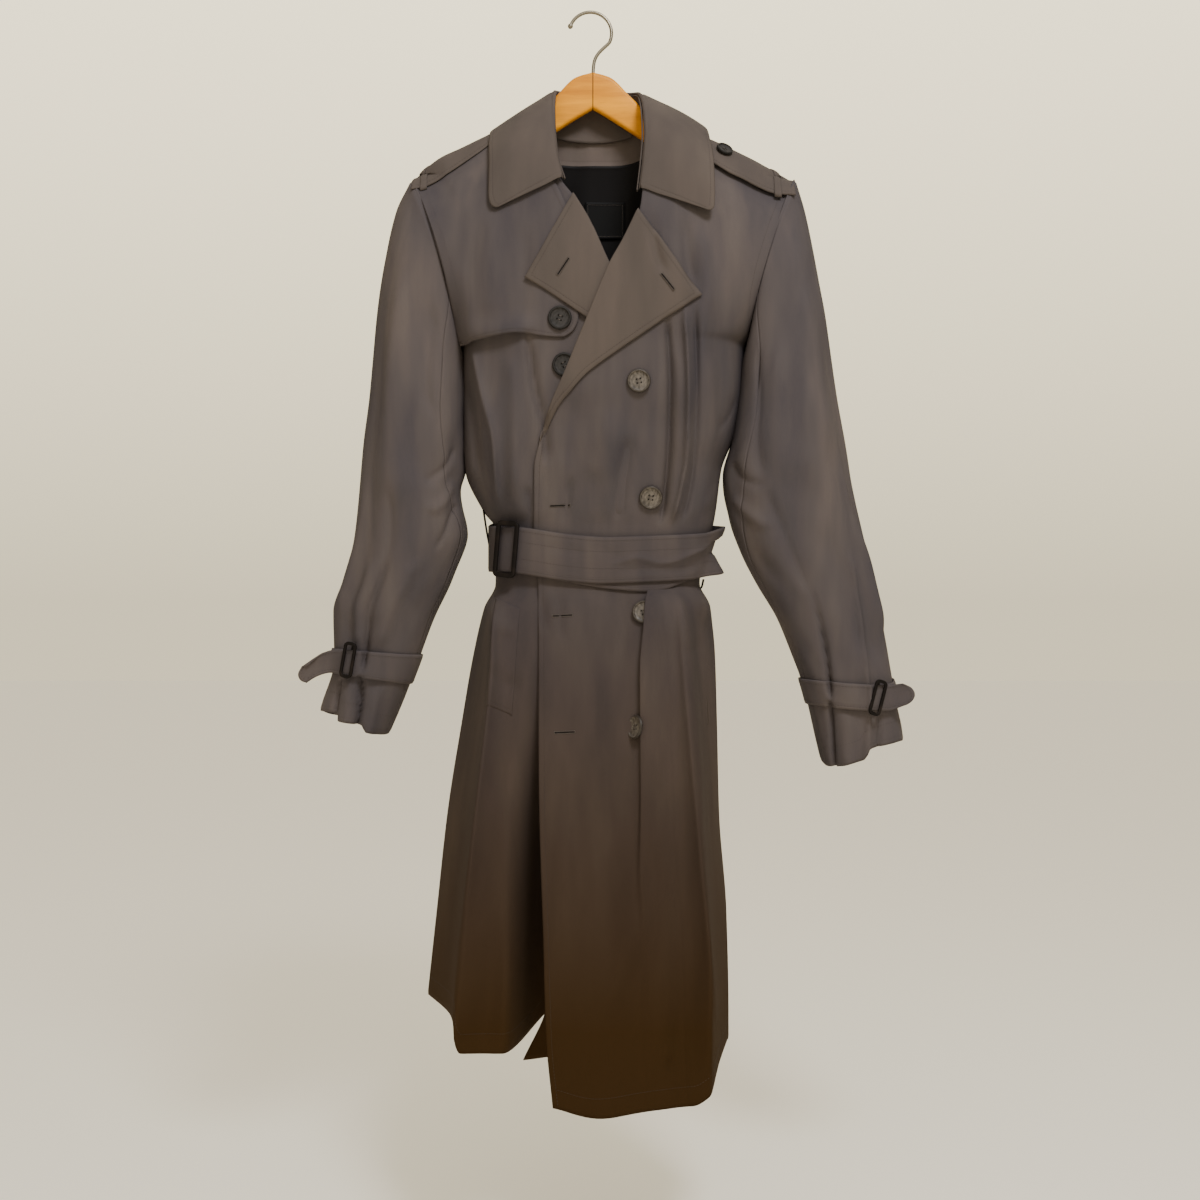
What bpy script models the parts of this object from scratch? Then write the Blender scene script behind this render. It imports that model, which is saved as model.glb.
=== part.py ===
"""A double-breasted trench coat hanging on a wooden hanger.

The origin is the underside of the hook's arch, where a nail carries the hanger.
+X is the wearer's left, the front faces -Y and +Z is up. The tables are in
millimetres. A drop is a distance below the origin. Right and left are the wearer's,
so the right half of the coat has negative X.
"""

import math
from collections import namedtuple

import bmesh
import bpy
from mathutils import Vector

MM = 0.001

# Walls
CLOTH = 1.8
TRIM = 1.6
BELTING = 2.4
THIN = 1.0
SEAM = 0.3
BODY_CORE = (12.0, -15.0)
CORE_BELOW = 25.0

# Sides
RIGHT = -1
LEFT = 1

# Colours and finishes
TAUPE = (0.125, 0.112, 0.098, 1.0)
BLACK_LINING = (0.012, 0.012, 0.013, 1.0)
HORN = (0.11, 0.10, 0.085, 1.0)
LEATHER = (0.022, 0.016, 0.013, 1.0)
BEECH = (0.60, 0.33, 0.11, 1.0)
STEEL = (0.42, 0.42, 0.43, 1.0)
LABEL_BLACK = (0.02, 0.02, 0.022, 1.0)

# Hanger
HANGER_MIDDLE = 1.0
HANGER_HALF_THICKNESS = 5.5
HANGER_UNDER_SHOULDER = 2.4
HOOK_WIRE = 2.0
HOOK_RADIUS = 25.0
HOOK_CENTRE_X = -2.0
HOOK_SHANK_END = 92.0
HOOK_BORE = 2.6

# Neck
NECK_REACH = 62.0
NECK_DIP = 32.0
BACK_NECK_X = 2.0

HangerRib = namedtuple("HangerRib", "reach top bottom")
HANGER = (
    HangerRib(0, 69, 113),
    HangerRib(20, 75, 125),
    HangerRib(45, 98.6, 141),
    HangerRib(64, 115.8, 153.5),
    HangerRib(95, 134.6, 172),
    HangerRib(132, 161, 194),
    HangerRib(170, 184.6, 215),
    HangerRib(197, 201.6, 229),
)

Shoulder = namedtuple("Shoulder", "reach drop")
RIGHT_SHOULDER = (Shoulder(62, 106), Shoulder(125, 152), Shoulder(211, 203))
LEFT_SHOULDER = (Shoulder(62, 104), Shoulder(139, 155), Shoulder(237, 203))

Armhole = namedtuple("Armhole", "tip_x tip_drop pit_x pit_drop front_y back_y")
RIGHT_ARMHOLE = Armhole(-211, 203, -152, 392, -52, 38)
LEFT_ARMHOLE = Armhole(237, 203, 179, 392, -52, 38)

# How the cloth leaves the top of the shoulder: a tight turn, then the chest or the blades
Fall = namedtuple("Fall", "turn turn_length swell swell_length")
FRONT_FALL = Fall(10, 2.5, 65, 60)
BACK_FALL = Fall(10, 2.5, 34, 50)

# Level sections of the body. wrap is how far in from the side seam the cloth turns to
# the front, and fullness is how square that turn is.
Section = namedtuple("Section", "drop right_x left_x front_y back_y side_y wrap fullness")
BODY = (
    Section(203, -211, 237, -75, 42, 0, 45, 1.15),
    Section(300, -181, 207, -75, 42, 0, 55, 1.3),
    Section(392, -152, 179, -75, 42, 0, 85, 2.0),
    Section(450, -151, 174, -75, 42, -2, 95, 2.3),
    Section(503, -151, 165, -74, 41, -3, 95, 2.4),
    Section(538, -149, 152, -69, 39, -4, 90, 2.4),
    Section(588, -127, 145, -61, 36, -6, 85, 2.4),
    Section(608, -113, 141, -58, 35, -7, 80, 2.4),
    Section(672, -113, 132, -60, 35, -8, 80, 2.4),
    Section(700, -126, 137, -70, 43, -10, 82, 2.6),
    Section(756, -139, 144, -82, 45, -14, 88, 2.8),
    Section(833, -152, 146, -95, 46, -18, 95, 3.0),
    Section(937, -168, 148, -112, 47, -24, 100, 3.0),
    Section(1051, -180, 156, -128, 48, -30, 105, 3.0),
    Section(1159, -191, 158, -140, 49, -36, 108, 3.0),
    Section(1255, -200, 158, -150, 50, -40, 110, 3.0),
)

# Folds of the fronts and of the back. A rise is outward, a negative rise is a trough.
Fold = namedtuple("Fold", "top_x top_drop low_x low_drop half_width top_rise low_rise")
FRONT_FOLDS = (
    Fold(-116, 700, -150, 1190, 16, 3, 8),
    Fold(-92, 740, -112, 1150, 15, -3, -6),
    Fold(98, 690, 137, 1170, 16, 5, 9),
    Fold(64, 690, 55, 870, 15, 10, 8),
    Fold(55, 870, 46, 1060, 22, 8, 2),
    Fold(36, 700, 28, 1000, 18, -5, -2),
    Fold(-10, 760, 4, 1240, 26, 1, 5),
    Fold(92, 760, 100, 1240, 18, -4, -7),
    Fold(101, 350, 88, 590, 14, -6, -3),
    Fold(124, 340, 110, 590, 14, 5, 4),
    Fold(-138, 396, -116, 525, 14, 6, 5),
    Fold(-100, 480, -78, 590, 16, 3, 5),
    Fold(24, 500, 30, 595, 16, 3, 4),
)
BACK_FOLDS = (
    Fold(-62, 430, -40, 585, 16, 3, 7),
    Fold(74, 440, 52, 585, 16, 3, 7),
    Fold(-110, 400, -84, 560, 14, 5, 3),
    Fold(-88, 700, -122, 1165, 24, 4, 13),
    Fold(-48, 720, -62, 1165, 18, -2, -9),
    Fold(66, 700, 92, 1200, 24, 4, 13),
    Fold(118, 740, 132, 1200, 16, -2, -6),
)

Edge = namedtuple("Edge", "drop x")
RIGHT_FRONT_EDGE = (
    Edge(106, -62),
    Edge(125, -58),
    Edge(150, -51),
    Edge(186, -44),
    Edge(214, -34),
    Edge(231, -21),
    Edge(268, 0),
    Edge(305, 17),
    Edge(345, 37),
    Edge(380, 55),
    Edge(420, 75),
    Edge(1250, 75),
)
LEFT_FRONT_EDGE = (
    Edge(104, 62),
    Edge(130, 62.5),
    Edge(165, 62),
    Edge(205, 59),
    Edge(247, 55),
    Edge(285, 36),
    Edge(313, 20),
    Edge(342, 7),
    Edge(370, -4),
    Edge(401, -16),
    Edge(441, -32),
    Edge(478, -46),
    Edge(510, -58),
    Edge(540, -65),
    Edge(632, -66),
    Edge(670, -61),
    Edge(914, -58),
    Edge(1055, -53),
    Edge(1170, -49),
    Edge(1241, -41.5),
)
RIGHT_BACK_EDGE = (
    Edge(138, 1.85),
    Edge(632, 11.85),
    Edge(744, 7.85),
    Edge(810, 22),
    Edge(1000, 30),
    Edge(1190, 36),
)
LEFT_BACK_EDGE = (
    Edge(138, 2.15),
    Edge(632, 12.15),
    Edge(744, 8.15),
    Edge(810, -8),
    Edge(1000, -24),
    Edge(1191, -57),
    Edge(1249, -84),
)

Hem = namedtuple("Hem", "x drop")
RIGHT_FRONT_HEM = (Hem(-200, 1158), Hem(-150, 1178), Hem(-116, 1183), Hem(75, 1181))
LEFT_FRONT_HEM = (
    Hem(-60, 1236),
    Hem(-41.5, 1240),
    Hem(8, 1250),
    Hem(68, 1243),
    Hem(110, 1240),
    Hem(129, 1229),
    Hem(143, 1208),
    Hem(158, 1196),
)
RIGHT_BACK_HEM = (Hem(-200, 1160), Hem(-100, 1168), Hem(40, 1174))
LEFT_BACK_HEM = (Hem(-84, 1249), Hem(-57, 1246), Hem(20, 1238), Hem(100, 1224), Hem(158, 1198))

# Where each row of a panel's grid leaves the side and reaches the centre edge
Row = namedtuple("Row", "side_drop edge_drop")
RIGHT_FRONT_ROWS = (
    Row(203, 106),
    Row(204.8, 108.4),
    Row(209, 115),
    Row(218, 130),
    Row(232, 154),
    Row(250, 186),
    Row(272, 222),
    Row(300, 262),
    Row(330, 305),
    Row(360, 350),
    Row(392, 396),
    Row(435, 437),
    Row(480, 480),
    Row(530, 530),
    Row(572, 572),
    Row(608, 608),
    Row(640, 640),
    Row(672, 672),
    Row(702, 702),
)
LEFT_FRONT_ROWS = (
    Row(203, 104),
    Row(204.8, 106.4),
    Row(209, 113),
    Row(218, 134),
    Row(231, 166),
    Row(248, 205),
    Row(270, 247),
    Row(298, 285),
    Row(330, 322),
    Row(360, 358),
    Row(392, 394),
    Row(435, 436),
    Row(480, 480),
    Row(530, 530),
    Row(572, 572),
    Row(608, 608),
    Row(640, 640),
    Row(672, 672),
    Row(702, 702),
)
BACK_ROWS = (
    Row(203, 138),
    Row(204.8, 140.4),
    Row(209, 148),
    Row(218, 164),
    Row(235, 195),
    Row(265, 240),
    Row(300, 290),
    Row(345, 342),
    Row(392, 392),
    Row(450, 450),
    Row(520, 520),
    Row(575, 575),
    Row(608, 608),
    Row(672, 672),
    Row(702, 702),
    Row(744, 744),
)
HEM_SHARES = (0.1, 0.24, 0.4, 0.56, 0.72, 0.86, 1.0)

# Layers over the right front, as heights of their outer face above it
FLAP_LIFT = 3.4
RIGHT_LAPEL_LIFT = 6.2
OVERLAP_LIFT = 3.8
CHEST_LIFT = 6.0
VENT_LIFT = 3.6
SEAM_SHIFT = 0.6
TIP_SHIFT = 1.2

# Sleeves: rings from the armhole to the cuff, by the mean drop of their two ends
Ring = namedtuple("Ring", "level outer_x outer_drop inner_x inner_drop front_y back_y fullness")
RIGHT_SLEEVE = (
    Ring(298, -212.8, 203.6, -155.5, 393, -52, 38, 2.0),
    Ring(326, -229, 237, -159.5, 414, -58, 42, 2.1),
    Ring(376, -242, 296, -159.5, 455, -62, 45, 2.3),
    Ring(426, -251, 361, -159.5, 491, -63, 46, 2.4),
    Ring(494, -260, 450, -158.5, 538, -63, 46, 2.4),
    Ring(534, -266.7, 503, -155.5, 564, -63, 45, 2.4),
    Ring(614, -277, 615, -146, 613.6, -62, 40, 2.4),
    Ring(670, -291, 668, -165, 668, -58, 37, 2.4),
    Ring(708, -302, 704, -185, 711, -54, 33, 2.3),
    Ring(742, -301.5, 739, -197, 744.6, -50, 30, 2.2),
    Ring(767, -302, 762, -206.5, 772, -48, 30, 2.2),
    Ring(834, -318.6, 822.5, -238, 845, -45, 30, 2.2),
)
LEFT_SLEEVE = (
    Ring(298, 239, 203.6, 182.5, 393, -52, 38, 2.0),
    Ring(328, 249, 237, 183, 420, -58, 42, 2.1),
    Ring(378, 261, 296, 182, 461, -62, 45, 2.3),
    Ring(426, 271, 349, 177, 503, -63, 46, 2.4),
    Ring(492, 284, 438, 162, 547, -63, 46, 2.4),
    Ring(556, 298.5, 520, 163, 591, -63, 44, 2.4),
    Ring(610, 310, 588, 176, 631, -62, 40, 2.4),
    Ring(660, 325.7, 652.5, 194.7, 668, -58, 37, 2.4),
    Ring(715, 338.7, 715, 218, 715, -54, 33, 2.3),
    Ring(759, 347, 756, 237, 762, -50, 30, 2.2),
    Ring(804, 355, 803.6, 251, 803.6, -48, 30, 2.2),
    Ring(870, 365, 861, 269, 878, -45, 30, 2.2),
)
SLEEVE_FRONT_SEAM = 118.0
SLEEVE_BACK_SEAM = 300.0
SLEEVE_RADIUS = 52.0
SEAM_TURN = 0.65

# Folds of a sleeve, by level and by the angle around it from the outer side to the front
Crease = namedtuple("Crease", "top_level top_angle low_level low_angle half_width top_rise low_rise")
RIGHT_CREASES = (
    Crease(330, 62, 560, 78, 16, 2, 5),
    Crease(420, 40, 720, 52, 15, -2, -7),
    Crease(560, 96, 700, 84, 15, 5, 4),
    Crease(480, 150, 640, 135, 14, -5, -3),
    Crease(500, 275, 690, 300, 20, -5, -5),
    Crease(360, 320, 620, 310, 22, 3, 5),
)
LEFT_CREASES = (
    Crease(330, 60, 540, 80, 16, 2, 5),
    Crease(560, 46, 740, 52, 15, -4, -7),
    Crease(500, 70, 700, 34, 14, 3, 5),
    Crease(470, 152, 640, 138, 14, -5, -3),
    Crease(500, 275, 700, 300, 20, -5, -5),
    Crease(360, 320, 640, 310, 22, 3, 5),
)

# Collar: the neck seam, the roll where it folds over and the leaf's outer edge.
# A lift puts the edge on the front or the back panel, at that height.
Station = namedtuple(
    "Station", "neck_x neck_y neck_drop roll_x roll_y roll_drop edge_x edge_y edge_drop swell lean"
)
COLLAR = (
    Station(-31.5, -63.5, 213, -34, -73, 212, -106, -75, 251, 1, 0),
    Station(-41, -58, 188, -41, -66, 183, -116, -70, 231, 3, 5),
    Station(-48, -44, 150, -44.5, -49, 142, -118, -57, 192, 6, 25),
    Station(-54.5, -27, 125, -46, -24, 110, -120, -31, 156.5, 9, 60),
    Station(-58, 0, 101, -46, 3, 91, -121, 3, 137.5, 10, 90),
    Station(-43, 13.5, 119, -34, 22, 87, -98, 34, 150, 7, 150),
    Station(2, 20.5, 134, 5, 28, 85, 4, 41, 154, 3, 180),
    Station(45, 13.5, 119, 44, 22, 88, 106, 34, 150, 7, 150),
    Station(58.5, 0, 99, 57, 4, 92, 137, 3, 140, 12, 90),
    Station(59, -34, 131, 61.5, -31, 115, 138, -32, 161, 9, 60),
    Station(58.5, -53, 166, 62.5, -58, 155, 140, -56, 190, 6, 25),
    Station(56, -61, 196, 60, -70, 189, 140, -71.5, 221, 4, 5),
    Station(52.5, -68, 228, 55.5, -78, 224, 137, -77, 252, 1, 0),
)
ROLL_AXIS = (5.0, 5.0)
STAND_INSET = 5.0
STAND_SHORT = 2.0
COLLAR_STEPS = 2

# Turned-back lapels, from the gorge down to the end of the roll
Leaf = namedtuple("Leaf", "roll_x roll_drop edge_x edge_drop")
RIGHT_LAPEL = (
    Leaf(-22, 232, -76, 327),
    Leaf(-2, 266, -50, 343),
    Leaf(15, 304, -20, 363),
    Leaf(35, 344, 16, 386),
    Leaf(72, 418, 68, 419),
)
LEFT_LAPEL = (
    Leaf(53, 252, 124, 347),
    Leaf(36, 287, 96, 366),
    Leaf(20, 315, 56, 393),
    Leaf(-4, 372, 8, 426),
    Leaf(-17, 404, -9, 439),
    Leaf(-32, 442, -26, 456),
    Leaf(-46, 480, -44, 483),
)
LEFT_LAPEL_LIFT = 4.2

# Storm flap: its front edge and the drop of its lower edge
FLAP_EDGE = (
    Edge(112, -72),
    Edge(150, -66),
    Edge(186, -58),
    Edge(228, -36),
    Edge(268, -20),
    Edge(330, -14),
    Edge(372, -17),
    Edge(392, -25),
)
FLAP_ROWS = (
    Row(209, 115),
    Row(218, 131),
    Row(232, 154),
    Row(250, 186),
    Row(272, 222),
    Row(300, 262),
    Row(330, 305),
    Row(362, 350),
    Row(385, 378),
    Row(400, 392),
)
FLAP_FROM_SEAM = 3.0

# Epaulettes, from the collar out to the armhole
Strip = namedtuple("Strip", "reach front_reach back_reach ridge_lift front_lift back_lift")
RIGHT_EPAULETTE = (
    Strip(115, 34, 12, 5.4, 5.4, 3.4),
    Strip(126, 36, 14, 7.0, 5.8, 3.4),
    Strip(149, 40, 15, 10.0, 6.0, 3.4),
    Strip(176, 42, 16, 12.5, 6.2, 3.8),
    Strip(196, 43, 17, 10.5, 6.0, 3.8),
    Strip(208.5, 43, 17, 7.0, 5.8, 3.4),
)
LEFT_EPAULETTE = (
    Strip(131, 34, 12, 4.8, 3.0, 3.0),
    Strip(144, 36, 14, 6.6, 3.2, 3.2),
    Strip(170, 40, 15, 7.4, 3.6, 3.4),
    Strip(203, 43, 16, 6.6, 3.8, 3.6),
    Strip(222, 44, 17, 5.6, 3.8, 3.6),
    Strip(234.5, 44, 17, 4.6, 3.4, 3.4),
)
EPAULETTE_COLUMNS = (1.0, 0.75, 0.5, 0.25, 0.0, -0.5, -1.0)
KEEPER_REACH = {RIGHT: 194.0, LEFT: 214.0}
KEEPER_WIDTH = 9.0
KEEPER_CLEAR = 3.5
KEEPER_WALL = 1.4

# Belt: drop of its centre line around the body, by the angle from the right side
BeltPoint = namedtuple("BeltPoint", "angle drop lift")
BELT = (
    BeltPoint(0, 631, 8.4),
    BeltPoint(40, 634, 10.6),
    BeltPoint(75, 641, 11.3),
    BeltPoint(105, 646, 11.3),
    BeltPoint(150, 646, 10.6),
    BeltPoint(180, 638, 7.4),
    BeltPoint(230, 626, 5.0),
    BeltPoint(300, 622, 5.0),
    BeltPoint(340, 626, 6.2),
    BeltPoint(360, 631, 8.4),
)
BELT_PRESS = (586.0, 606.0, 678.0, 702.0)
BELT_WIDTH = 53.0
BELT_AROUND = 44
TAIL_WIDTH = 50.0
TAIL_DROOP = 9.0
TAIL_LIFT = 7.7
TAIL_FROM = 47.0
TAIL_TO = 140.0
TAIL_WALL = 2.0

# Buckles: sizes of the frame, the window's borders and the bar behind the strap
Buckle = namedtuple("Buckle", "length height border thickness bar_width bar_wall bar_depth")
BELT_BUCKLE = Buckle(31, 65, 4.0, 3.4, 5, 2.0, 5.4)
CUFF_BUCKLE = Buckle(22, 42, 3.5, 3.0, 4, 1.5, 4.3)
BELT_BUCKLE_X = -100.0
BELT_BUCKLE_CLEAR = 1.9
CUFF_BUCKLE_CLEAR = 1.6

# Cuff straps: level and height of the strap, the buckle's angle and the free tip
Cuff = namedtuple("Cuff", "level width buckle_angle tip_length tip_droop")
CUFFS = {RIGHT: Cuff(767, 32, 52, 47, 20), LEFT: Cuff(799, 32, 52, 36, -8)}
STRAP_LIFT = 3.2
STRAP_OVER_LIFT = 7.0
STRAP_WALL = 1.8
STRAP_START = 9.0

# Pocket welts, standing along the side of each front
Welt = namedtuple("Welt", "top_x top_drop low_x low_drop width")
WELTS = {RIGHT: Welt(-100, 694, -109, 826, 27), LEFT: Welt(112, 700, 120, 840, 27)}
WELT_LIFT = 3.0

# Buttons: place and height of the cloth below them
Button = namedtuple("Button", "name x drop clear")
FRONT_BUTTONS = (
    Button("front_button_1", 53, 445, 0.5),
    Button("front_button_2", 67, 574, 0.5),
    Button("front_button_3", 60, 706, -1.2),
    Button("front_button_4", 48, 834, 1.35),
)
UNDER_BUTTON = Button("under_button", -37, 424, 0.5)
STORM_BUTTON = Button("storm_flap_button", -36, 373, 0.5)
BUTTON_RADIUS = 13.5
SMALL_BUTTON_RADIUS = 10.0
EPAULETTE_BUTTON_REACH = 151.0
BUTTON_THICKNESS = 4.0
BUTTON_SIDES = 16

# Inside the neck
FACING_REACH = 44.0
FACING_SIDE_DROP = 126.0
FACING_DIP = 44.0
FACING_LIFT = -4.8
LINING_LIFT = -5.4
LINING_BELOW_FACING = 1.9
LINING_RIGHT_X = -116.0
LINING_LEFT_X = 138.0
LINING_END = 384.0
LABEL_MIDDLE = (15.5, 236.0)
LABEL_SIZE = (48.0, 44.0)
LABEL_LIFT = -7.0

NORMAL_STEP = 1.5


def place(x, y, drop):
    """A point given in millimetres, as a vector in metres."""
    return Vector((x * MM, y * MM, -drop * MM))


def ramp(value, low, high):
    """An eased step from 0 at low to 1 at high."""
    share = min(max((value - low) / (high - low), 0.0), 1.0)
    return share * share * (3.0 - 2.0 * share)


def slope_at(keys, values, index):
    """The slope at a row that keeps the curve from overshooting its rows."""
    last = len(keys) - 1
    if index == 0:
        return (values[1] - values[0]) / (keys[1] - keys[0])
    if index == last:
        return (values[last] - values[last - 1]) / (keys[last] - keys[last - 1])
    before = (values[index] - values[index - 1]) / (keys[index] - keys[index - 1])
    after = (values[index + 1] - values[index]) / (keys[index + 1] - keys[index])
    if before * after <= 0.0:
        return 0.0
    return 2.0 * before * after / (before + after)


def follow(rows, key, column, at):
    """A table's column at any place along its key, on a smooth curve through the rows."""
    keys = [getattr(row, key) for row in rows]
    values = [getattr(row, column) for row in rows]
    if at <= keys[0]:
        return values[0]
    if at >= keys[-1]:
        return values[-1]
    index = max(place_of for place_of, start in enumerate(keys) if start <= at)
    span = keys[index + 1] - keys[index]
    share = (at - keys[index]) / span
    start_slope = slope_at(keys, values, index) * span
    end_slope = slope_at(keys, values, index + 1) * span
    square = share * share
    cube = square * share
    return (
        values[index] * (2 * cube - 3 * square + 1)
        + start_slope * (cube - 2 * square + share)
        + values[index + 1] * (3 * square - 2 * cube)
        + end_slope * (cube - square)
    )


def shoulder_drop(x):
    """Drop of the shoulder's top line, level across the neck."""
    rows = RIGHT_SHOULDER if x < 0 else LEFT_SHOULDER
    return follow(rows, "reach", "drop", abs(x))


def back_neck_drop(x):
    """Drop of the back's top edge: the shoulders and the scoop of the neck."""
    share = min(abs(x) / NECK_REACH, 1.0)
    return shoulder_drop(x) + NECK_DIP * (1.0 - share ** 2.2)


def armhole_of(side):
    return RIGHT_ARMHOLE if side == RIGHT else LEFT_ARMHOLE


def side_x(side, drop):
    """X of a body panel's side edge: the armhole, then the side seam."""
    hole = armhole_of(side)
    if drop >= hole.pit_drop:
        return follow(BODY, "drop", "right_x" if side == RIGHT else "left_x", drop)
    share = max((drop - hole.tip_drop) / (hole.pit_drop - hole.tip_drop), 0.0)
    return hole.tip_x + (hole.pit_x - hole.tip_x) * share


def side_y(side, drop, back):
    """Y of a body panel's side edge."""
    hole = armhole_of(side)
    if drop >= hole.pit_drop:
        return follow(BODY, "drop", "side_y", drop)
    share = max((drop - hole.tip_drop) / (hole.pit_drop - hole.tip_drop), 0.0)
    depth = hole.back_y if back else hole.front_y
    return depth * math.sqrt(max(1.0 - (1.0 - 2.0 * share) ** 2, 0.0))


def fold_rise(folds, x, drop):
    """Sum of the folds' heights at a place on a panel. The belt presses them flat."""
    above, belt_top, belt_end, below = BELT_PRESS
    free = 1.0 - ramp(drop, above, belt_top) + ramp(drop, belt_end, below)
    total = 0.0
    for fold in folds:
        run_x = fold.low_x - fold.top_x
        run_drop = fold.low_drop - fold.top_drop
        share = ((x - fold.top_x) * run_x + (drop - fold.top_drop) * run_drop) / (run_x**2 + run_drop**2)
        share = min(max(share, 0.0), 1.0)
        away_x = x - fold.top_x - run_x * share
        away_drop = drop - fold.top_drop - run_drop * share
        away = (away_x**2 + (0.5 * away_drop) ** 2) / fold.half_width**2
        total += (fold.top_rise + (fold.low_rise - fold.top_rise) * share) * math.exp(-away)
    return total * free


def body_y(x, drop, back=False):
    """Y of the coat's outer face at a place seen from the front."""
    side = RIGHT if x < 0 else LEFT
    rule = BACK_FALL if back else FRONT_FALL
    full = follow(BODY, "drop", "back_y" if back else "front_y", drop)
    down = max(drop - shoulder_drop(x), 0.0)
    hung = rule.turn * (1.0 - math.exp(-down / rule.turn_length))
    hung += rule.swell * (1.0 - math.exp(-down / rule.swell_length))
    hung *= full / (rule.turn + rule.swell)
    start = side_y(side, drop, back)
    wrap = follow(BODY, "drop", "wrap", drop)
    fullness = follow(BODY, "drop", "fullness", drop)
    reach = min(max(side * (side_x(side, drop) - x) / wrap, 0.0), 1.0)
    turned = (1.0 - (1.0 - reach) ** fullness) ** (1.0 / fullness)
    outward = fold_rise(BACK_FOLDS if back else FRONT_FOLDS, x, drop) * turned
    return start + (hung - start) * turned + (outward if back else -outward)


def on_body(x, drop, lift=0.0, back=False):
    """A point at a height above the coat's outer face, and the outward direction there."""
    y = body_y(x, drop, back)
    across = (body_y(x + NORMAL_STEP, drop, back) - body_y(x - NORMAL_STEP, drop, back)) / (2 * NORMAL_STEP)
    down = (body_y(x, drop + NORMAL_STEP, back) - body_y(x, drop - NORMAL_STEP, back)) / (2 * NORMAL_STEP)
    out = Vector((across, -1.0, -down)).normalized()
    if back:
        out.negate()
    return place(x, y, drop) + out * lift * MM, out


def overlap_lift(x, drop):
    """Height of the left front above the right one, which it covers."""
    chest = CHEST_LIFT * (1.0 - ramp(drop, 440, 500))
    return (OVERLAP_LIFT + chest) * ramp(drop, 170, 250) * (1.0 - ramp(x, 84, 150))


def vent_lift(x, drop):
    """Height of the left back above the right one, along the vent."""
    return VENT_LIFT * ramp(drop, 672, 740) * (1.0 - ramp(x, 44, 84))


def recess(x, drop):
    """How far the right front falls back under the left one, below the belt."""
    return 108.0 * ramp(drop, 690, 1330) * 2.0 * ramp(x, -96, -42)


def panel_grid(side, rows, edge, hem, columns, back=False, lift_rule=None, sink_rule=None):
    """Grid of a body panel, from its side edge to its centre edge and down to the hem."""
    top_edge_drop = rows[0].edge_drop
    top_side_drop = rows[0].side_drop
    levels = [(row.side_drop, row.edge_drop, None) for row in rows]
    start = rows[-1].side_drop
    levels += [(start, start, share) for share in HEM_SHARES]
    pit_drop = armhole_of(side).pit_drop
    shoulder_line = []
    grid = []
    for side_drop, edge_drop, share in levels:
        guide_drop = side_drop if share is None else start + share * (1180 - start)
        right_x = side_x(RIGHT, guide_drop)
        left_x = side_x(LEFT, guide_drop)
        middle = 0.5 * (right_x + left_x)
        half = 0.5 * (left_x - right_x)
        end_drop = edge_drop if share is None else guide_drop
        edge_x = follow(edge, "drop", "x", end_drop)
        first_turn = side * 0.5 * math.pi
        last_turn = math.asin((edge_x - middle) / half)
        points = []
        for column in range(columns + 1):
            turn = first_turn + (last_turn - first_turn) * column / columns
            x = middle + half * math.sin(turn)
            begin_x = side_x(side, guide_drop)
            across = (x - begin_x) / (edge_x - begin_x)
            if share is None:
                drop = side_drop + (edge_drop - side_drop) * across
                if not grid:
                    straight = top_side_drop + (top_edge_drop - top_side_drop) * across
                    top = back_neck_drop(x) if back else shoulder_drop(x)
                    shoulder_line.append(top - straight)
                fade = 1.0 - ramp(side_drop, top_side_drop, pit_drop)
                drop += shoulder_line[column] * fade
            else:
                drop = start + share * (follow(hem, "x", "drop", x) - start)
                x += (side_x(side, drop) - begin_x) * (1.0 - across)
            lift = lift_rule(x, drop) if lift_rule else 0.0
            point = on_body(x, drop, lift, back)[0] if lift else place(x, body_y(x, drop, back), drop)
            if sink_rule:
                point.y += sink_rule(x, drop) * MM
            points.append(point)
        grid.append(points)
    return grid


def sleeve_point(side, level, angle, lift=0.0):
    """A point around a sleeve, at a height above its face, and the outward direction."""
    rows = RIGHT_SLEEVE if side == RIGHT else LEFT_SLEEVE
    creases = RIGHT_CREASES if side == RIGHT else LEFT_CREASES
    outer = Vector((follow(rows, "level", "outer_x", level), -follow(rows, "level", "outer_drop", level)))
    inner = Vector((follow(rows, "level", "inner_x", level), -follow(rows, "level", "inner_drop", level)))
    front = follow(rows, "level", "front_y", level)
    back = follow(rows, "level", "back_y", level)
    power = 2.0 / follow(rows, "level", "fullness", level)
    turn = math.radians(angle)
    outward = math.copysign(abs(math.cos(turn)) ** power, math.cos(turn))
    forward = math.copysign(abs(math.sin(turn)) ** power, math.sin(turn))
    centre = 0.5 * (outer + inner)
    half = 0.5 * (outer - inner)
    depth = 0.5 * (back - front)
    flat = centre + half * outward
    y = 0.5 * (back + front) - depth * forward
    width = half.length
    axis = half.normalized()
    leaning = math.copysign(abs(math.cos(turn)) ** (2.0 - power), math.cos(turn)) / width
    facing = math.copysign(abs(math.sin(turn)) ** (2.0 - power), math.sin(turn)) / depth
    size = math.hypot(leaning, facing)
    out = Vector((axis.x * leaning / size, -facing / size, axis.y * leaning / size))
    rise = 0.0
    for crease in creases:
        run = crease.low_level - crease.top_level
        share = min(max((level - crease.top_level) / run, 0.0), 1.0)
        centre_angle = crease.top_angle + (crease.low_angle - crease.top_angle) * share
        off_level = level - crease.top_level - run * share
        around = math.radians((angle - centre_angle + 180.0) % 360.0 - 180.0) * SLEEVE_RADIUS
        away = (around**2 + (0.6 * off_level) ** 2) / crease.half_width**2
        rise += (crease.top_rise + (crease.low_rise - crease.top_rise) * share) * math.exp(-away)
    fade = ramp(level, rows[0].level, rows[1].level + 30)
    base = Vector((flat.x, y, flat.y)) + out * (rise * fade + lift)
    return base * MM, out


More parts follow.
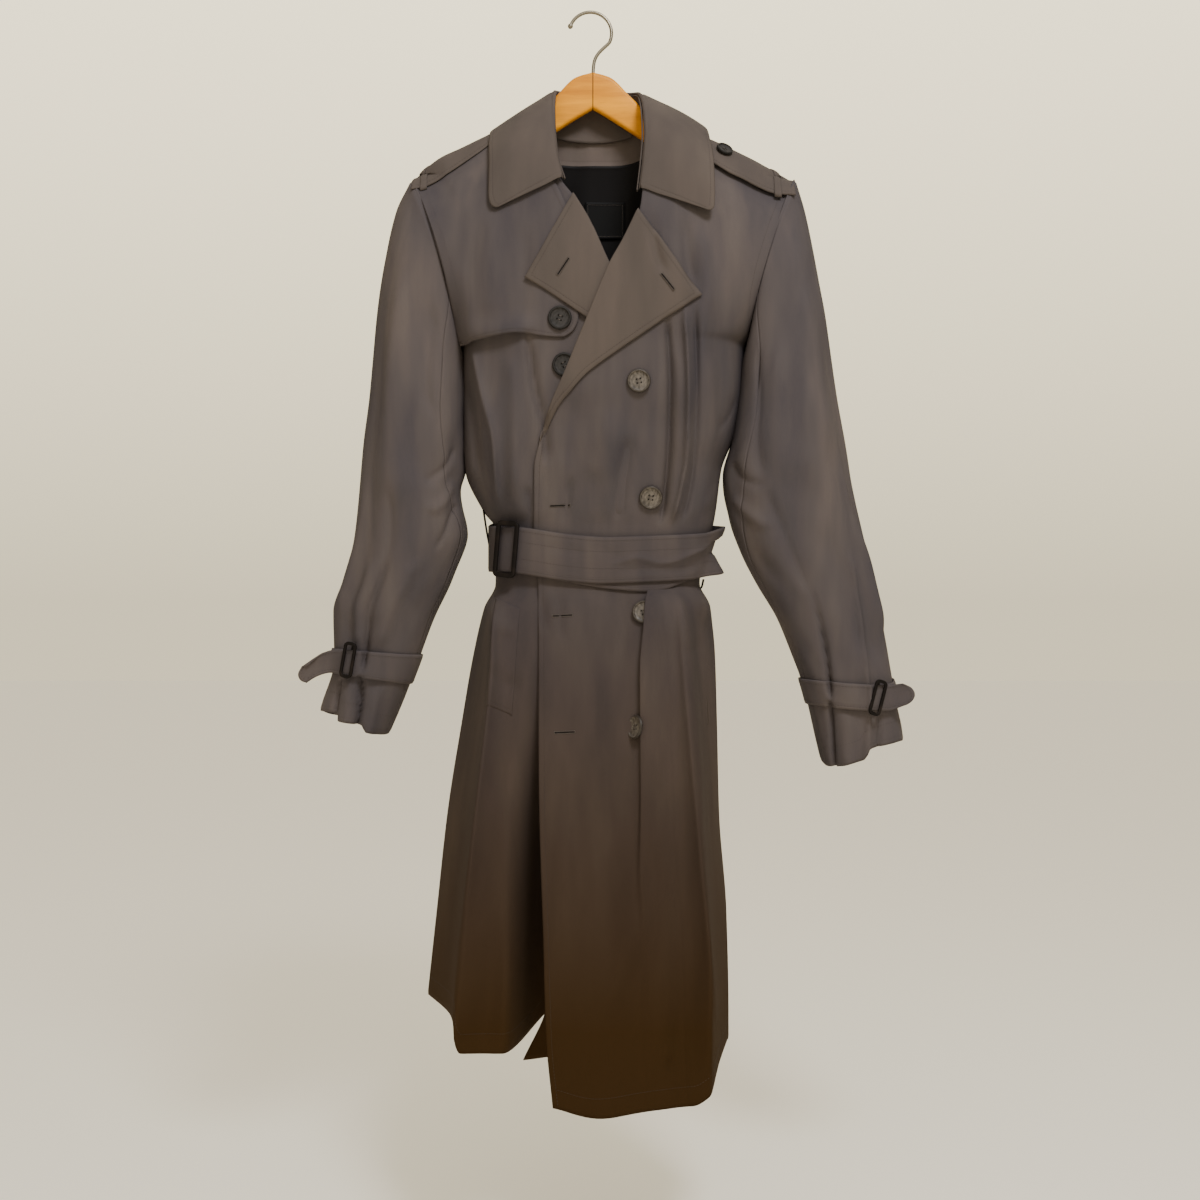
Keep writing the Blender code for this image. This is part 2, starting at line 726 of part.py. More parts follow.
def fabric(name, colour, roughness, metallic=0.0):
    """A material of one colour."""
    material = bpy.data.materials.new(name)
    material.use_nodes = True
    shader = material.node_tree.nodes["Principled BSDF"]
    shader.inputs["Base Color"].default_value = colour
    shader.inputs["Roughness"].default_value = roughness
    shader.inputs["Metallic"].default_value = metallic
    return material


def add_object(name, points, faces, colour, roughness=0.85, metallic=0.0):
    """A named object made of points in metres and of faces."""
    mesh = bpy.data.meshes.new(name)
    mesh.from_pydata(points, [], faces)
    mesh.update()
    mesh.materials.append(fabric(name + "_finish", colour, roughness, metallic))
    made = bpy.data.objects.new(name, mesh)
    bpy.context.scene.collection.objects.link(made)
    mesh.shade_smooth()
    mesh.set_sharp_from_angle(angle=math.radians(40))
    return made


def grid_faces(rows, columns, closed=False):
    """Quads of a grid of rows and columns, closed in a ring if asked."""
    faces = []
    across = columns if closed else columns - 1
    for row in range(rows - 1):
        for column in range(across):
            beside = (column + 1) % columns
            faces.append(
                (
                    row * columns + column,
                    row * columns + beside,
                    (row + 1) * columns + beside,
                    (row + 1) * columns + column,
                )
            )
    return faces


def faces_inward(grid, around):
    """Whether a grid's faces point at the body, or at the middle of each of their rows."""
    outward = 0.0
    for first, second in zip(grid, grid[1:]):
        core = Vector((BODY_CORE[0] * MM, BODY_CORE[1] * MM, 0.0))
        if around:
            core = sum(first, Vector()) / len(first)
        for column in range(len(first) - 1):
            along = first[column + 1] - first[column]
            down = second[column] - first[column]
            away = first[column] - core
            away.z = CORE_BELOW * MM
            outward += along.cross(down).dot(away)
    return outward < 0.0


def cloth(name, grid, wall, colour=TAUPE, closed=False, around=False):
    """A wall of cloth whose outer face is the grid and whose thickness lies inside it."""
    if faces_inward(grid, around):
        grid = [row[::-1] for row in grid]
    points = [point for row in grid for point in row]
    made = add_object(name, points, grid_faces(len(grid), len(grid[0]), closed), colour)
    thicken = made.modifiers.new("wall", "SOLIDIFY")
    thicken.thickness = wall * MM
    thicken.offset = -1.0
    thicken.use_even_offset = False
    thicken.use_rim = True
    return made


def tube(name, rings, colour, roughness, metallic=0.0):
    """A closed solid through rings of points, with a flat cap at each end."""
    sides = len(rings[0])
    points = [point for ring in rings for point in ring]
    faces = grid_faces(len(rings), sides, True)
    faces.append(tuple(range(sides))[::-1])
    last = (len(rings) - 1) * sides
    faces.append(tuple(last + side for side in range(sides)))
    return add_object(name, points, faces, colour, roughness, metallic)


def build_hanger():
    """The wooden hanger, thick in the middle and rounded all along, with its bore."""
    ribs = [(-rib.reach, rib) for rib in reversed(HANGER[1:])] + [(rib.reach, rib) for rib in HANGER]
    rings = []
    half = HANGER_HALF_THICKNESS
    for reach, rib in ribs:
        x = HANGER_MIDDLE + reach
        ring = []
        for step in range(7):
            turn = math.pi * step / 6
            ring.append(place(x, half * math.cos(turn), rib.top + half * (1.0 - math.sin(turn))))
        for step in range(5):
            turn = math.pi * step / 4
            ring.append(place(x, -half * math.cos(turn), rib.bottom - half + half * math.sin(turn)))
        rings.append(ring)
    wood = tube("hanger_wood", rings, BEECH, 0.38)
    bpy.ops.mesh.primitive_cylinder_add(
        vertices=16,
        radius=HOOK_BORE * MM,
        depth=40 * MM,
        location=place(HANGER_MIDDLE, 0, HOOK_SHANK_END + 1 - 20),
    )
    cutter = bpy.context.active_object
    cutter.name = "hook_bore_cutter"
    cutter.hide_render = True
    cutter.display_type = "WIRE"
    bore = wood.modifiers.new("bore", "BOOLEAN")
    bore.operation = "DIFFERENCE"
    bore.object = cutter
    bore.solver = "EXACT"


def build_hook():
    """The bent wire, from its ball end over the arch and down into the wood."""
    turns = [168 - 22 * step for step in range(10)]
    route = []
    for turn in turns:
        angle = math.radians(turn)
        route.append((HOOK_CENTRE_X + HOOK_RADIUS * math.cos(angle), HOOK_RADIUS - 2 - HOOK_RADIUS * math.sin(angle)))
    route += [(10, 43), (3.5, 50), (1.6, 58), (HANGER_MIDDLE, 68), (HANGER_MIDDLE, 80), (HANGER_MIDDLE, HOOK_SHANK_END)]
    wire = bpy.data.curves.new("hanger_hook", "CURVE")
    wire.dimensions = "3D"
    wire.bevel_depth = HOOK_WIRE * MM
    wire.bevel_resolution = 2
    wire.use_fill_caps = True
    wire.resolution_u = 1
    line = wire.splines.new("POLY")
    line.points.add(len(route) - 1)
    for point, (x, drop) in zip(line.points, route):
        point.co = (*place(x, 0, drop), 1.0)
        point.radius = 1.0
    line.points[0].radius = 1.5
    line.points[1].radius = 1.15
    line.use_smooth = True
    made = bpy.data.objects.new("hanger_hook", wire)
    bpy.context.scene.collection.objects.link(made)
    wire.materials.append(fabric("hanger_hook_finish", STEEL, 0.3, 1.0))


def parted(grid, way):
    """A panel with its shoulder and side edges moved off the seams they share."""
    for number, row in enumerate(grid):
        for column, point in enumerate(row):
            apart = SEAM_SHIFT if number == 0 or column == 0 else 0.0
            if number == 0 or (number == 1 and column > 0):
                apart += TIP_SHIFT * (1.0 - ramp(column, 2, 9))
            point.y += way * apart * MM
    return grid


def build_body():
    """The two fronts and the two halves of the back."""
    right_front = panel_grid(
        RIGHT, RIGHT_FRONT_ROWS, RIGHT_FRONT_EDGE, RIGHT_FRONT_HEM, 13, sink_rule=recess
    )
    cloth("front_right", parted(right_front, -1), CLOTH)
    left_front = panel_grid(
        LEFT, LEFT_FRONT_ROWS, LEFT_FRONT_EDGE, LEFT_FRONT_HEM, 14, lift_rule=overlap_lift
    )
    cloth("front_left", parted(left_front, -1), CLOTH)
    right_back = panel_grid(RIGHT, BACK_ROWS, RIGHT_BACK_EDGE, RIGHT_BACK_HEM, 9, back=True)
    left_back = panel_grid(
        LEFT, BACK_ROWS, LEFT_BACK_EDGE, LEFT_BACK_HEM, 10, back=True, lift_rule=vent_lift
    )
    cloth("back_right", parted(right_back, 1), CLOTH)
    cloth("back_left", parted(left_back, 1), CLOTH)


def build_sleeves():
    """Top and under sleeve on each side."""
    for side, word, rows in ((RIGHT, "right", RIGHT_SLEEVE), (LEFT, "left", LEFT_SLEEVE)):
        levels = []
        for first, second in zip(rows, rows[1:]):
            levels.append(first.level)
            if second.level - first.level > 60:
                levels.append(0.5 * (first.level + second.level))
        levels.append(rows[-1].level)
        spans = (
            ("top_sleeve_", SLEEVE_BACK_SEAM - 360 + SEAM_TURN, SLEEVE_FRONT_SEAM - SEAM_TURN, 12),
            ("under_sleeve_", SLEEVE_FRONT_SEAM + SEAM_TURN, SLEEVE_BACK_SEAM - SEAM_TURN, 11),
        )
        for name, first_angle, last_angle, steps in spans:
            grid = []
            for level in levels:
                angles = [first_angle + (last_angle - first_angle) * step / steps for step in range(steps + 1)]
                grid.append([sleeve_point(side, level, angle)[0] for angle in angles])
            cloth(name + word, grid, CLOTH, around=True)


def collar_stations():
    """The collar's stations, with eased ones between them."""
    numbered = [(index, station) for index, station in enumerate(COLLAR)]
    Numbered = namedtuple("Numbered", ("number",) + Station._fields)
    rows = [Numbered(index, *station) for index, station in numbered]
    count = (len(COLLAR) - 1) * COLLAR_STEPS
    made = []
    for step in range(count + 1):
        at = step / COLLAR_STEPS
        made.append(Station(*(follow(rows, "number", field, at) for field in Station._fields)))
    return made


def build_collar():
    """The stand, which rises from the neck seam, and the fall, which turns over it."""
    stand = []
    fall = []
    for station in collar_stations():
        neck = place(station.neck_x, station.neck_y, station.neck_drop)
        roll = place(station.roll_x, station.roll_y, station.roll_drop)
        edge = place(station.edge_x, station.edge_y, station.edge_drop)
        lean = math.radians(station.lean)
        out = Vector((0.0, -math.cos(lean), math.sin(lean)))
        inward = Vector((ROLL_AXIS[0] * MM - roll.x, ROLL_AXIS[1] * MM - roll.y, 0.0)).normalized()
        top = roll + inward * STAND_INSET * MM
        top += (neck - top).normalized() * STAND_SHORT * MM
        stand.append([neck.lerp(top, share) for share in (0.0, 0.5, 1.0)])
        ribs = [roll + inward * 0.8 * MM + Vector((0.0, 0.0, -0.6 * MM))]
        for share in (0.05, 0.18, 0.4, 0.6, 0.8, 1.0):
            bend = 4.0 * share * (1.0 - share) * station.swell * MM
            crown = Vector((0.0, 0.0, 1.2 * MM * (1.0 - ramp(share, 0.0, 0.3))))
            ribs.append(roll.lerp(edge, share) + out * bend + crown)
        fall.append(ribs)
    cloth("collar_stand", stand, TRIM)
    cloth("collar_fall", fall, TRIM)


def leaf_grid(rows, base_lift, top_lift, steps, columns):
    """A turned-back lapel: it leaves the roll low and lies at its full height beyond."""
    Numbered = namedtuple("Numbered", ("number",) + Leaf._fields)
    numbered = [Numbered(index, *row) for index, row in enumerate(rows)]
    grid = []
    for step in range(steps + 1):
        at = (len(rows) - 1) * step / steps
        roll_x = follow(numbered, "number", "roll_x", at)
        roll_drop = follow(numbered, "number", "roll_drop", at)
        edge_x = follow(numbered, "number", "edge_x", at)
        edge_drop = follow(numbered, "number", "edge_drop", at)
        points = []
        for column in range(columns + 1):
            share = column / columns
            x = roll_x + (edge_x - roll_x) * share
            drop = roll_drop + (edge_drop - roll_drop) * share
            lift = base_lift(x, drop) + top_lift
            points.append(on_body(x, drop, lift)[0])
        grid.append(points)
    return grid


def build_lapels():
    """Both lapels."""
    right = leaf_grid(RIGHT_LAPEL, lambda x, drop: 0.0, RIGHT_LAPEL_LIFT, 7, 5)
    cloth("lapel_right", right, TRIM)
    left = leaf_grid(LEFT_LAPEL, overlap_lift, LEFT_LAPEL_LIFT, 9, 5)
    cloth("lapel_left", left, TRIM)


def build_storm_flap():
    """The extra layer over the right shoulder and chest."""
    grid = []
    columns = 11
    for row in FLAP_ROWS:
        edge_x = follow(FLAP_EDGE, "drop", "x", row.edge_drop)
        begin_x = side_x(RIGHT, row.side_drop) + 1.5
        points = []
        for column in range(columns + 1):
            share = (column / columns) ** 1.25
            x = begin_x + (edge_x - begin_x) * share
            drop = row.side_drop + (row.edge_drop - row.side_drop) * share
            drop = max(drop, shoulder_drop(x) + FLAP_FROM_SEAM)
            points.append(on_body(x, drop, FLAP_LIFT)[0])
        grid.append(points)
    cloth("storm_flap", grid, TRIM)


def over_shoulder(x, reach, lift):
    """A point on the shoulder at a path length forward (or back) from its top line."""
    back = reach < 0
    drop = shoulder_drop(x)
    step = 0.25
    walked = 0.0
    last_y = body_y(x, drop, back)
    while walked < abs(reach):
        drop += step
        y = body_y(x, drop, back)
        walked += math.hypot(y - last_y, step)
        last_y = y
    point, out = on_body(x, drop + 0.5, 0.0, back)
    upward = 1.0 - ramp(abs(reach), 0.0, 12.0)
    out = (out * (1.0 - upward) + Vector((0.0, 0.0, 1.0)) * upward).normalized()
    return place(x, last_y, drop) + out * lift * MM


def strip_at(rows, reach):
    """The epaulette's cross section at any reach along the shoulder."""
    return Strip(reach, *(follow(rows, "reach", field, reach) for field in Strip._fields[1:]))


def epaulette_point(side, row, column, extra=0.0):
    """A point on an epaulette's face, from its front edge at 1 to its back edge at -1."""
    reach = row.front_reach * column if column > 0 else row.back_reach * column
    edge_lift = row.front_lift if column > 0 else row.back_lift
    lift = edge_lift + (row.ridge_lift - edge_lift) * (1.0 - abs(column) ** 1.6) + extra
    return over_shoulder(side * row.reach, reach, lift)


def build_epaulettes():
    """Each epaulette, arched over the shoulder seam, and its keeper loop."""
    for side, word, rows in ((RIGHT, "right", RIGHT_EPAULETTE), (LEFT, "left", LEFT_EPAULETTE)):
        first = KEEPER_REACH[side] - KEEPER_WIDTH / 2
        under_keeper = (strip_at(rows, first), strip_at(rows, first + KEEPER_WIDTH))
        grid = []
        for row in sorted(rows + under_keeper):
            grid.append([epaulette_point(side, row, column) for column in EPAULETTE_COLUMNS])
        cloth("epaulette_" + word, grid, TRIM)
        keeper = []
        for row in under_keeper:
            x = side * row.reach
            strip = [over_shoulder(x, row.front_reach + 9, row.front_lift - 0.2)]
            strip.append(over_shoulder(x, row.front_reach + 3.5, row.front_lift + 1.2))
            for column in EPAULETTE_COLUMNS:
                strip.append(epaulette_point(side, row, column, KEEPER_CLEAR))
            strip.append(over_shoulder(x, -row.back_reach - 3.5, row.back_lift + 1.2))
            strip.append(over_shoulder(x, -row.back_reach - 9, 2.0))
            keeper.append(strip)
        cloth("epaulette_keeper_" + word, keeper, KEEPER_WALL)


def body_loop(drops, lifts):
    """Points around the body at given drops and heights, from the right side by the front."""
    count = len(drops)
    flat = []
    for number, drop in enumerate(drops):
        turn = 2.0 * math.pi * number / count
        middle = 0.5 * (side_x(RIGHT, drop) + side_x(LEFT, drop))
        half = 0.5 * (side_x(LEFT, drop) - side_x(RIGHT, drop))
        x = middle - half * math.cos(turn)
        flat.append(Vector((x, body_y(x, drop, turn > math.pi))))
    points = []
    for number, drop in enumerate(drops):
        along = flat[(number + 1) % count] - flat[number - 1]
        out = Vector((along.y, -along.x)).normalized()
        spot = flat[number] + out * lifts[number]
        points.append(place(spot.x, spot.y, drop))
    return points


def belt_row(offset):
    """One line around the belt, at an offset below its centre line."""
    angles = [360.0 * number / BELT_AROUND for number in range(BELT_AROUND)]
    drops = [follow(BELT, "angle", "drop", angle) + offset for angle in angles]
    lifts = [follow(BELT, "angle", "lift", angle) for angle in angles]
    return body_loop(drops, lifts)


def build_belt():
    """The belt around the waist and its tail, which runs behind the front stretch."""
    half = BELT_WIDTH / 2
    rows = [belt_row(offset) for offset in (-half, -half / 3, half / 3, half)]
    cloth("belt", rows, BELTING, closed=True)
    tail = []
    steps = 14
    for offset in (-TAIL_WIDTH / 2, 0.0, TAIL_WIDTH / 2):
        points = []
        for step in range(steps + 1):
            angle = TAIL_FROM + (TAIL_TO - TAIL_FROM) * step / steps
            sag = TAIL_DROOP * math.sin(math.pi * step / steps)
            drop = follow(BELT, "angle", "drop", angle) + offset + sag
            middle = 0.5 * (side_x(RIGHT, drop) + side_x(LEFT, drop))
            half_width = 0.5 * (side_x(LEFT, drop) - side_x(RIGHT, drop))
            x = middle - half_width * math.cos(math.radians(angle))
            points.append(on_body(x, drop, TAIL_LIFT)[0])
        tail.append(points)
    cloth("belt_tail", tail, TAIL_WALL)


def build_buckle(name, buckle, centre, along, up):
    """A frame in front of a strap, joined at both ends to a bar that runs behind it."""
    out = along.cross(up).normalized()
    if out.y > 0:
        out.negate()
    half_length = buckle.length / 2
    half_height = buckle.height / 2

    def at(x, z, level):
        return centre + (along * x + up * z + out * level) * MM

    corners = ((-1, -1), (1, -1), (1, 1), (-1, 1))
    points = []
    for level in (0.0, buckle.thickness):
        for inset in (0.0, buckle.border):
            for across, height in corners:
                x = across * (half_length - inset)
                points.append(at(x, height * (half_height - inset), level))
    faces = []
    for side in range(4):
        beside = (side + 1) % 4
        faces.append((side, 4 + side, 4 + beside, beside))
        faces.append((8 + side, 8 + beside, 12 + beside, 12 + side))
        faces.append((side, beside, 8 + beside, 8 + side))
        faces.append((4 + side, 12 + side, 12 + beside, 4 + beside))
    frame = add_object(name, points, faces, LEATHER, 0.45)
    outline = (
        (-half_height + 0.3, 0.8),
        (-half_height + 0.3, -buckle.bar_depth - buckle.bar_wall),
        (half_height - 0.3, -buckle.bar_depth - buckle.bar_wall),
        (half_height - 0.3, 0.8),
        (half_height - buckle.border + 0.3, 0.8),
        (half_height - buckle.border + 0.3, -buckle.bar_depth),
        (-half_height + buckle.border - 0.3, -buckle.bar_depth),
        (-half_height + buckle.border - 0.3, 0.8),
    )
    count = len(outline)
    points = [at(x, z, level) for x in (-buckle.bar_width / 2, buckle.bar_width / 2) for z, level in outline]
    faces = [(0, 1, 6, 7), (1, 2, 5, 6), (2, 3, 4, 5)]
    faces += [tuple(corner + count for corner in face)[::-1] for face in faces]
    for side in range(count):
        beside = (side + 1) % count
        faces.append((side, side + count, beside + count, beside))
    bar = add_object(name + "_bar_cutter", points, faces, LEATHER, 0.45)
    for made in (frame, bar):
        mesh = bmesh.new()
        mesh.from_mesh(made.data)
        bmesh.ops.recalc_face_normals(mesh, faces=mesh.faces)
        mesh.to_mesh(made.data)
        mesh.free()
    bar.hide_render = True
    bar.display_type = "WIRE"
    rounding = frame.modifiers.new("rounding", "BEVEL")
    rounding.width = 0.8 * MM
    rounding.segments = 1
    rounding.limit_method = "ANGLE"
    rounding.angle_limit = math.radians(40)
    joined = frame.modifiers.new("bar", "BOOLEAN")
    joined.operation = "UNION"
    joined.object = bar
    joined.solver = "EXACT"


def build_buckles():
    """The belt's buckle and the two on the cuff straps."""
    drop = follow(BELT, "angle", "drop", 30.0)
    point, out = on_body(BELT_BUCKLE_X, drop, 0.0)
    out.z = 0.0
    out.normalize()
    lift = follow(BELT, "angle", "lift", 30.0) + BELT_BUCKLE_CLEAR
    along = Vector((-out.y, out.x, 0.0))
    build_buckle("belt_buckle", BELT_BUCKLE, point + out * lift * MM, along, Vector((0.0, 0.0, 1.0)))
    for side, word in ((RIGHT, "right"), (LEFT, "left")):
        cuff = CUFFS[side]
        height = STRAP_OVER_LIFT + CUFF_BUCKLE_CLEAR
        angle = cuff.buckle_angle
        half = cuff.width / 2
        centre = sleeve_point(side, cuff.level, angle, height)[0]
        along = sleeve_point(side, cuff.level, angle - 4, height)[0]
        along -= sleeve_point(side, cuff.level, angle + 4, height)[0]
        along.normalize()
        up = sleeve_point(side, cuff.level - half, angle, height)[0]
        up -= sleeve_point(side, cuff.level + half, angle, height)[0]
        up = (up - along * up.dot(along)).normalized()
        build_buckle("cuff_buckle_" + word, CUFF_BUCKLE, centre, along, up)


def build_cuff_straps():
    """Each strap goes once around the sleeve, over its own start, and ends in a free tip."""
    for side, word in ((RIGHT, "right"), (LEFT, "left")):
        cuff = CUFFS[side]
        steps = 26
        tip_steps = 3
        leave_angle = 22.0
        total = 360.0 + cuff.buckle_angle - leave_angle - STRAP_START
        grid = []
        for offset in (-cuff.width / 2, 0.0, cuff.width / 2):
            points = []
            for step in range(steps + 1):
                turned = STRAP_START + total * step / steps
                angle = cuff.buckle_angle - turned
                lift = STRAP_LIFT + (STRAP_OVER_LIFT - STRAP_LIFT) * ramp(turned, 296, 340)
                points.append(sleeve_point(side, cuff.level + offset, angle, lift)[0])
            heading = (points[-1] - points[-2]).normalized()
            last = points[-1]
            for step in range(1, tip_steps + 1):
                share = step / tip_steps
                length = cuff.tip_length * (1.0 - 0.16 * (abs(offset) / cuff.width * 2) ** 2)
                droop = Vector((0.0, 0.0, -cuff.tip_droop * share * share * MM))
                points.append(last + heading * length * share * MM + droop)
            grid.append(points)
        cloth("cuff_strap_" + word, grid, STRAP_WALL, around=True)


def build_pocket_welts():
    """The standing welt of each side pocket."""
    for side, word in ((RIGHT, "right"), (LEFT, "left")):
        welt = WELTS[side]
        grid = []
        for step in range(6):
            share = step / 5
            middle_x = welt.top_x + (welt.low_x - welt.top_x) * share
            drop = welt.top_drop + (welt.low_drop - welt.top_drop) * share
            points = []
            for across in (-0.5, -0.17, 0.17, 0.5):
                x = middle_x + across * welt.width
                lean = 8 * across * side
                lift = WELT_LIFT + (overlap_lift(x, drop) if side == LEFT else 0.0)
                points.append(on_body(x, drop + lean, lift)[0])
            grid.append(points)
        cloth("pocket_welt_" + word, grid, TRIM)


def build_button(name, centre, out, radius):
    """A turned button with a raised rim."""
    across = out.orthogonal().normalized()
    upright = out.cross(across)
    high = BUTTON_THICKNESS
    profile = (
        (0.82, 0.0),
        (1.0, 0.35 * high),
        (0.97, 0.8 * high),
        (0.88, high),
        (0.72, 0.7 * high),
    )
    rings = []
    for share, height in profile:
        ring = []
        for side in range(BUTTON_SIDES):
            turn = 2.0 * math.pi * side / BUTTON_SIDES
            spoke = across * math.cos(turn) + upright * math.sin(turn)
            ring.append(centre + (spoke * radius * share + out * height) * MM)
        rings.append(ring)
    tube(name, rings, HORN, 0.35)


def build_buttons():
    """The buttons of both fronts, the storm flap's and the epaulette's."""
    for button in FRONT_BUTTONS:
        lift = overlap_lift(button.x, button.drop) + button.clear
        centre, out = on_body(button.x, button.drop, lift)
        build_button(button.name, centre, out, BUTTON_RADIUS)
    centre, out = on_body(UNDER_BUTTON.x, UNDER_BUTTON.drop, UNDER_BUTTON.clear)
    build_button(UNDER_BUTTON.name, centre, out, BUTTON_RADIUS)
    centre, out = on_body(STORM_BUTTON.x, STORM_BUTTON.drop, FLAP_LIFT + STORM_BUTTON.clear)
    build_button(STORM_BUTTON.name, centre, out, BUTTON_RADIUS)
    row = strip_at(LEFT_EPAULETTE, EPAULETTE_BUTTON_REACH)
    centre = epaulette_point(LEFT, row, 0.45, 0.5)
    above = epaulette_point(LEFT, row, 0.45, 1.5)
    build_button("epaulette_button_left", centre, (above - centre).normalized(), SMALL_BUTTON_RADIUS)


def facing_end(x):
    """Drop of the back neck facing's lower edge."""
    share = min(abs(x) / FACING_REACH, 1.0)
    return FACING_SIDE_DROP + FACING_DIP * (1.0 - share**2.2)


def build_inside():
    """What shows inside the neck: the facing, the lining below it and the label."""
    facing = []
    columns = 10
    for share in (0.0, 0.5, 1.0):
        points = []
        for column in range(columns + 1):
            x = FACING_REACH * (2.0 * column / columns - 1.0)
            top = back_neck_drop(x) + 2.5
            drop = top + (facing_end(x) - SEAM - top) * share
            points.append(on_body(x, drop, FACING_LIFT, True)[0])
        facing.append(points)
    cloth("back_neck_facing", facing, THIN)
    lining = []
    for share in (0.0, 0.15, 0.35, 0.6, 0.8, 1.0):
        points = []
        for column in range(15):
            x = LINING_RIGHT_X + (LINING_LEFT_X - LINING_RIGHT_X) * column / 14
            top = shoulder_drop(x) + 18
            if abs(x) < FACING_REACH:
                top = facing_end(x) + LINING_BELOW_FACING
            drop = top + (LINING_END - top) * share
            points.append(on_body(x, drop, LINING_LIFT, True)[0])
        lining.append(points)
    cloth("lining", lining, THIN, BLACK_LINING)
    label = []
    for row in range(3):
        drop = LABEL_MIDDLE[1] + LABEL_SIZE[1] * (row / 2 - 0.5)
        points = []
        for column in range(4):
            x = LABEL_MIDDLE[0] + LABEL_SIZE[0] * (column / 3 - 0.5)
            points.append(on_body(x, drop, LABEL_LIFT, True)[0])
        label.append(points)
    cloth("label", label, THIN, LABEL_BLACK)


def main():
    """Clear the scene and build every piece."""
    for old in list(bpy.data.objects):
        bpy.data.objects.remove(old, do_unlink=True)
    build_hanger()
    build_hook()
    build_body()
    build_sleeves()
    build_collar()
    build_lapels()
    build_storm_flap()
    build_epaulettes()
    build_belt()
    build_buckles()
    build_cuff_straps()
    build_pocket_welts()
    build_buttons()
    build_inside()


main()
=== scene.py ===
"""A double-breasted trench coat on a wooden hanger, made from its own sizes.

Sizes are in millimetres. The origin is the underside of the hook's arch, +X is the
wearer's left and the front faces -Y. A drop is a distance below the origin.
"""

import logging
import math
from dataclasses import dataclass, field
from enum import Enum
from typing import Callable, NamedTuple, Optional, Sequence

import bpy
import numpy as np
from mathutils import Matrix, Vector


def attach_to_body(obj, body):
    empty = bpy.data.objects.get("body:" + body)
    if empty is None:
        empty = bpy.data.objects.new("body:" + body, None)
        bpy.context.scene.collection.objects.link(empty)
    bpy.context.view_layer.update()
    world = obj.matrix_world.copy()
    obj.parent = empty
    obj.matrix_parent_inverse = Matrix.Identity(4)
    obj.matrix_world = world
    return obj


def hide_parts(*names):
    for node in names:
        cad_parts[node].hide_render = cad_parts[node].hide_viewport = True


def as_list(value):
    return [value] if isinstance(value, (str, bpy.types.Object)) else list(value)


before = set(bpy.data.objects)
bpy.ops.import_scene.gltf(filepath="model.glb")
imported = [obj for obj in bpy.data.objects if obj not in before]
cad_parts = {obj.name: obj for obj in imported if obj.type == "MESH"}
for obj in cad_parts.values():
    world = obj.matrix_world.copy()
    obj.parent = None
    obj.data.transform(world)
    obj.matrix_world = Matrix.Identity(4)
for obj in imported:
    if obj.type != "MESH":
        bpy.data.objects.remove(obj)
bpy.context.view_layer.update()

Array = np.ndarray
Rule = Callable[[Array, Array], Array]
Pair = tuple[float, float]
Triple = tuple[float, float, float]
Socket = bpy.types.NodeSocket
MM = 0.001
logger = logging.getLogger("coat")


class Side(Enum):
    """The wearer's sides, as the sign of X."""

    RIGHT = -1
    LEFT = 1


class Held(Enum):
    """How a piece of cloth is held."""

    HUNG = "hung"
    FOLDED = "folded"
    GATHERED = "gathered"


class Border(Enum):
    """The four borders of a grid of points."""

    FIRST_ROW = "first row"
    LAST_ROW = "last row"
    FIRST_COLUMN = "first column"
    LAST_COLUMN = "last column"


class Profile(Enum):
    """The section of a crease: round, a pinched line, or a fold's edge."""

    SOFT = "soft"
    PINCHED = "pinched"
    EDGE = "edge"


PINCHED, EDGE = Profile.PINCHED, Profile.EDGE


def ramp(value: Array, low: float, high: float) -> Array:
    """An eased step from 0 at low to 1 at high.

    Args:
        value: Where to read the step.
        low: Where it leaves 0.
        high: Where it reaches 1.

    Returns:
        The step's height at each value.
    """
    share = np.clip((np.asarray(value, float) - low) / (high - low), 0.0, 1.0)
    return share * share * (3.0 - 2.0 * share)


def unit(vectors: Array) -> Array:
    """Vectors along the last axis, made one long."""
    return vectors / np.maximum(np.linalg.norm(vectors, axis=-1, keepdims=True), 1e-9)


class Curve:
    """A smooth line through values at rising keys, which never overshoots them."""

    def __init__(self, keys: Sequence[float], values: Sequence[float]) -> None:
        """Work out the slope at every key.

        Args:
            keys: Rising places.
            values: The value at each place.
        """
        self.keys = np.asarray(keys, float)
        self.values = np.asarray(values, float)
        steps = np.diff(self.values) / np.diff(self.keys)
        before, after = steps[:-1], steps[1:]
        same = before * after > 0.0
        inner = np.where(same, 2.0 * before * after / np.where(same, before + after, 1.0), 0.0)
        self.slopes = np.concatenate([steps[:1], inner, steps[-1:]])

    def __call__(self, where: Array) -> Array:
        """The value at any place, held level beyond the ends.

        Args:
            where: Places along the keys.

        Returns:
            The values there.
        """
        at = np.clip(where, self.keys[0], self.keys[-1])
        index = np.clip(np.searchsorted(self.keys, at, side="right") - 1, 0, len(self.keys) - 2)
        span = self.keys[index + 1] - self.keys[index]
        share = (at - self.keys[index]) / span
        square = share * share
        cube = square * share
        return (
            self.values[index] * (2 * cube - 3 * square + 1)
            + self.slopes[index] * span * (cube - 2 * square + share)
            + self.values[index + 1] * (3 * square - 2 * cube)
            + self.slopes[index + 1] * span * (cube - square)
        )


class Table:
    """Rows of named sizes, read smoothly between the rows."""

    def __init__(self, rows: Sequence[NamedTuple], key: str = "") -> None:
        """Make one curve for each column.

        Args:
            rows: The rows, in order.
            key: The column that rises, or nothing to count the rows.
        """
        keys = [getattr(row, key) for row in rows] if key else list(range(len(rows)))
        self.last = float(keys[-1])
        self.curves = {name: Curve(keys, [getattr(row, name) for row in rows]) for name in rows[0]._fields}

    def at(self, column: str, where: Array) -> Array:
        """A column's value at any place along the key."""
        return self.curves[column](where)


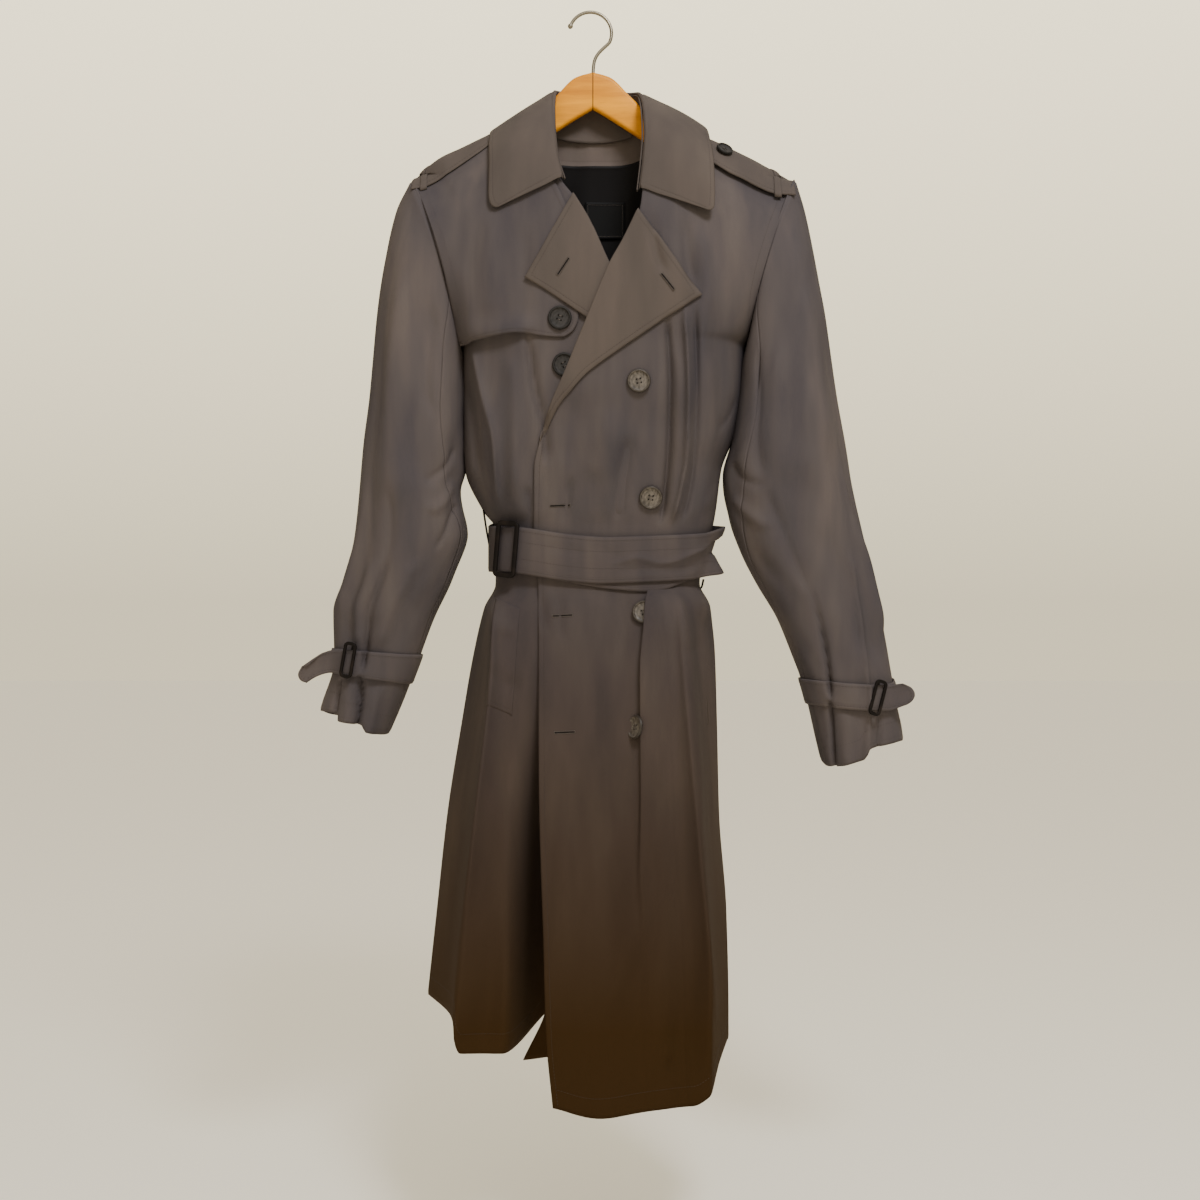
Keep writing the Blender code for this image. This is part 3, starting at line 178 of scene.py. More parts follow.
class Crease(NamedTuple):
    """A fold of the cloth along a line of (across, down) places. A negative rise is a trough."""

    line: tuple[Pair, ...]
    width: float
    first_rise: float
    last_rise: float
    fade: float = 0.2
    profile: Profile = Profile.SOFT

    def rise(self, across: Array, down: Array) -> Array:
        """The fold's height at any place.

        Args:
            across: Places across the cloth.
            down: Places down the cloth.

        Returns:
            The height, outward.
        """
        numbers = np.arange(len(self.line))
        fine = np.linspace(0, len(self.line) - 1, 4 * (len(self.line) - 1) + 1)
        line_x = Curve(numbers, [place[0] for place in self.line])(fine)
        line_y = Curve(numbers, [place[1] for place in self.line])(fine)
        reach = 3.2 * self.width
        total = np.zeros(np.broadcast(across, down).shape)
        across, down = np.broadcast_arrays(across, down)
        near = (across > line_x.min() - reach) & (across < line_x.max() + reach)
        near &= (down > line_y.min() - reach) & (down < line_y.max() + reach)
        if not near.any():
            return total
        x, y = across[near], down[near]
        best = np.full(x.shape, 1e9)
        away = np.zeros(x.shape)
        share = np.zeros(x.shape)
        for step in range(len(fine) - 1):
            run_x = line_x[step + 1] - line_x[step]
            run_y = line_y[step + 1] - line_y[step]
            length = math.hypot(run_x, run_y)
            part = ((x - line_x[step]) * run_x + (y - line_y[step]) * run_y) / length**2
            part = np.clip(part, 0.0, 1.0)
            off_x = x - line_x[step] - run_x * part
            off_y = y - line_y[step] - run_y * part
            distance = np.hypot(off_x, off_y)
            closer = distance < best
            best = np.where(closer, distance, best)
            away = np.where(closer, distance * np.sign(off_x * run_y - off_y * run_x), away)
            share = np.where(closer, (step + part) / (len(fine) - 1), share)
        height = self.first_rise + (self.last_rise - self.first_rise) * share
        height = height * ramp(share, 0.0, self.fade) * (1.0 - ramp(share, 1.0 - self.fade, 1.0))
        off = away / self.width
        if self.profile is Profile.SOFT:
            shape = np.exp(-off * off)
        elif self.profile is Profile.PINCHED:
            shape = np.exp(0.3 - np.sqrt(off * off * 3.2 + 0.09))
        else:
            shape = np.where(off > 0.0, np.exp(-off * off), np.exp(-((off * 3.5) ** 2)))
        total[near] = height * shape
        return total


@dataclass(frozen=True)
class Ripple:
    """The slight unevenness of hanging cloth: a few long waves, the same at every run."""

    seed: int
    height: float = 0.7
    across: float = 60.0
    down: float = 190.0
    waves: int = 14

    def rise(self, x: Array, drop: Array) -> Array:
        """The waves' height at any place.

        Args:
            x: Places across the cloth.
            drop: Places down the cloth.

        Returns:
            The height, outward.
        """
        chance = np.random.default_rng(self.seed)
        total = np.zeros(np.broadcast(x, drop).shape)
        for _ in range(self.waves):
            fine = chance.uniform(0.6, 2.2)
            slant = chance.uniform(-0.5, 0.5)
            phase = chance.uniform(0.0, 2.0 * math.pi)
            turn = fine * (x / self.across + slant * drop / self.down + drop / self.down)
            total = total + np.sin(2.0 * math.pi * turn + phase) / fine
        return total * self.height / math.sqrt(self.waves)


class Section(NamedTuple):
    """A level section of the body."""

    drop: float
    right_x: float
    left_x: float
    front_y: float
    back_y: float
    side_y: float
    wrap: float
    fullness: float


class Shoulder(NamedTuple):
    """A place on a shoulder's top line."""

    reach: float
    drop: float


class Armhole(NamedTuple):
    """The oval opening that a sleeve is sewn into."""

    tip_x: float
    tip_drop: float
    pit_x: float
    pit_drop: float
    front_y: float
    back_y: float


class Fall(NamedTuple):
    """How the cloth leaves the top of the shoulder: a tight turn and a long swell."""

    turn: float
    turn_length: float
    swell: float
    swell_length: float


class Fold(NamedTuple):
    """A straight fold of the body. A negative rise is a trough."""

    top_x: float
    top_drop: float
    low_x: float
    low_drop: float
    half_width: float
    top_rise: float
    low_rise: float


class Plane(NamedTuple):
    """How wide the skirt's side face is, seen from the front."""

    drop: float
    width: float


@dataclass
class Form:
    """The shape that the coat hangs in: the outer faces of its front and of its back."""

    right_shoulder: tuple[Shoulder, ...] = (Shoulder(62, 106), Shoulder(125, 152), Shoulder(211, 203))
    left_shoulder: tuple[Shoulder, ...] = (Shoulder(62, 104), Shoulder(139, 155), Shoulder(237, 203))
    right_armhole: Armhole = Armhole(-211, 203, -153.5, 392, -63, 38)
    left_armhole: Armhole = Armhole(237, 203, 180.5, 392, -63, 38)
    front_fall: Fall = Fall(10, 2.5, 65, 60)
    back_fall: Fall = Fall(10, 2.5, 34, 50)
    neck_reach: float = 62.0
    neck_dip: float = 32.0
    belt_press: tuple[float, float, float, float] = (586.0, 606.0, 678.0, 702.0)
    normal_step: float = 1.5
    sections: tuple[Section, ...] = (
        Section(203, -211, 237, -75, 42, 0, 45, 1.15),
        Section(300, -181, 207, -75, 42, 0, 55, 1.3),
        Section(392, -153.5, 180.5, -75, 42, 0, 85, 2.0),
        Section(450, -152, 175, -75, 42, -2, 95, 2.3),
        Section(503, -151, 165, -74, 41, -3, 95, 2.4),
        Section(538, -149, 152, -69, 39, -4, 90, 2.4),
        Section(588, -127, 145, -61, 36, -6, 85, 2.4),
        Section(608, -113, 141, -58, 35, -7, 80, 2.4),
        Section(672, -113, 125, -60, 35, -8, 80, 2.4),
        Section(700, -126, 138, -70, 43, -10, 82, 2.6),
        Section(756, -139, 144, -82, 45, -14, 88, 2.8),
        Section(833, -152, 146, -95, 46, -18, 95, 3.0),
        Section(937, -168, 148, -112, 47, -24, 100, 3.0),
        Section(1051, -180, 156, -128, 48, -30, 105, 3.0),
        Section(1159, -191, 158, -140, 49, -36, 108, 3.0),
        Section(1255, -200, 158, -150, 50, -40, 110, 3.0),
    )
    front_folds: tuple[Fold, ...] = (
        Fold(-116, 700, -150, 1190, 16, 3, 8),
        Fold(-92, 740, -112, 1150, 15, -3, -6),
        Fold(98, 690, 137, 1170, 16, 5, 9),
        Fold(36, 700, 28, 1000, 18, -3, -2),
        Fold(-10, 760, 4, 1240, 26, 1, 5),
        Fold(92, 760, 100, 1240, 18, -4, -7),
        Fold(101, 385, 88, 590, 14, -6, -3),
        Fold(124, 375, 110, 590, 14, 5, 4),
        Fold(-138, 396, -116, 525, 14, 6, 5),
        Fold(-100, 480, -78, 590, 16, 3, 5),
        Fold(24, 500, 30, 595, 16, 3, 4),
    )
    back_folds: tuple[Fold, ...] = (
        Fold(-62, 430, -40, 585, 16, 3, 7),
        Fold(74, 440, 52, 585, 16, 3, 7),
        Fold(-110, 400, -84, 560, 14, 5, 3),
        Fold(-88, 700, -122, 1165, 24, 4, 13),
        Fold(-48, 720, -62, 1165, 18, -2, -9),
        Fold(66, 700, 92, 1200, 24, 4, 13),
        Fold(118, 740, 132, 1200, 16, -2, -6),
    )
    front_creases: tuple[Crease, ...] = (
        Crease(((-140, 396), (-126, 457), (-111, 518), (-109, 596)), 8, 5.2, 4.0, 0.12, PINCHED),
        Crease(((-152, 430), (-138, 480), (-128, 560)), 7, -4.0, -3.0),
        Crease(((-76, 380), (-66, 452), (-55, 497), (-52, 540)), 7, -3.6, -3.0, 0.18, EDGE),
        Crease(((-92, 410), (-86, 480), (-90, 600)), 9, 1.6, 2.6),
        Crease(((-74, 560), (-70, 585), (-76, 612)), 5, -1.8, -2.4, 0.2, PINCHED),
        Crease(
            ((-113, 690), (-112, 760), (-118, 830), (-132, 960), (-148, 1100), (-151, 1180)),
            9, 2.6, 5.0, 0.06, PINCHED,
        ),
        Crease(((-124, 720), (-131, 830), (-148, 960), (-166, 1130)), 11, -2.0, -3.4, 0.12),
        Crease(((-116, 706), (-100, 722), (-82, 726)), 8, 1.3, 0.8, 0.3),
        Crease(((-118, 760), (-100, 784), (-76, 790)), 10, -1.5, -1.0, 0.3),
        Crease(((-98, 880), (-104, 980), (-122, 1090)), 13, 1.8, 2.6, 0.25),
    )
    left_creases: tuple[Crease, ...] = (
        Crease(((85, 366), (88.6, 443), (87.5, 511), (83, 567), (77, 618)), 4.4, -5.0, -4.4, 0.08, PINCHED),
        Crease(((104, 350), (108, 465), (107, 522), (101, 561), (88, 616)), 5.6, 5.0, 4.2, 0.08, PINCHED),
        Crease(((95, 392), (98, 460), (95, 540), (84, 612)), 5.0, 1.4, 1.2),
        Crease(((116, 350), (118, 470), (115, 540), (101, 610)), 5.6, -4.2, -3.4, 0.12, PINCHED),
        Crease(((64, 250), (72, 296), (84, 330)), 5.0, -2.0, -2.0, 0.3),
        Crease(((104, 250), (108, 300), (118, 345)), 6.0, -2.2, -2.4, 0.3),
        Crease(((122, 258), (130, 320), (134, 380)), 8.0, 1.8, 2.0, 0.3),
        Crease(((134, 400), (137, 500), (126, 600)), 9, 2.0, 2.6),
        Crease(((168, 452), (158, 480), (142, 498)), 6, -3.0, -2.0, 0.25, PINCHED),
        Crease(((172, 492), (158, 522), (140, 548)), 7, -3.0, -2.4, 0.25, PINCHED),
        Crease(((160, 540), (146, 566), (126, 590)), 6, 2.4, 2.0, 0.25),
        Crease(((-24, 548), (-29, 585), (-33, 616)), 5, -2.2, -2.4, 0.2, PINCHED),
        Crease(((22, 470), (12, 520), (-2, 560)), 13, 2.0, 1.6, 0.3),
        Crease(((44, 500), (34, 560), (30, 612)), 8, -2.0, -2.6),
        Crease(((-12, 450), (-26, 500), (-30, 540)), 11, -1.8, -1.2, 0.3),
        Crease(((-60, 664), (-56, 700), (-50, 730)), 6, -2.0, -1.2),
        Crease(((-32, 676), (-36, 706), (-30, 740)), 5, -1.8, -1.0, 0.25, PINCHED),
        Crease(((97, 684), (104, 789), (111, 871), (122, 1004), (139, 1163)), 8, 3.0, 5.0, 0.05, PINCHED),
        Crease(((116, 720), (124, 800), (134, 960), (152, 1120)), 10, -2.6, -3.6, 0.12),
        Crease(((100, 756), (116, 746), (134, 742)), 7, -1.6, -1.4, 0.3),
        Crease(((80, 700), (84, 760), (88, 840)), 9, 1.5, 1.2, 0.3),
        Crease(((66, 950), (70, 1040), (50, 1130)), 12, -2.2, -1.8, 0.3),
        Crease(((58, 1020), (34, 1090), (14, 1150)), 14, 2.4, 2.0, 0.3),
        Crease(((76, 1178), (88, 1190), (84, 1206)), 5, 2.0, -2.0, 0.25),
        Crease(((-34, 900), (-30, 1000), (-36, 1120)), 15, 1.6, 1.4, 0.3),
    )
    back_creases: tuple[Crease, ...] = (
        Crease(((-128, 250), (-122, 340), (-130, 420)), 10, 2.6, 3.2),
        Crease(((148, 250), (142, 330), (146, 430)), 10, 2.8, 3.0),
        Crease(((-92, 470), (-74, 540), (-66, 612)), 7, -3.2, -4.0, 0.15, PINCHED),
        Crease(((-30, 500), (-24, 560), (-22, 614)), 8, 2.4, 3.0),
        Crease(((34, 520), (30, 570), (26, 614)), 6, -2.2, -3.2, 0.2, PINCHED),
        Crease(((96, 460), (82, 540), (74, 612)), 7, -3.0, -4.2, 0.15, PINCHED),
        Crease(((124, 500), (112, 560), (104, 610)), 8, 2.4, 2.8),
        Crease(((-122, 690), (-132, 820), (-150, 1000), (-160, 1160)), 9, 2.4, 4.0, 0.08, PINCHED),
        Crease(((-24, 690), (-30, 800), (-38, 960)), 10, 2.0, 1.4),
        Crease(((36, 690), (46, 800), (58, 1000), (60, 1180)), 11, -2.4, -3.4, 0.15),
        Crease(((104, 690), (110, 840), (122, 1000), (128, 1170)), 9, 2.6, 4.4, 0.1, PINCHED),
        Crease(((-74, 700), (-70, 740), (-76, 800)), 6, -2.2, -1.4, 0.25),
    )
    crease_gain: float = 2.3
    armhole_bow: float = 8.0
    right_planes: tuple[Plane, ...] = (
        Plane(690, 14), Plane(760, 26), Plane(818, 33), Plane(1001, 40), Plane(1180, 43),
    )
    left_planes: tuple[Plane, ...] = (Plane(690, 42), Plane(771, 37), Plane(915, 28), Plane(1007, 28))
    plane_corner: float = 0.004
    plane_span: Pair = (688.0, 730.0)
    front_ripple: Ripple = Ripple(11, 0.75)
    back_ripple: Ripple = Ripple(23, 0.85)

    def __post_init__(self) -> None:
        """Make the curves of the tables."""
        self.body = Table(self.sections, "drop")
        self.left_plane = Table(self.left_planes, "drop")
        self.right_plane = Table(self.right_planes, "drop")
        self.right_line = Table(self.right_shoulder, "reach")
        self.left_line = Table(self.left_shoulder, "reach")

    def shoulder_drop(self, x: Array) -> Array:
        """Drop of the shoulders' top line, level across the neck."""
        reach = np.abs(x)
        right, left = self.right_line.at("drop", reach), self.left_line.at("drop", reach)
        return np.where(np.asarray(x) < 0, right, left)

    def back_neck_drop(self, x: Array) -> Array:
        """Drop of the back's top edge, with the scoop of the neck."""
        share = np.minimum(np.abs(x) / self.neck_reach, 1.0)
        return self.shoulder_drop(x) + self.neck_dip * (1.0 - share**2.2)

    def side_x(self, side: Side, drop: Array) -> Array:
        """X of a side edge: the armhole, then the side seam.

        Args:
            side: Which side.
            drop: Places down it.

        Returns:
            X there.
        """
        hole = self.right_armhole if side is Side.RIGHT else self.left_armhole
        share = np.maximum((drop - hole.tip_drop) / (hole.pit_drop - hole.tip_drop), 0.0)
        seam = self.body.at("right_x" if side is Side.RIGHT else "left_x", drop)
        bow = 4.0 * self.armhole_bow * share * (1.0 - share) * side.value
        return np.where(drop >= hole.pit_drop, seam, hole.tip_x + (hole.pit_x - hole.tip_x) * share - bow)

    def side_y(self, side: Side, drop: Array, back: bool) -> Array:
        """Y of a side edge.

        Args:
            side: Which side.
            drop: Places down it.
            back: Whether the panel is the back's.

        Returns:
            Y there.
        """
        hole = self.right_armhole if side is Side.RIGHT else self.left_armhole
        share = np.maximum((drop - hole.tip_drop) / (hole.pit_drop - hole.tip_drop), 0.0)
        round_edge = np.sqrt(np.maximum(1.0 - (1.0 - 2.0 * share) ** 2, 0.0))
        depth = hole.back_y if back else hole.front_y
        return np.where(drop >= hole.pit_drop, self.body.at("side_y", drop), depth * round_edge)

    def freedom(self, drop: Array) -> Array:
        """How free the folds are, from 0 under the belt to 1."""
        above, belt_top, belt_end, below = self.belt_press
        return 1.0 - ramp(drop, above, belt_top) + ramp(drop, belt_end, below)

    def rise(self, x: Array, drop: Array, back: bool, left: bool) -> Array:
        """Height of the folds, creases and ripples.

        Args:
            x: Places across.
            drop: Places down.
            back: Whether on the back.
            left: Whether the left front's own creases count.

        Returns:
            The height, outward.
        """
        folds = self.back_folds if back else self.front_folds
        total = np.zeros(np.broadcast(x, drop).shape)
        for fold in folds:
            run_x = fold.low_x - fold.top_x
            run_drop = fold.low_drop - fold.top_drop
            share = ((x - fold.top_x) * run_x + (drop - fold.top_drop) * run_drop) / (run_x**2 + run_drop**2)
            share = np.clip(share, 0.0, 1.0)
            away_x = x - fold.top_x - run_x * share
            away_drop = drop - fold.top_drop - run_drop * share
            away = (away_x**2 + (0.5 * away_drop) ** 2) / fold.half_width**2
            total = total + (fold.top_rise + (fold.low_rise - fold.top_rise) * share) * np.exp(-away)
        creases = self.back_creases if back else self.front_creases
        if left:
            creases = creases + self.left_creases
        for crease in creases:
            total = total + self.crease_gain * crease.rise(x, drop)
        ripple = self.back_ripple if back else self.front_ripple
        return (total + ripple.rise(x, drop)) * self.freedom(drop)

    def face_y(self, x: Array, drop: Array, back: bool, left: bool, bare: bool = False) -> Array:
        """Y of the coat's outer face.

        Args:
            x: Places across.
            drop: Places down.
            back: Whether on the back.
            left: Whether the left front's own creases count.
            bare: Whether to leave out the folds and creases.

        Returns:
            Y at each place.
        """
        x, drop = np.broadcast_arrays(np.asarray(x, float), np.asarray(drop, float))
        rule = self.back_fall if back else self.front_fall
        full = self.body.at("back_y" if back else "front_y", drop)
        down = np.maximum(drop - self.shoulder_drop(x), 0.0)
        hung = rule.turn * (1.0 - np.exp(-down / rule.turn_length))
        hung = hung + rule.swell * (1.0 - np.exp(-down / rule.swell_length))
        hung = hung * full / (rule.turn + rule.swell)
        on_right = x < 0
        start = np.where(on_right, self.side_y(Side.RIGHT, drop, back), self.side_y(Side.LEFT, drop, back))
        edge = np.where(on_right, x - self.side_x(Side.RIGHT, drop), self.side_x(Side.LEFT, drop) - x)
        reach = np.clip(edge / self.body.at("wrap", drop), 0.0, 1.0)
        fullness = self.body.at("fullness", drop)
        turned = (1.0 - (1.0 - reach) ** fullness) ** (1.0 / fullness)
        if not back:
            width = np.where(on_right, self.right_plane.at("width", drop), self.left_plane.at("width", drop))
            plane = edge / width
            plane = 0.5 * (plane + 1.0 - np.sqrt((plane - 1.0) ** 2 + self.plane_corner))
            turned = turned + (plane - turned) * ramp(drop, *self.plane_span)
        outward = 0.0 if bare else self.rise(x, drop, back, left) * turned
        return start + (hung - start) * turned + (outward if back else -outward)


@dataclass
class Face:
    """One face of the coat, as a surface that pieces are laid on."""

    form: Form
    back: bool = False
    left: bool = False
    lift_rule: Optional[Rule] = None
    sink_rule: Optional[Rule] = None

    def y(self, x: Array, drop: Array) -> Array:
        """Y of the bare face."""
        return self.form.face_y(x, drop, self.back, self.left)

    def out(self, x: Array, drop: Array) -> Array:
        """The outward direction of the smooth face at each place.

        Args:
            x: Places across.
            drop: Places down.

        Returns:
            Unit vectors.
        """
        step, form = self.form.normal_step, self.form
        ahead, behind, below, above = (
            form.face_y(x + a, drop + b, self.back, self.left, True)
            for a, b in ((step, 0.0), (-step, 0.0), (0.0, step), (0.0, -step))
        )
        across, down = (ahead - behind) / (2 * step), (below - above) / (2 * step)
        out = unit(np.stack([across, -np.ones_like(across), -down], axis=-1))
        return -out if self.back else out

    def lay(self, x: Array, drop: Array, lift: Array = 0.0) -> Array:
        """Points at a height above the face, with any layer rule added.

        Args:
            x: Places across.
            drop: Places down.
            lift: Height above the face.

        Returns:
            Points, with Z up.
        """
        x, drop = np.broadcast_arrays(np.asarray(x, float), np.asarray(drop, float))
        points = np.stack([x, self.y(x, drop), -drop], axis=-1)
        if self.lift_rule:
            lift = lift + self.lift_rule(x, drop)
        points = points + self.out(x, drop) * np.broadcast_to(lift, x.shape)[..., None]
        if self.sink_rule:
            points[..., 1] += self.sink_rule(x, drop)
        return points


def overlap_lift(x: Array, drop: Array) -> Array:
    """Height of the left front above the right one."""
    chest = 6.0 * (1.0 - ramp(drop, 440, 500))
    return (3.8 + chest) * ramp(drop, 170, 250) * (1.0 - ramp(x, 84, 150))


def vent_lift(x: Array, drop: Array) -> Array:
    """Height of the left back above the right one, along the vent."""
    return 3.6 * ramp(drop, 672, 740) * (1.0 - ramp(x, 44, 84))


def recess(x: Array, drop: Array) -> Array:
    """How far the right front falls back under the left one, below the belt."""
    return 216.0 * ramp(drop, 740, 1310) * ramp(x, -96, -42)


class Nodes:
    """A tree of shading nodes, with short words for them."""

    def __init__(self, tree: bpy.types.NodeTree) -> None:
        """Take the tree that the nodes go into."""
        self.tree = tree

    def node(self, kind: str, inputs: dict, **settings: object) -> bpy.types.Node:
        """Add a node.

        Args:
            kind: The node's type.
            inputs: Constants or sockets, by input name or number.
            settings: The node's own settings.

        Returns:
            The node.
        """
        made = self.tree.nodes.new(kind)
        for word, value in settings.items():
            setattr(made, word, value)
        for name, value in inputs.items():
            if isinstance(value, Socket):
                self.tree.links.new(value, made.inputs[name])
            else:
                made.inputs[name].default_value = value
        return made

    def math(self, operation: str, *values: object) -> Socket:
        """The result of a sum on numbers or sockets."""
        return self.node("ShaderNodeMath", dict(enumerate(values)), operation=operation).outputs[0]

    def spread(
        self, value: Socket, low: float, high: float, first: float = 0.0, last: float = 1.0
    ) -> Socket:
        """A value stretched so that low is the first number and high the last."""
        sizes = {"Value": value, "From Min": low, "From Max": high, "To Min": first, "To Max": last}
        return self.node("ShaderNodeMapRange", sizes).outputs[0]

    def blend(self, share: object, first: object, second: object) -> Socket:
        """Two colours mixed by a share.

        Args:
            share: How much of the second colour.
            first: A colour or a socket.
            second: A colour or a socket.

        Returns:
            The mixed colour.
        """
        colours = [(*c, 1.0) if isinstance(c, tuple) else c for c in (first, second)]
        made = self.node("ShaderNodeMix", {0: share, 6: colours[0], 7: colours[1]}, data_type="RGBA")
        return made.outputs[2]


class Shader(Nodes):
    """A material in the making."""

    def __init__(self, name: str, colour: Triple, roughness: float, metallic: float = 0.0) -> None:
        """Start a plain material.

        Args:
            name: The material's name.
            colour: Its base colour.
            roughness: Its roughness.
            metallic: 1 for bare metal.
        """
        self.material = bpy.data.materials.new(name)
        self.material.use_nodes = True
        super().__init__(self.material.node_tree)
        self.surface = self.tree.nodes["Principled BSDF"]
        self.set("Base Color", (*colour, 1.0))
        self.set("Roughness", roughness)
        self.set("Metallic", metallic)

    def set(self, socket: str, value: object) -> None:
        """Set a constant on the surface."""
        self.surface.inputs[socket].default_value = value

    def grain(self, scale: float, detail: float, stretch: Triple = (1, 1, 1)) -> Socket:
        """Soft noise over the object.

        Args:
            scale: How fine it is, per metre.
            detail: How many finer layers it has.
            stretch: How it is drawn out along each axis.

        Returns:
            The noise, from 0 to 1.
        """
        place = self.node("ShaderNodeTexCoord", {}).outputs["Object"]
        placed = self.node("ShaderNodeMapping", {"Vector": place, "Scale": stretch}).outputs[0]
        sizes = {"Vector": placed, "Scale": scale, "Detail": detail}
        return self.node("ShaderNodeTexNoise", sizes).outputs["Fac"]

    def colour(self, socket: Socket) -> None:
        """Colour the surface by a socket."""
        self.tree.links.new(socket, self.surface.inputs["Base Color"])

    def relief(self, height: Socket, distance: float, strength: float = 1.0) -> None:
        """Raise the surface by a height, in millimetres."""
        sizes = {"Height": height, "Distance": distance * MM, "Strength": strength}
        bump = self.node("ShaderNodeBump", sizes)
        self.tree.links.new(bump.outputs[0], self.surface.inputs["Normal"])


class Finish:
    """A finish that is made once and shared by its pieces."""

    made: dict = {}

    def make(self) -> bpy.types.Material:
        """Make the material."""
        raise NotImplementedError

    def material(self) -> bpy.types.Material:
        """The finish's material."""
        if self not in Finish.made:
            Finish.made[self] = self.make()
        return Finish.made[self]


@dataclass(frozen=True)
class Gabardine(Finish):
    """Closely woven twill, a little worn, with the furrow that topstitching pulls in it; painted shade darkens
    that furrow and darkens and browns the cloth towards the hem.
    """

    name: str = "taupe_gabardine"
    colour: Triple = (0.075, 0.065, 0.066)
    worn: Triple = (0.099, 0.083, 0.078)
    dusk: Triple = (0.055, 0.049, 0.054)
    # Painted shade: the low colour darkens and browns the cloth towards the hem, standing in for light that
    # falls off downward.
    low: Triple = (0.034, 0.018, 0.006)
    browning: float = 1.0
    brown_from: float = -0.58
    brown_to: float = -1.16
    roughness: float = 0.82
    wale: float = 0.62
    seam: float = 6.0

    def make(self) -> bpy.types.Material:
        """Twill lines along the cloth's own directions, faint mottling, seam furrows with painted shade in them
        and painted shade towards the hem.
        """
        shader = Shader(self.name, self.colour, self.roughness)
        shader.set("Specular IOR Level", 0.05)
        weave = shader.node("ShaderNodeUVMap", {}, uv_map="weave").outputs[0]
        turn = 2.0 * math.pi / (self.wale * MM)
        slant = (turn * 0.5, turn * 0.87, 0.0)
        along = shader.node("ShaderNodeVectorMath", {0: weave, 1: slant}, operation="DOT_PRODUCT")
        twill = shader.math("SINE", along.outputs["Value"])
        clouds = shader.grain(16.0, 3.0, (1.0, 1.0, 0.22))
        streaks = shader.grain(70.0, 2.0, (1.0, 1.0, 0.10))
        slubs = shader.grain(420.0, 2.0, (1.0, 1.0, 0.25))
        fuzz = shader.grain(1500.0, 2.0)
        tone = shader.blend(shader.spread(clouds, 0.36, 0.64), self.dusk, self.worn)
        tone = shader.blend(shader.math("MULTIPLY", shader.spread(streaks, 0.45, 0.7), 0.3), tone, self.dusk)
        tone = shader.blend(shader.math("MULTIPLY", shader.spread(slubs, 0.3, 0.7), 0.18), tone, self.colour)
        edge = shader.node("ShaderNodeAttribute", {}, attribute_name="edge").outputs["Fac"]
        off = shader.math("ABSOLUTE", shader.math("SUBTRACT", edge, self.seam))
        furrow = shader.math("SUBTRACT", 1.0, shader.spread(off, 0.0, 1.5))
        # Painted shade: the colour darkens along the topstitching furrow, where shade falls in it.
        tone = shader.blend(shader.math("MULTIPLY", furrow, 0.09), tone, (0.05, 0.04, 0.036))
        # Painted shade: darker and browner towards the hem, by height, where less light falls.
        if self.browning:
            place = shader.node("ShaderNodeTexCoord", {}).outputs["Object"]
            up = shader.node("ShaderNodeSeparateXYZ", {0: place}).outputs["Z"]
            brown = shader.math("MULTIPLY", shader.spread(up, self.brown_from, self.brown_to), self.browning)
            tone = shader.blend(brown, tone, self.low)
        shader.colour(tone)
        height = shader.math("MULTIPLY", twill, 0.04)
        height = shader.math("ADD", height, shader.math("MULTIPLY", fuzz, 0.05))
        height = shader.math("ADD", height, shader.math("MULTIPLY", slubs, 0.10))
        height = shader.math("SUBTRACT", height, shader.math("MULTIPLY", furrow, 0.12))
        shader.relief(height, 1.0, 0.7)
        return shader.material


@dataclass(frozen=True)
class Satin(Finish):
    """Smooth black lining with a soft shine, darkened past its own black as painted shade inside the neck."""

    name: str = "black_lining"
    # Painted shade: the lining's own black, made darker still for the shade inside the neck.
    colour: Triple = (0.005, 0.0042, 0.0045)
    roughness: float = 0.55

    def make(self) -> bpy.types.Material:
        """A dark, smooth weave with fine crosswise lines."""
        shader = Shader(self.name, self.colour, self.roughness)
        shader.set("Specular IOR Level", 0.12)
        shader.relief(shader.grain(900.0, 1.0, (0.15, 1.0, 1.0)), 0.05)
        return shader.material


@dataclass(frozen=True)
class Horn(Finish):
    """Polished button horn, grey-olive in the middle, with painted shade that darkens it at the rim."""

    name: str = "mottled_horn"
    colour: Triple = (0.045, 0.038, 0.031)
    pale: Triple = (0.135, 0.118, 0.098)
    # Painted shade: the rim's darker tone, for the shade that the raised rim casts in the dish.
    dark: Triple = (0.030, 0.024, 0.019)
    roughness: float = 0.45
    coat: float = 0.12

    def make(self) -> bpy.types.Material:
        """Clouded streaks, with the rim's attribute laying the painted shade."""
        shader = Shader(self.name, self.colour, self.roughness)
        shader.set("Coat Weight", self.coat)
        shader.set("Coat Roughness", 0.3)
        shader.set("Specular IOR Level", 0.25)
        streaks = shader.grain(420.0, 5.0, (1.0, 0.6, 0.6))
        tone = shader.blend(shader.spread(streaks, 0.35, 0.65), self.colour, self.pale)
        rim = shader.node("ShaderNodeAttribute", {}, attribute_name="rim").outputs["Fac"]
        shader.colour(shader.blend(rim, tone, self.dark))
        shader.relief(streaks, 0.15)
        return shader.material


@dataclass(frozen=True)
class Leather(Finish):
    """Dark brown leather, stretched over a buckle's frame."""

    name: str = "dark_leather"
    colour: Triple = (0.007, 0.0055, 0.005)
    worn: Triple = (0.020, 0.014, 0.011)
    roughness: float = 0.5

    def make(self) -> bpy.types.Material:
        """Fine grain and slight wear."""
        shader = Shader(self.name, self.colour, self.roughness)
        shader.set("Specular IOR Level", 0.1)
        wear = shader.grain(60.0, 4.0)
        shader.colour(shader.blend(shader.spread(wear, 0.5, 0.8), self.colour, self.worn))
        cells = shader.grain(1800.0, 1.0)
        shader.relief(cells, 0.12)
        return shader.material


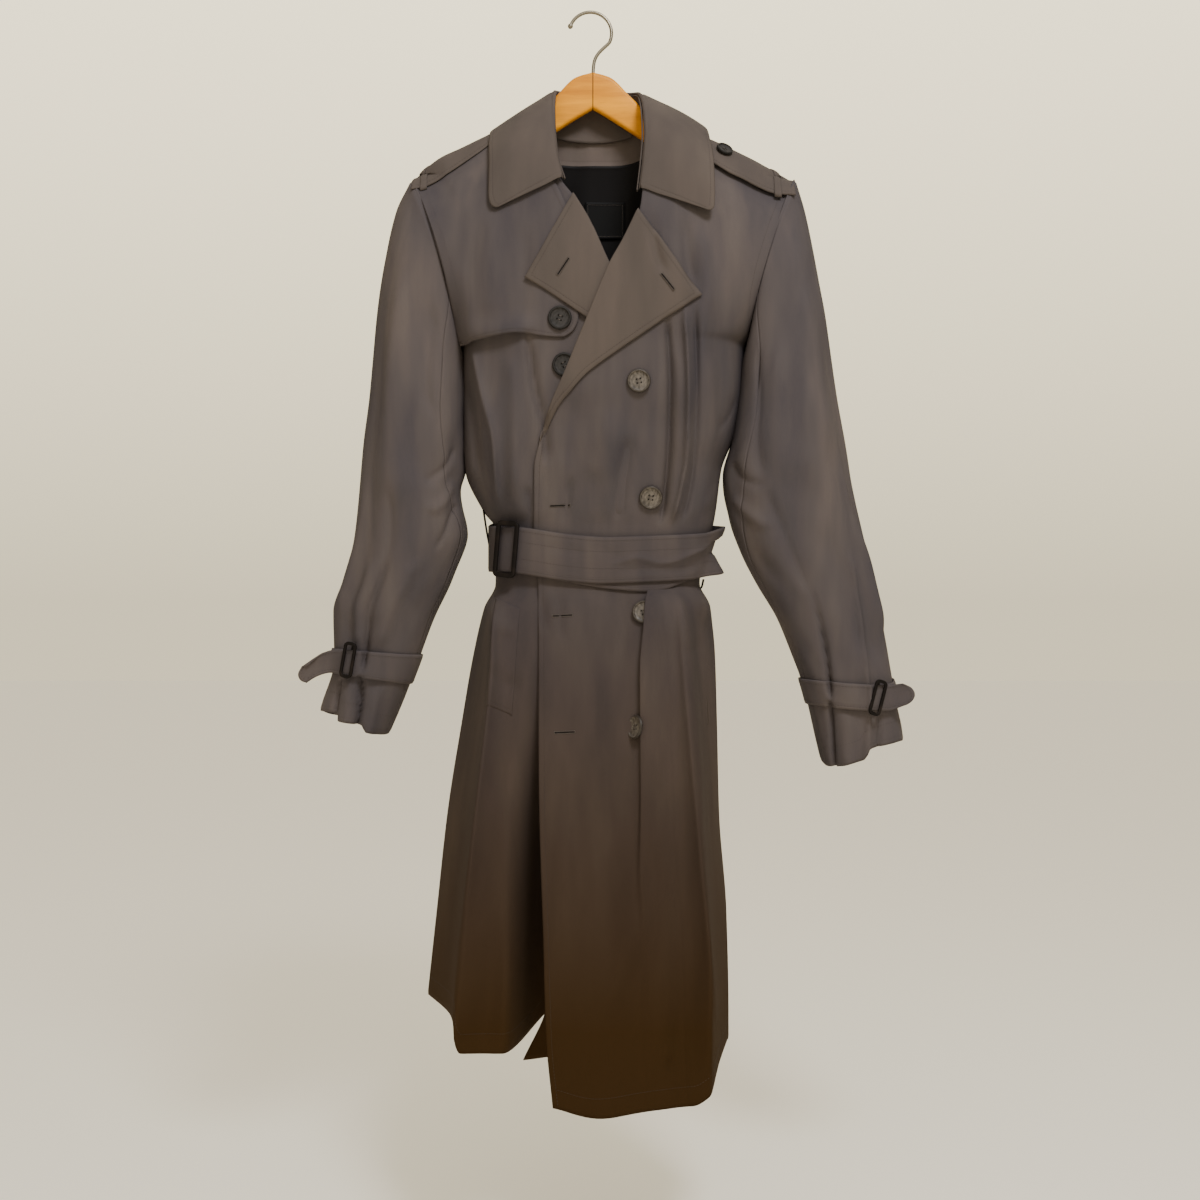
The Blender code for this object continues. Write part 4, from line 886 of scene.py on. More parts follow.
@dataclass(frozen=True)
class VarnishedWood(Finish):
    """Golden beech under varnish, its grain along the hanger."""

    name: str = "varnished_beech"
    colour: Triple = (0.90, 0.37, 0.008)
    ray: Triple = (0.52, 0.18, 0.008)
    joint: Triple = (0.05, 0.02, 0.01)
    joint_x: float = 1.0
    roughness: float = 0.42

    def make(self) -> bpy.types.Material:
        """Long grain lines with short darker rays."""
        shader = Shader(self.name, self.colour, self.roughness)
        shader.set("Coat Weight", 0.06)
        shader.set("Coat Roughness", 0.25)
        shader.set("Specular IOR Level", 0.12)
        lines = shader.grain(90.0, 5.0, (0.12, 1.0, 1.0))
        rays = shader.grain(700.0, 2.0, (0.1, 1.0, 1.0))
        tone = shader.blend(shader.spread(lines, 0.3, 0.75), self.colour, self.ray)
        tone = shader.blend(shader.math("MULTIPLY", shader.spread(rays, 0.55, 0.8), 0.35), tone, self.ray)
        place = shader.node("ShaderNodeTexCoord", {}).outputs["Object"]
        across = shader.node("ShaderNodeSeparateXYZ", {0: place}).outputs["X"]
        off = shader.math("ABSOLUTE", shader.math("SUBTRACT", across, self.joint_x * MM))
        shader.colour(shader.blend(shader.spread(off, 0.8 * MM, 0.3 * MM), tone, self.joint))
        shader.relief(rays, 0.05)
        return shader.material


@dataclass(frozen=True)
class Steel(Finish):
    """Dull plated steel wire."""

    name: str = "plated_steel"
    colour: Triple = (0.24, 0.215, 0.165)
    roughness: float = 0.34

    def make(self) -> bpy.types.Material:
        """Bare metal with faint drawing marks."""
        shader = Shader(self.name, self.colour, self.roughness, 1.0)
        shader.relief(shader.grain(800.0, 2.0), 0.03)
        return shader.material


@dataclass(frozen=True)
class Thread(Finish):
    """Sewing thread."""

    name: str = "taupe_thread"
    colour: Triple = (0.052, 0.042, 0.038)
    roughness: float = 0.7

    def make(self) -> bpy.types.Material:
        """A plain thread with a slight sheen."""
        shader = Shader(self.name, self.colour, self.roughness)
        shader.set("Specular IOR Level", 0.15)
        return shader.material


CLOTH = Gabardine()
# Painted light: a lighter copy of the coat's gabardine for the sleeves, without the painted hem shade.
SLEEVE_CLOTH = Gabardine(
    "taupe_gabardine_sleeves", (0.082, 0.071, 0.072), (0.107, 0.090, 0.085), (0.062, 0.055, 0.060), browning=0.0
)
# Painted light: a lighter, warmer copy of the coat's gabardine, lit from above, for the collar, lapels and
# epaulettes.
COLLAR_CLOTH = Gabardine(
    "sunned_gabardine", (0.085, 0.070, 0.062), (0.099, 0.081, 0.070), (0.073, 0.061, 0.055), browning=0.0
)
# Painted light: a lighter copy of the coat's gabardine for the back neck facing, lit from above.
FACING_CLOTH = Gabardine(
    "facing_gabardine", (0.135, 0.110, 0.098), (0.155, 0.126, 0.111), (0.118, 0.097, 0.087), browning=0.0
)
LINING = Satin()
THREAD = Thread()
BODY_CORE = np.array([12.0, -15.0, 0.0])
CORE_BELOW = 25.0
EDGE_ROLL = 1.6
FAR_FROM_EDGES = 999.0
LEAST_AREA_SHARE = 0.31


def attach(made: bpy.types.Object, nodes: Sequence[str], slot: str) -> bpy.types.Object:
    """Put a finished piece in the place of its solids.

    Args:
        made: The piece.
        nodes: The solids that it stands for.
        slot: Not used.

    Returns:
        The piece.
    """
    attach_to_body(made, "root")
    if nodes:
        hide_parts(*nodes)
    logger.info("%s: %d faces", made.name, len(made.data.polygons))
    return made


def shape(name: str, points: Array, faces: Sequence, finish: Finish) -> bpy.types.Object:
    """An object from points in millimetres.

    Args:
        name: The object's name.
        points: Its points, with Z up.
        faces: Tuples of point numbers.
        finish: Its finish.

    Returns:
        The object, shaded smooth.
    """
    mesh = bpy.data.meshes.new(name)
    mesh.from_pydata((np.asarray(points, float) * MM).tolist(), [], faces)
    mesh.materials.append(finish.material())
    mesh.shade_smooth()
    made = bpy.data.objects.new(name, mesh)
    bpy.context.scene.collection.objects.link(made)
    return made


def quads(rows: int, columns: int, ring: bool = False, flipped: bool = False) -> list:
    """The faces of a grid of points.

    Args:
        rows: How many rows.
        columns: How many points in a row.
        ring: Whether each row closes on itself.
        flipped: Whether the faces point the other way.

    Returns:
        Tuples of point numbers.
    """
    row, column = np.meshgrid(np.arange(rows - 1), np.arange(columns if ring else columns - 1), indexing="ij")
    beside = (column + 1) % columns
    here, below = row * columns, (row + 1) * columns
    corners = [here + column, here + beside, below + beside, below + column]
    if flipped:
        corners = corners[::-1]
    return np.stack(corners, axis=-1).reshape(-1, 4).tolist()


def walked(points: Array, axis: int) -> Array:
    """Length along an axis of a grid, from its first line.

    Args:
        points: A grid of points.
        axis: 0 to walk down the rows, 1 along them.

    Returns:
        The length at every point.
    """
    steps = np.linalg.norm(np.diff(points, axis=axis), axis=2)
    start = np.zeros_like(np.take(steps, [0], axis=axis))
    return np.concatenate([start, np.cumsum(steps, axis=axis)], axis=axis)


def spaced(count: int, *peaks: Triple) -> Array:
    """Shares from 0 to 1 that lie closer together at some places.

    Args:
        count: How many steps.
        peaks: Places, widths and gains of closer spacing.

    Returns:
        count + 1 shares.
    """
    fine = np.linspace(0.0, 1.0, 2001)
    weight = np.ones_like(fine)
    for place, width, gain in peaks:
        weight += gain * np.exp(-(((fine - place) / width) ** 2))
    total = np.concatenate([[0.0], np.cumsum(0.5 * (weight[1:] + weight[:-1]))])
    return np.interp(np.linspace(0.0, total[-1], count + 1), total, fine)


@dataclass
class Cloth:
    """A piece of cloth, given by the grid of its outer face."""

    node: str
    grid: Array
    wall: float
    finish: Finish = CLOTH
    held: Held = Held.HUNG
    rests_on: tuple[str, ...] = ()
    edges: tuple[Border, ...] = tuple(Border)
    ring: bool = False
    around: bool = False
    rolled: float = 0.6

    def normals(self) -> Array:
        """The outward direction at every point of the grid."""
        grid = self.grid
        if self.ring:
            padded = np.concatenate([grid[:, -1:], grid, grid[:, :1]], axis=1)
            across = np.gradient(padded, axis=1)[:, 1:-1]
        else:
            across = np.gradient(grid, axis=1)
        facing = np.cross(across, np.gradient(grid, axis=0))
        core = grid.mean(axis=1, keepdims=True) if self.around else BODY_CORE * np.array([1, 1, 0])
        away = grid - core
        away[..., 2] = CORE_BELOW
        self.flipped = bool((facing * away).sum() < 0.0)
        return unit(-facing if self.flipped else facing)

    def edge_distance(self) -> Array:
        """Distance of every point from the nearest finished edge."""
        down, along = walked(self.grid, 0), walked(self.grid, 1)
        distances = {
            Border.FIRST_ROW: down,
            Border.LAST_ROW: down[-1:] - down,
            Border.FIRST_COLUMN: along,
            Border.LAST_COLUMN: along[:, -1:] - along,
        }
        nearest = np.full(down.shape, FAR_FROM_EDGES)
        for border in self.edges:
            nearest = np.minimum(nearest, distances[border])
        return nearest

    def line(self, border: Border, inset: float) -> tuple[Array, Array]:
        """A line on the cloth at a distance from a border.

        Args:
            border: Which border.
            inset: The distance.

        Returns:
            The line's points and the outward directions there.
        """
        grid, normals = self.grid, self.normals()
        if border in (Border.FIRST_COLUMN, Border.LAST_COLUMN):
            grid, normals = grid.swapaxes(0, 1), normals.swapaxes(0, 1)
        if border in (Border.LAST_ROW, Border.LAST_COLUMN):
            grid, normals = grid[::-1], normals[::-1]
        reach = walked(grid, 0)
        place = np.arange(grid.shape[1])
        index = np.clip((reach < inset).sum(axis=0), 1, grid.shape[0] - 1)
        span = reach[index, place] - reach[index - 1, place]
        share = np.clip((inset - reach[index - 1, place]) / np.maximum(span, 1e-6), 0.0, 1.0)[:, None]
        points = grid[index - 1, place] * (1.0 - share) + grid[index, place] * share
        return points, normals[index, place]

    def sew(
        self,
        threads: "Stitching",
        border: Border,
        inset: float,
        trim: float = 0.0,
        span: slice = slice(None),
    ) -> None:
        """Topstitch along a border.

        Args:
            threads: The thread to sew with.
            border: Which border.
            inset: How far the row lies from it.
            trim: How much is left bare at each end.
            span: Which of the line's points are sewn.
        """
        points, out = self.line(border, inset)
        threads.sew(points[span], out[span], trim)

    def build(self) -> bpy.types.Object:
        """Make the piece: its edges turned in, its wall and its weave.

        Returns:
            The object.
        """
        normals = self.normals()
        edge = self.edge_distance()
        turned = self.rolled * np.exp(-((edge / EDGE_ROLL) ** 2))
        points = self.grid - normals * turned[..., None]
        rows, columns = self.grid.shape[:2]
        faces = quads(rows, columns, self.ring, self.flipped)
        made = shape(self.node + "_cloth", points.reshape(-1, 3), faces, self.finish)
        mesh = made.data
        mark = mesh.attributes.new("edge", "FLOAT", "POINT")
        mark.data.foreach_set("value", edge.ravel().astype(np.float32))
        weave = np.stack([walked(self.grid, 1), walked(self.grid, 0)], axis=-1).reshape(-1, 2) * MM
        corners = np.empty(len(mesh.loops), np.int32)
        mesh.loops.foreach_get("vertex_index", corners)
        layer = mesh.uv_layers.new(name="weave")
        layer.data.foreach_set("uv", weave[corners].astype(np.float32).ravel())
        wall = made.modifiers.new("wall", "SOLIDIFY")
        wall.thickness = self.wall * MM
        wall.offset = -1.0
        wall.use_rim = True
        cells = np.cross(np.diff(self.grid, axis=0)[:, :-1], np.diff(self.grid, axis=1)[:-1])
        area = np.linalg.norm(cells, axis=2).sum() * MM * MM
        width = walked(self.grid, 1)[:, -1].max() * MM
        length = walked(self.grid, 0)[-1].max() * MM
        logger.info("%s measures %.3f x %.3f m, %.4f m2", self.node, width, length, area)
        area = max(area, LEAST_AREA_SHARE * width * length)
        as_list(self.rests_on)
        return attach(made, [self.node], self.node)


@dataclass
class Stitching:
    """Topstitching and other thread, gathered into one mesh."""

    pitch: float = 3.5
    length: float = 2.5
    thickness: float = 0.5
    runs: list = field(default_factory=list)

    def sew(
        self,
        points: Array,
        normals: Array,
        trim: float = 0.0,
        pitch: float = 0.0,
        thickness: float = 0.0,
    ) -> None:
        """Add a row of stitches.

        Args:
            points: The line that it follows.
            normals: The outward direction at each point.
            trim: How much is left bare at each end.
            pitch: The distance between stitches, or 0 for the usual one.
            thickness: The thread's thickness, or 0 for the usual one.
        """
        pitch = pitch or self.pitch
        reach = np.concatenate([[0.0], np.cumsum(np.linalg.norm(np.diff(points, axis=0), axis=1))])
        if reach[-1] < 2.0 * trim + pitch:
            return
        starts = np.arange(trim, reach[-1] - trim - pitch, pitch)
        length = pitch * self.length / self.pitch

        def at(where: Array, values: Array) -> Array:
            """Values read at lengths along the line."""
            return np.stack([np.interp(where, reach, values[:, axis]) for axis in range(3)], axis=1)

        first, last = at(starts, points), at(starts + length, points)
        out = unit(at(starts + 0.5 * length, normals))
        self.runs.append((0.5 * (first + last), last - first, out, thickness or self.thickness))

    def bar(self, first: Array, last: Array, out: Array, thickness: float) -> None:
        """Add single threads, from first points to last points."""
        self.runs.append((0.5 * (first + last), last - first, unit(out), thickness))

    def build(self, name: str, slot: str, finish: Finish = THREAD) -> bpy.types.Object:
        """Make all the threads as one mesh.

        Args:
            name: The object's name.
            slot: Passed to attach, which does not use it.
            finish: The thread's finish.

        Returns:
            The object.
        """
        template = [(-0.5, 0.0, -0.2)]
        section = ((0.5, 0), (0, 0.5), (-0.5, 0), (0, -0.5))
        for place, size in ((-0.3, 0.8), (0.3, 0.8)):
            template += [(place, size * a, size * b + 0.1) for a, b in section]
        template.append((0.5, 0.0, -0.2))
        sides = ((1, 2), (2, 3), (3, 4), (4, 1))
        faces = [(0, b, a) for a, b in sides] + [(a, b, b + 4, a + 4) for a, b in sides]
        faces += [(9, a + 4, b + 4) for a, b in sides]
        points, all_faces, start = [], [], 0
        for centre, along, out, thickness in self.runs:
            across = unit(np.cross(out, along))
            for a, b, c in template:
                points.append(centre + along * a + across * b * thickness + out * c * thickness)
            count = len(centre)
            for number in range(count):
                all_faces += [tuple(start + number + corner * count for corner in face) for face in faces]
            start += 10 * count
        made = shape(name, np.concatenate(points), all_faces, finish)
        return attach(made, [], slot)


@dataclass
class Buttonhole:
    """A worked buttonhole: a slit, drawn as a dark bar of painted shadow, between two rows of close thread and
    a bar.
    """

    middle: Pair
    slant: float
    length: float = 23.0
    band: float = 2.0
    step: float = 0.85

    def work(self, face: Face, lift: float, threads: Stitching, slit: Stitching) -> None:
        """Sew the hole on a face.

        Args:
            face: The face that it is cut in.
            lift: Height of the cloth above the face.
            threads: The pale working thread.
            slit: The dark bars that paint the shadow in the slit.
        """
        heading = np.array([math.cos(math.radians(self.slant)), math.sin(math.radians(self.slant))])
        beside = np.array([-heading[1], heading[0]])
        steps = np.arange(-self.length / 2, self.length / 2, self.step)

        def at(along: Array, off: float) -> Array:
            """Points at a distance beside the slit."""
            x = self.middle[0] + heading[0] * along + beside[0] * off
            drop = self.middle[1] + heading[1] * along + beside[1] * off
            return face.lay(x, drop, lift)

        facing = face.out(self.middle[0] + heading[0] * steps, self.middle[1] + heading[1] * steps)
        for way in (-1, 1):
            threads.bar(at(steps, way * 0.3), at(steps, way * self.band), facing, 0.75)
        ends = np.array([-self.length / 2, self.length / 2])
        threads.bar(at(ends, -self.band), at(ends, self.band), facing[:2], 1.2)
        # Painted shadow: a dark bar along the slit stands for the shade in the cut.
        slit.bar(at(steps[:-1], 0.0), at(steps[1:] + 0.4, 0.0), facing[:-1], 1.5)


class Row(NamedTuple):
    """Where a row of a panel leaves the side and reaches the centre edge."""

    side_drop: float
    edge_drop: float


def level_rows(*drops: float) -> tuple[Row, ...]:
    """Rows that run level across a panel."""
    return tuple(Row(drop, drop) for drop in drops)


LEVEL_ROWS = level_rows(480, 530, 572, 608, 640, 672, 702)


class Edge(NamedTuple):
    """A place on an edge or a hem."""

    drop: float
    x: float


class PleatPath(NamedTuple):
    """How the cloth runs across a pleat: distance from its line, where it goes and how high."""

    away: float
    moved: float
    height: float


class PleatDepth(NamedTuple):
    """How much of the pleat there is at a drop, and where its line is."""

    drop: float
    x: float
    overhang: float
    height: float


@dataclass
class Pleat:
    """The stretch of the left front that has slipped over itself beside the lower buttons."""

    path: tuple[PleatPath, ...] = (
        PleatPath(-26, -26, 0.0), PleatPath(-16, -13, 0.2), PleatPath(-8, 2, 0.6), PleatPath(-4, 8, 1.6),
        PleatPath(0, 4, 6.5), PleatPath(4, -2.6, 11.0), PleatPath(10, 4, 12.2), PleatPath(22, 20, 11.0),
        PleatPath(44, 44, 5.0), PleatPath(80, 80, 0.0),
    )
    depths: tuple[PleatDepth, ...] = (
        PleatDepth(676, 62, 0.0, 0.0), PleatDepth(696, 61.5, 0.9, 0.8), PleatDepth(720, 60.5, 1.0, 1.0),
        PleatDepth(760, 56, 0.9, 1.0), PleatDepth(800, 54, 0.65, 1.0), PleatDepth(850, 53, 0.45, 0.9),
        PleatDepth(915, 52.5, 0.3, 0.75), PleatDepth(985, 51, 0.15, 0.5), PleatDepth(1080, 58, 0.0, 0.25),
        PleatDepth(1180, 62, 0.0, 0.0),
    )

    def __post_init__(self) -> None:
        """Make the curves of the tables."""
        self.across = Table(self.path, "away")
        self.down = Table(self.depths, "drop")

    def fold(self, x: Array, drop: Array) -> tuple[Array, Array]:
        """Where the cloth goes as it runs over the pleat.

        Args:
            x: Places across the smooth front.
            drop: Places down it.

        Returns:
            The new places across and the height there.
        """
        away = x - self.down.at("x", drop)
        shift = (self.across.at("moved", away) - away) * self.down.at("overhang", drop)
        moved = x + shift * (np.abs(away) < 79)
        moved = np.where((away < -26) | (away > 80), x, moved)
        return moved, self.across.at("height", away) * self.down.at("height", drop)


@dataclass
class Panel:
    """A front, or a half of the back, from its side to its centre edge."""

    node: str
    side: Side
    face: Face
    rows: tuple[Row, ...]
    edge: tuple[Edge, ...]
    hem: tuple[Edge, ...]
    peaks: tuple[Triple, ...]
    pleat: Optional[Pleat] = None
    columns: int = 92
    lines: int = 225
    hem_guide: float = 1180.0
    wall: float = 1.5

    def __post_init__(self) -> None:
        """Make the curves of the tables."""
        self.guide = Table(self.rows)
        self.centre = Table(self.edge, "drop")
        self.end = Table(self.hem, "x")

    def across(self, guide: Array, end_drop: Array, share: Array) -> Array:
        """X of the points of each row.

        Args:
            guide: The rows' drops at the side.
            end_drop: Their drops at the centre edge.
            share: Shares from the side to the centre edge.

        Returns:
            A grid of X.
        """
        form = self.face.form
        right, left = form.side_x(Side.RIGHT, guide), form.side_x(Side.LEFT, guide)
        middle, half = 0.5 * (right + left), 0.5 * (left - right)
        first = self.side.value * 0.5 * math.pi
        last = np.arcsin((self.centre.at("x", end_drop) - middle) / half)
        return middle + half * np.sin(first + (last - first) * share)

    def places(self, at: Array, share: Array) -> tuple[Array, Array]:
        """X and drop of a grid of points, at 0 on the shoulder, 1 below the waist and 2 at the hem.

        Args:
            at: How far down each row is.
            share: How far across each column is.

        Returns:
            X and drop.
        """
        form = self.face.form
        at, share = at[:, None], share[None, :]
        number = np.clip(at, 0.0, 1.0) * self.guide.last
        side_drop, edge_drop = self.guide.at("side_drop", number), self.guide.at("edge_drop", number)
        below = np.clip(at - 1.0, 0.0, None)
        start = self.rows[-1].side_drop
        guide = side_drop + below * (self.hem_guide - start)
        end_drop = edge_drop + below * (self.hem_guide - start)
        x = self.across(guide, end_drop, share)
        begin = form.side_x(self.side, guide)
        part = (x - begin) / (self.centre.at("x", end_drop) - begin)
        top = self.rows[0]
        top_side, top_edge = np.array([[float(top.side_drop)]]), np.array([[float(top.edge_drop)]])
        top_x = self.across(top_side, top_edge, share)
        top_begin = form.side_x(self.side, top_side)
        top_part = (top_x - top_begin) / (self.centre.at("x", top_edge) - top_begin)
        line = form.back_neck_drop(top_x) if self.face.back else form.shoulder_drop(top_x)
        line = line - top_side - (top_edge - top_side) * top_part
        hole = form.right_armhole if self.side is Side.RIGHT else form.left_armhole
        drop = side_drop + (edge_drop - side_drop) * part
        drop = drop + line * (1.0 - ramp(side_drop, top.side_drop, hole.pit_drop))
        hem_drop = start + below * (self.end.at("drop", x) - start)
        in_hem = np.broadcast_to(at > 1.0, x.shape)
        drop = np.where(in_hem, hem_drop, drop)
        return np.where(in_hem, x + (form.side_x(self.side, drop) - begin) * (1.0 - part), x), drop

    def cloth(self) -> Cloth:
        """The panel, with its rows evenly spaced along the cloth.

        Returns:
            The piece of cloth.
        """
        trial = np.linspace(0.0, 2.0, 401)
        x, drop = self.places(trial, np.linspace(0.0, 1.0, 9))
        bare = np.stack([x, self.face.y(x, drop), -drop], axis=-1)
        reach = walked(bare, 0).mean(axis=1)
        at = np.interp(np.linspace(0.0, reach[-1], self.lines), reach, trial)
        x, drop = self.places(at, spaced(self.columns, *self.peaks))
        lift = np.zeros_like(x)
        if self.pleat:
            x, lift = self.pleat.fold(x, drop)
        grid = self.face.lay(x, drop, lift)
        grid[0, :, 1] += 0.4 if self.face.back else -0.4
        edges = (Border.LAST_ROW, Border.LAST_COLUMN)
        return Cloth(self.node, grid, self.wall, edges=edges)


@dataclass
class Body:
    """The two fronts and the two halves of the back."""

    form: Form
    stitch_inset: float = 6.0
    armhole_inset: float = 10.0
    hem_inset: float = 21.0
    sewn_from: float = 140.0
    left_sewn_from: float = 470.0
    hole_span: Pair = (205.0, 390.0)
    right_rows: tuple[Row, ...] = (
        Row(203, 106), Row(204.8, 108.4), Row(209, 115), Row(218, 130), Row(232, 154), Row(250, 186),
        Row(272, 222), Row(300, 262), Row(330, 305), Row(360, 350), Row(392, 396), Row(435, 437),
    ) + LEVEL_ROWS
    left_rows: tuple[Row, ...] = (
        Row(203, 104), Row(204.8, 106.4), Row(209, 113), Row(218, 134), Row(231, 166), Row(248, 205),
        Row(270, 247), Row(298, 285), Row(330, 322), Row(360, 358), Row(392, 394), Row(435, 436),
    ) + LEVEL_ROWS
    back_rows: tuple[Row, ...] = (
        Row(203, 138), Row(204.8, 140.4), Row(209, 148), Row(218, 164), Row(235, 195), Row(265, 240),
        Row(300, 290), Row(345, 342),
    ) + level_rows(392, 450, 520, 575, 608, 672, 702, 744)
    right_front_edge: tuple[Edge, ...] = (
        Edge(106, -62), Edge(125, -58), Edge(150, -51), Edge(186, -44), Edge(214, -34), Edge(231, -21),
        Edge(268, 0), Edge(305, 17), Edge(345, 37), Edge(380, 55), Edge(420, 75), Edge(1250, 75),
    )
    left_front_edge: tuple[Edge, ...] = (
        Edge(104, 62), Edge(130, 62.5), Edge(165, 62), Edge(205, 59), Edge(247, 55), Edge(285, 36),
        Edge(313, 20), Edge(342, 7), Edge(370, -4), Edge(401, -16), Edge(441, -32), Edge(478, -46),
        Edge(510, -58), Edge(540, -65), Edge(632, -66), Edge(670, -61), Edge(890, -58), Edge(1016, -53),
        Edge(1118, -49), Edge(1181, -41.5),
    )
    right_back_edge: tuple[Edge, ...] = (
        Edge(138, 1.85), Edge(632, 11.85), Edge(744, 7.85), Edge(810, 22), Edge(1000, 30), Edge(1190, 36),
    )
    left_back_edge: tuple[Edge, ...] = (
        Edge(138, 2.15), Edge(632, 12.15), Edge(744, 8.15), Edge(801, -8), Edge(965, -24),
        Edge(1130, -57), Edge(1180, -84),
    )
    right_front_hem: tuple[Edge, ...] = (
        Edge(1147, -200), Edge(1146, -160), Edge(1149, -153), Edge(1171, -149), Edge(1182, -142),
        Edge(1184, -116), Edge(1181, 75),
    )
    left_front_hem: tuple[Edge, ...] = (
        Edge(1236, -60), Edge(1240, -41.5), Edge(1250, 8), Edge(1243, 68), Edge(1240, 110),
        Edge(1229, 129), Edge(1208, 143), Edge(1196, 158),
    )
    right_back_hem: tuple[Edge, ...] = (Edge(1146, -200), Edge(1150, -160), Edge(1168, -100), Edge(1174, 40))
    left_back_hem: tuple[Edge, ...] = (
        Edge(1249, -84), Edge(1246, -57), Edge(1238, 20), Edge(1224, 100), Edge(1198, 158),
    )
    edge_peak: Triple = (1.0, 0.05, 1.6)
    crease_peak: Triple = (0.34, 0.14, 0.6)
    pleat_peak: Triple = (0.56, 0.09, 3.2)

    def __post_init__(self) -> None:
        """Set up the four faces that other pieces are laid on."""
        self.right = Face(self.form, sink_rule=recess)
        self.left = Face(self.form, left=True, lift_rule=overlap_lift)
        self.back = Face(self.form, back=True)
        self.vent = Face(self.form, back=True, lift_rule=vent_lift)
        self.pleat = Pleat()

    def build(self, threads: Stitching) -> None:
        """Make the four panels and sew their edges.

        Args:
            threads: The coat's topstitching.
        """
        right = Panel(
            "front_right", Side.RIGHT, self.right, self.right_rows, self.right_front_edge,
            self.right_front_hem, (self.crease_peak,), columns=84,
        ).cloth()
        left = Panel(
            "front_left", Side.LEFT, self.left, self.left_rows, self.left_front_edge, self.left_front_hem,
            (self.edge_peak, self.crease_peak, self.pleat_peak), pleat=self.pleat, columns=120,
        ).cloth()
        back_right = Panel(
            "back_right", Side.RIGHT, self.back, self.back_rows, self.right_back_edge, self.right_back_hem,
            (), columns=56, lines=190,
        ).cloth()
        back_left = Panel(
            "back_left", Side.LEFT, self.vent, self.back_rows, self.left_back_edge, self.left_back_hem,
            (), columns=60, lines=190,
        ).cloth()
        for piece in (right, left, back_right, back_left):
            piece.build()
            piece.sew(threads, Border.LAST_ROW, self.hem_inset, 4.0)
            points, out = piece.line(Border.LAST_COLUMN, self.stitch_inset)
            low = -points[:, 2] > (self.left_sewn_from if piece is left else self.sewn_from)
            if piece is not right:
                threads.sew(points[low], out[low], 1.0)
            points, out = piece.line(Border.FIRST_COLUMN, self.armhole_inset)
            hole = (-points[:, 2] > self.hole_span[0]) & (-points[:, 2] < self.hole_span[1])
            threads.sew(points[hole], out[hole], 1.0)


class Ring(NamedTuple):
    """A ring of a sleeve, between its outer and its inner end."""

    level: float
    outer_x: float
    outer_drop: float
    inner_x: float
    inner_drop: float
    front_y: float
    back_y: float
    fullness: float


class Bend(NamedTuple):
    """A broad fold of a sleeve, by level and by angle round it."""

    top_level: float
    top_angle: float
    low_level: float
    low_angle: float
    half_width: float
    top_rise: float
    low_rise: float


class Wave(NamedTuple):
    """How far a sleeve's end hangs below its ring, by angle."""

    angle: float
    extra: float


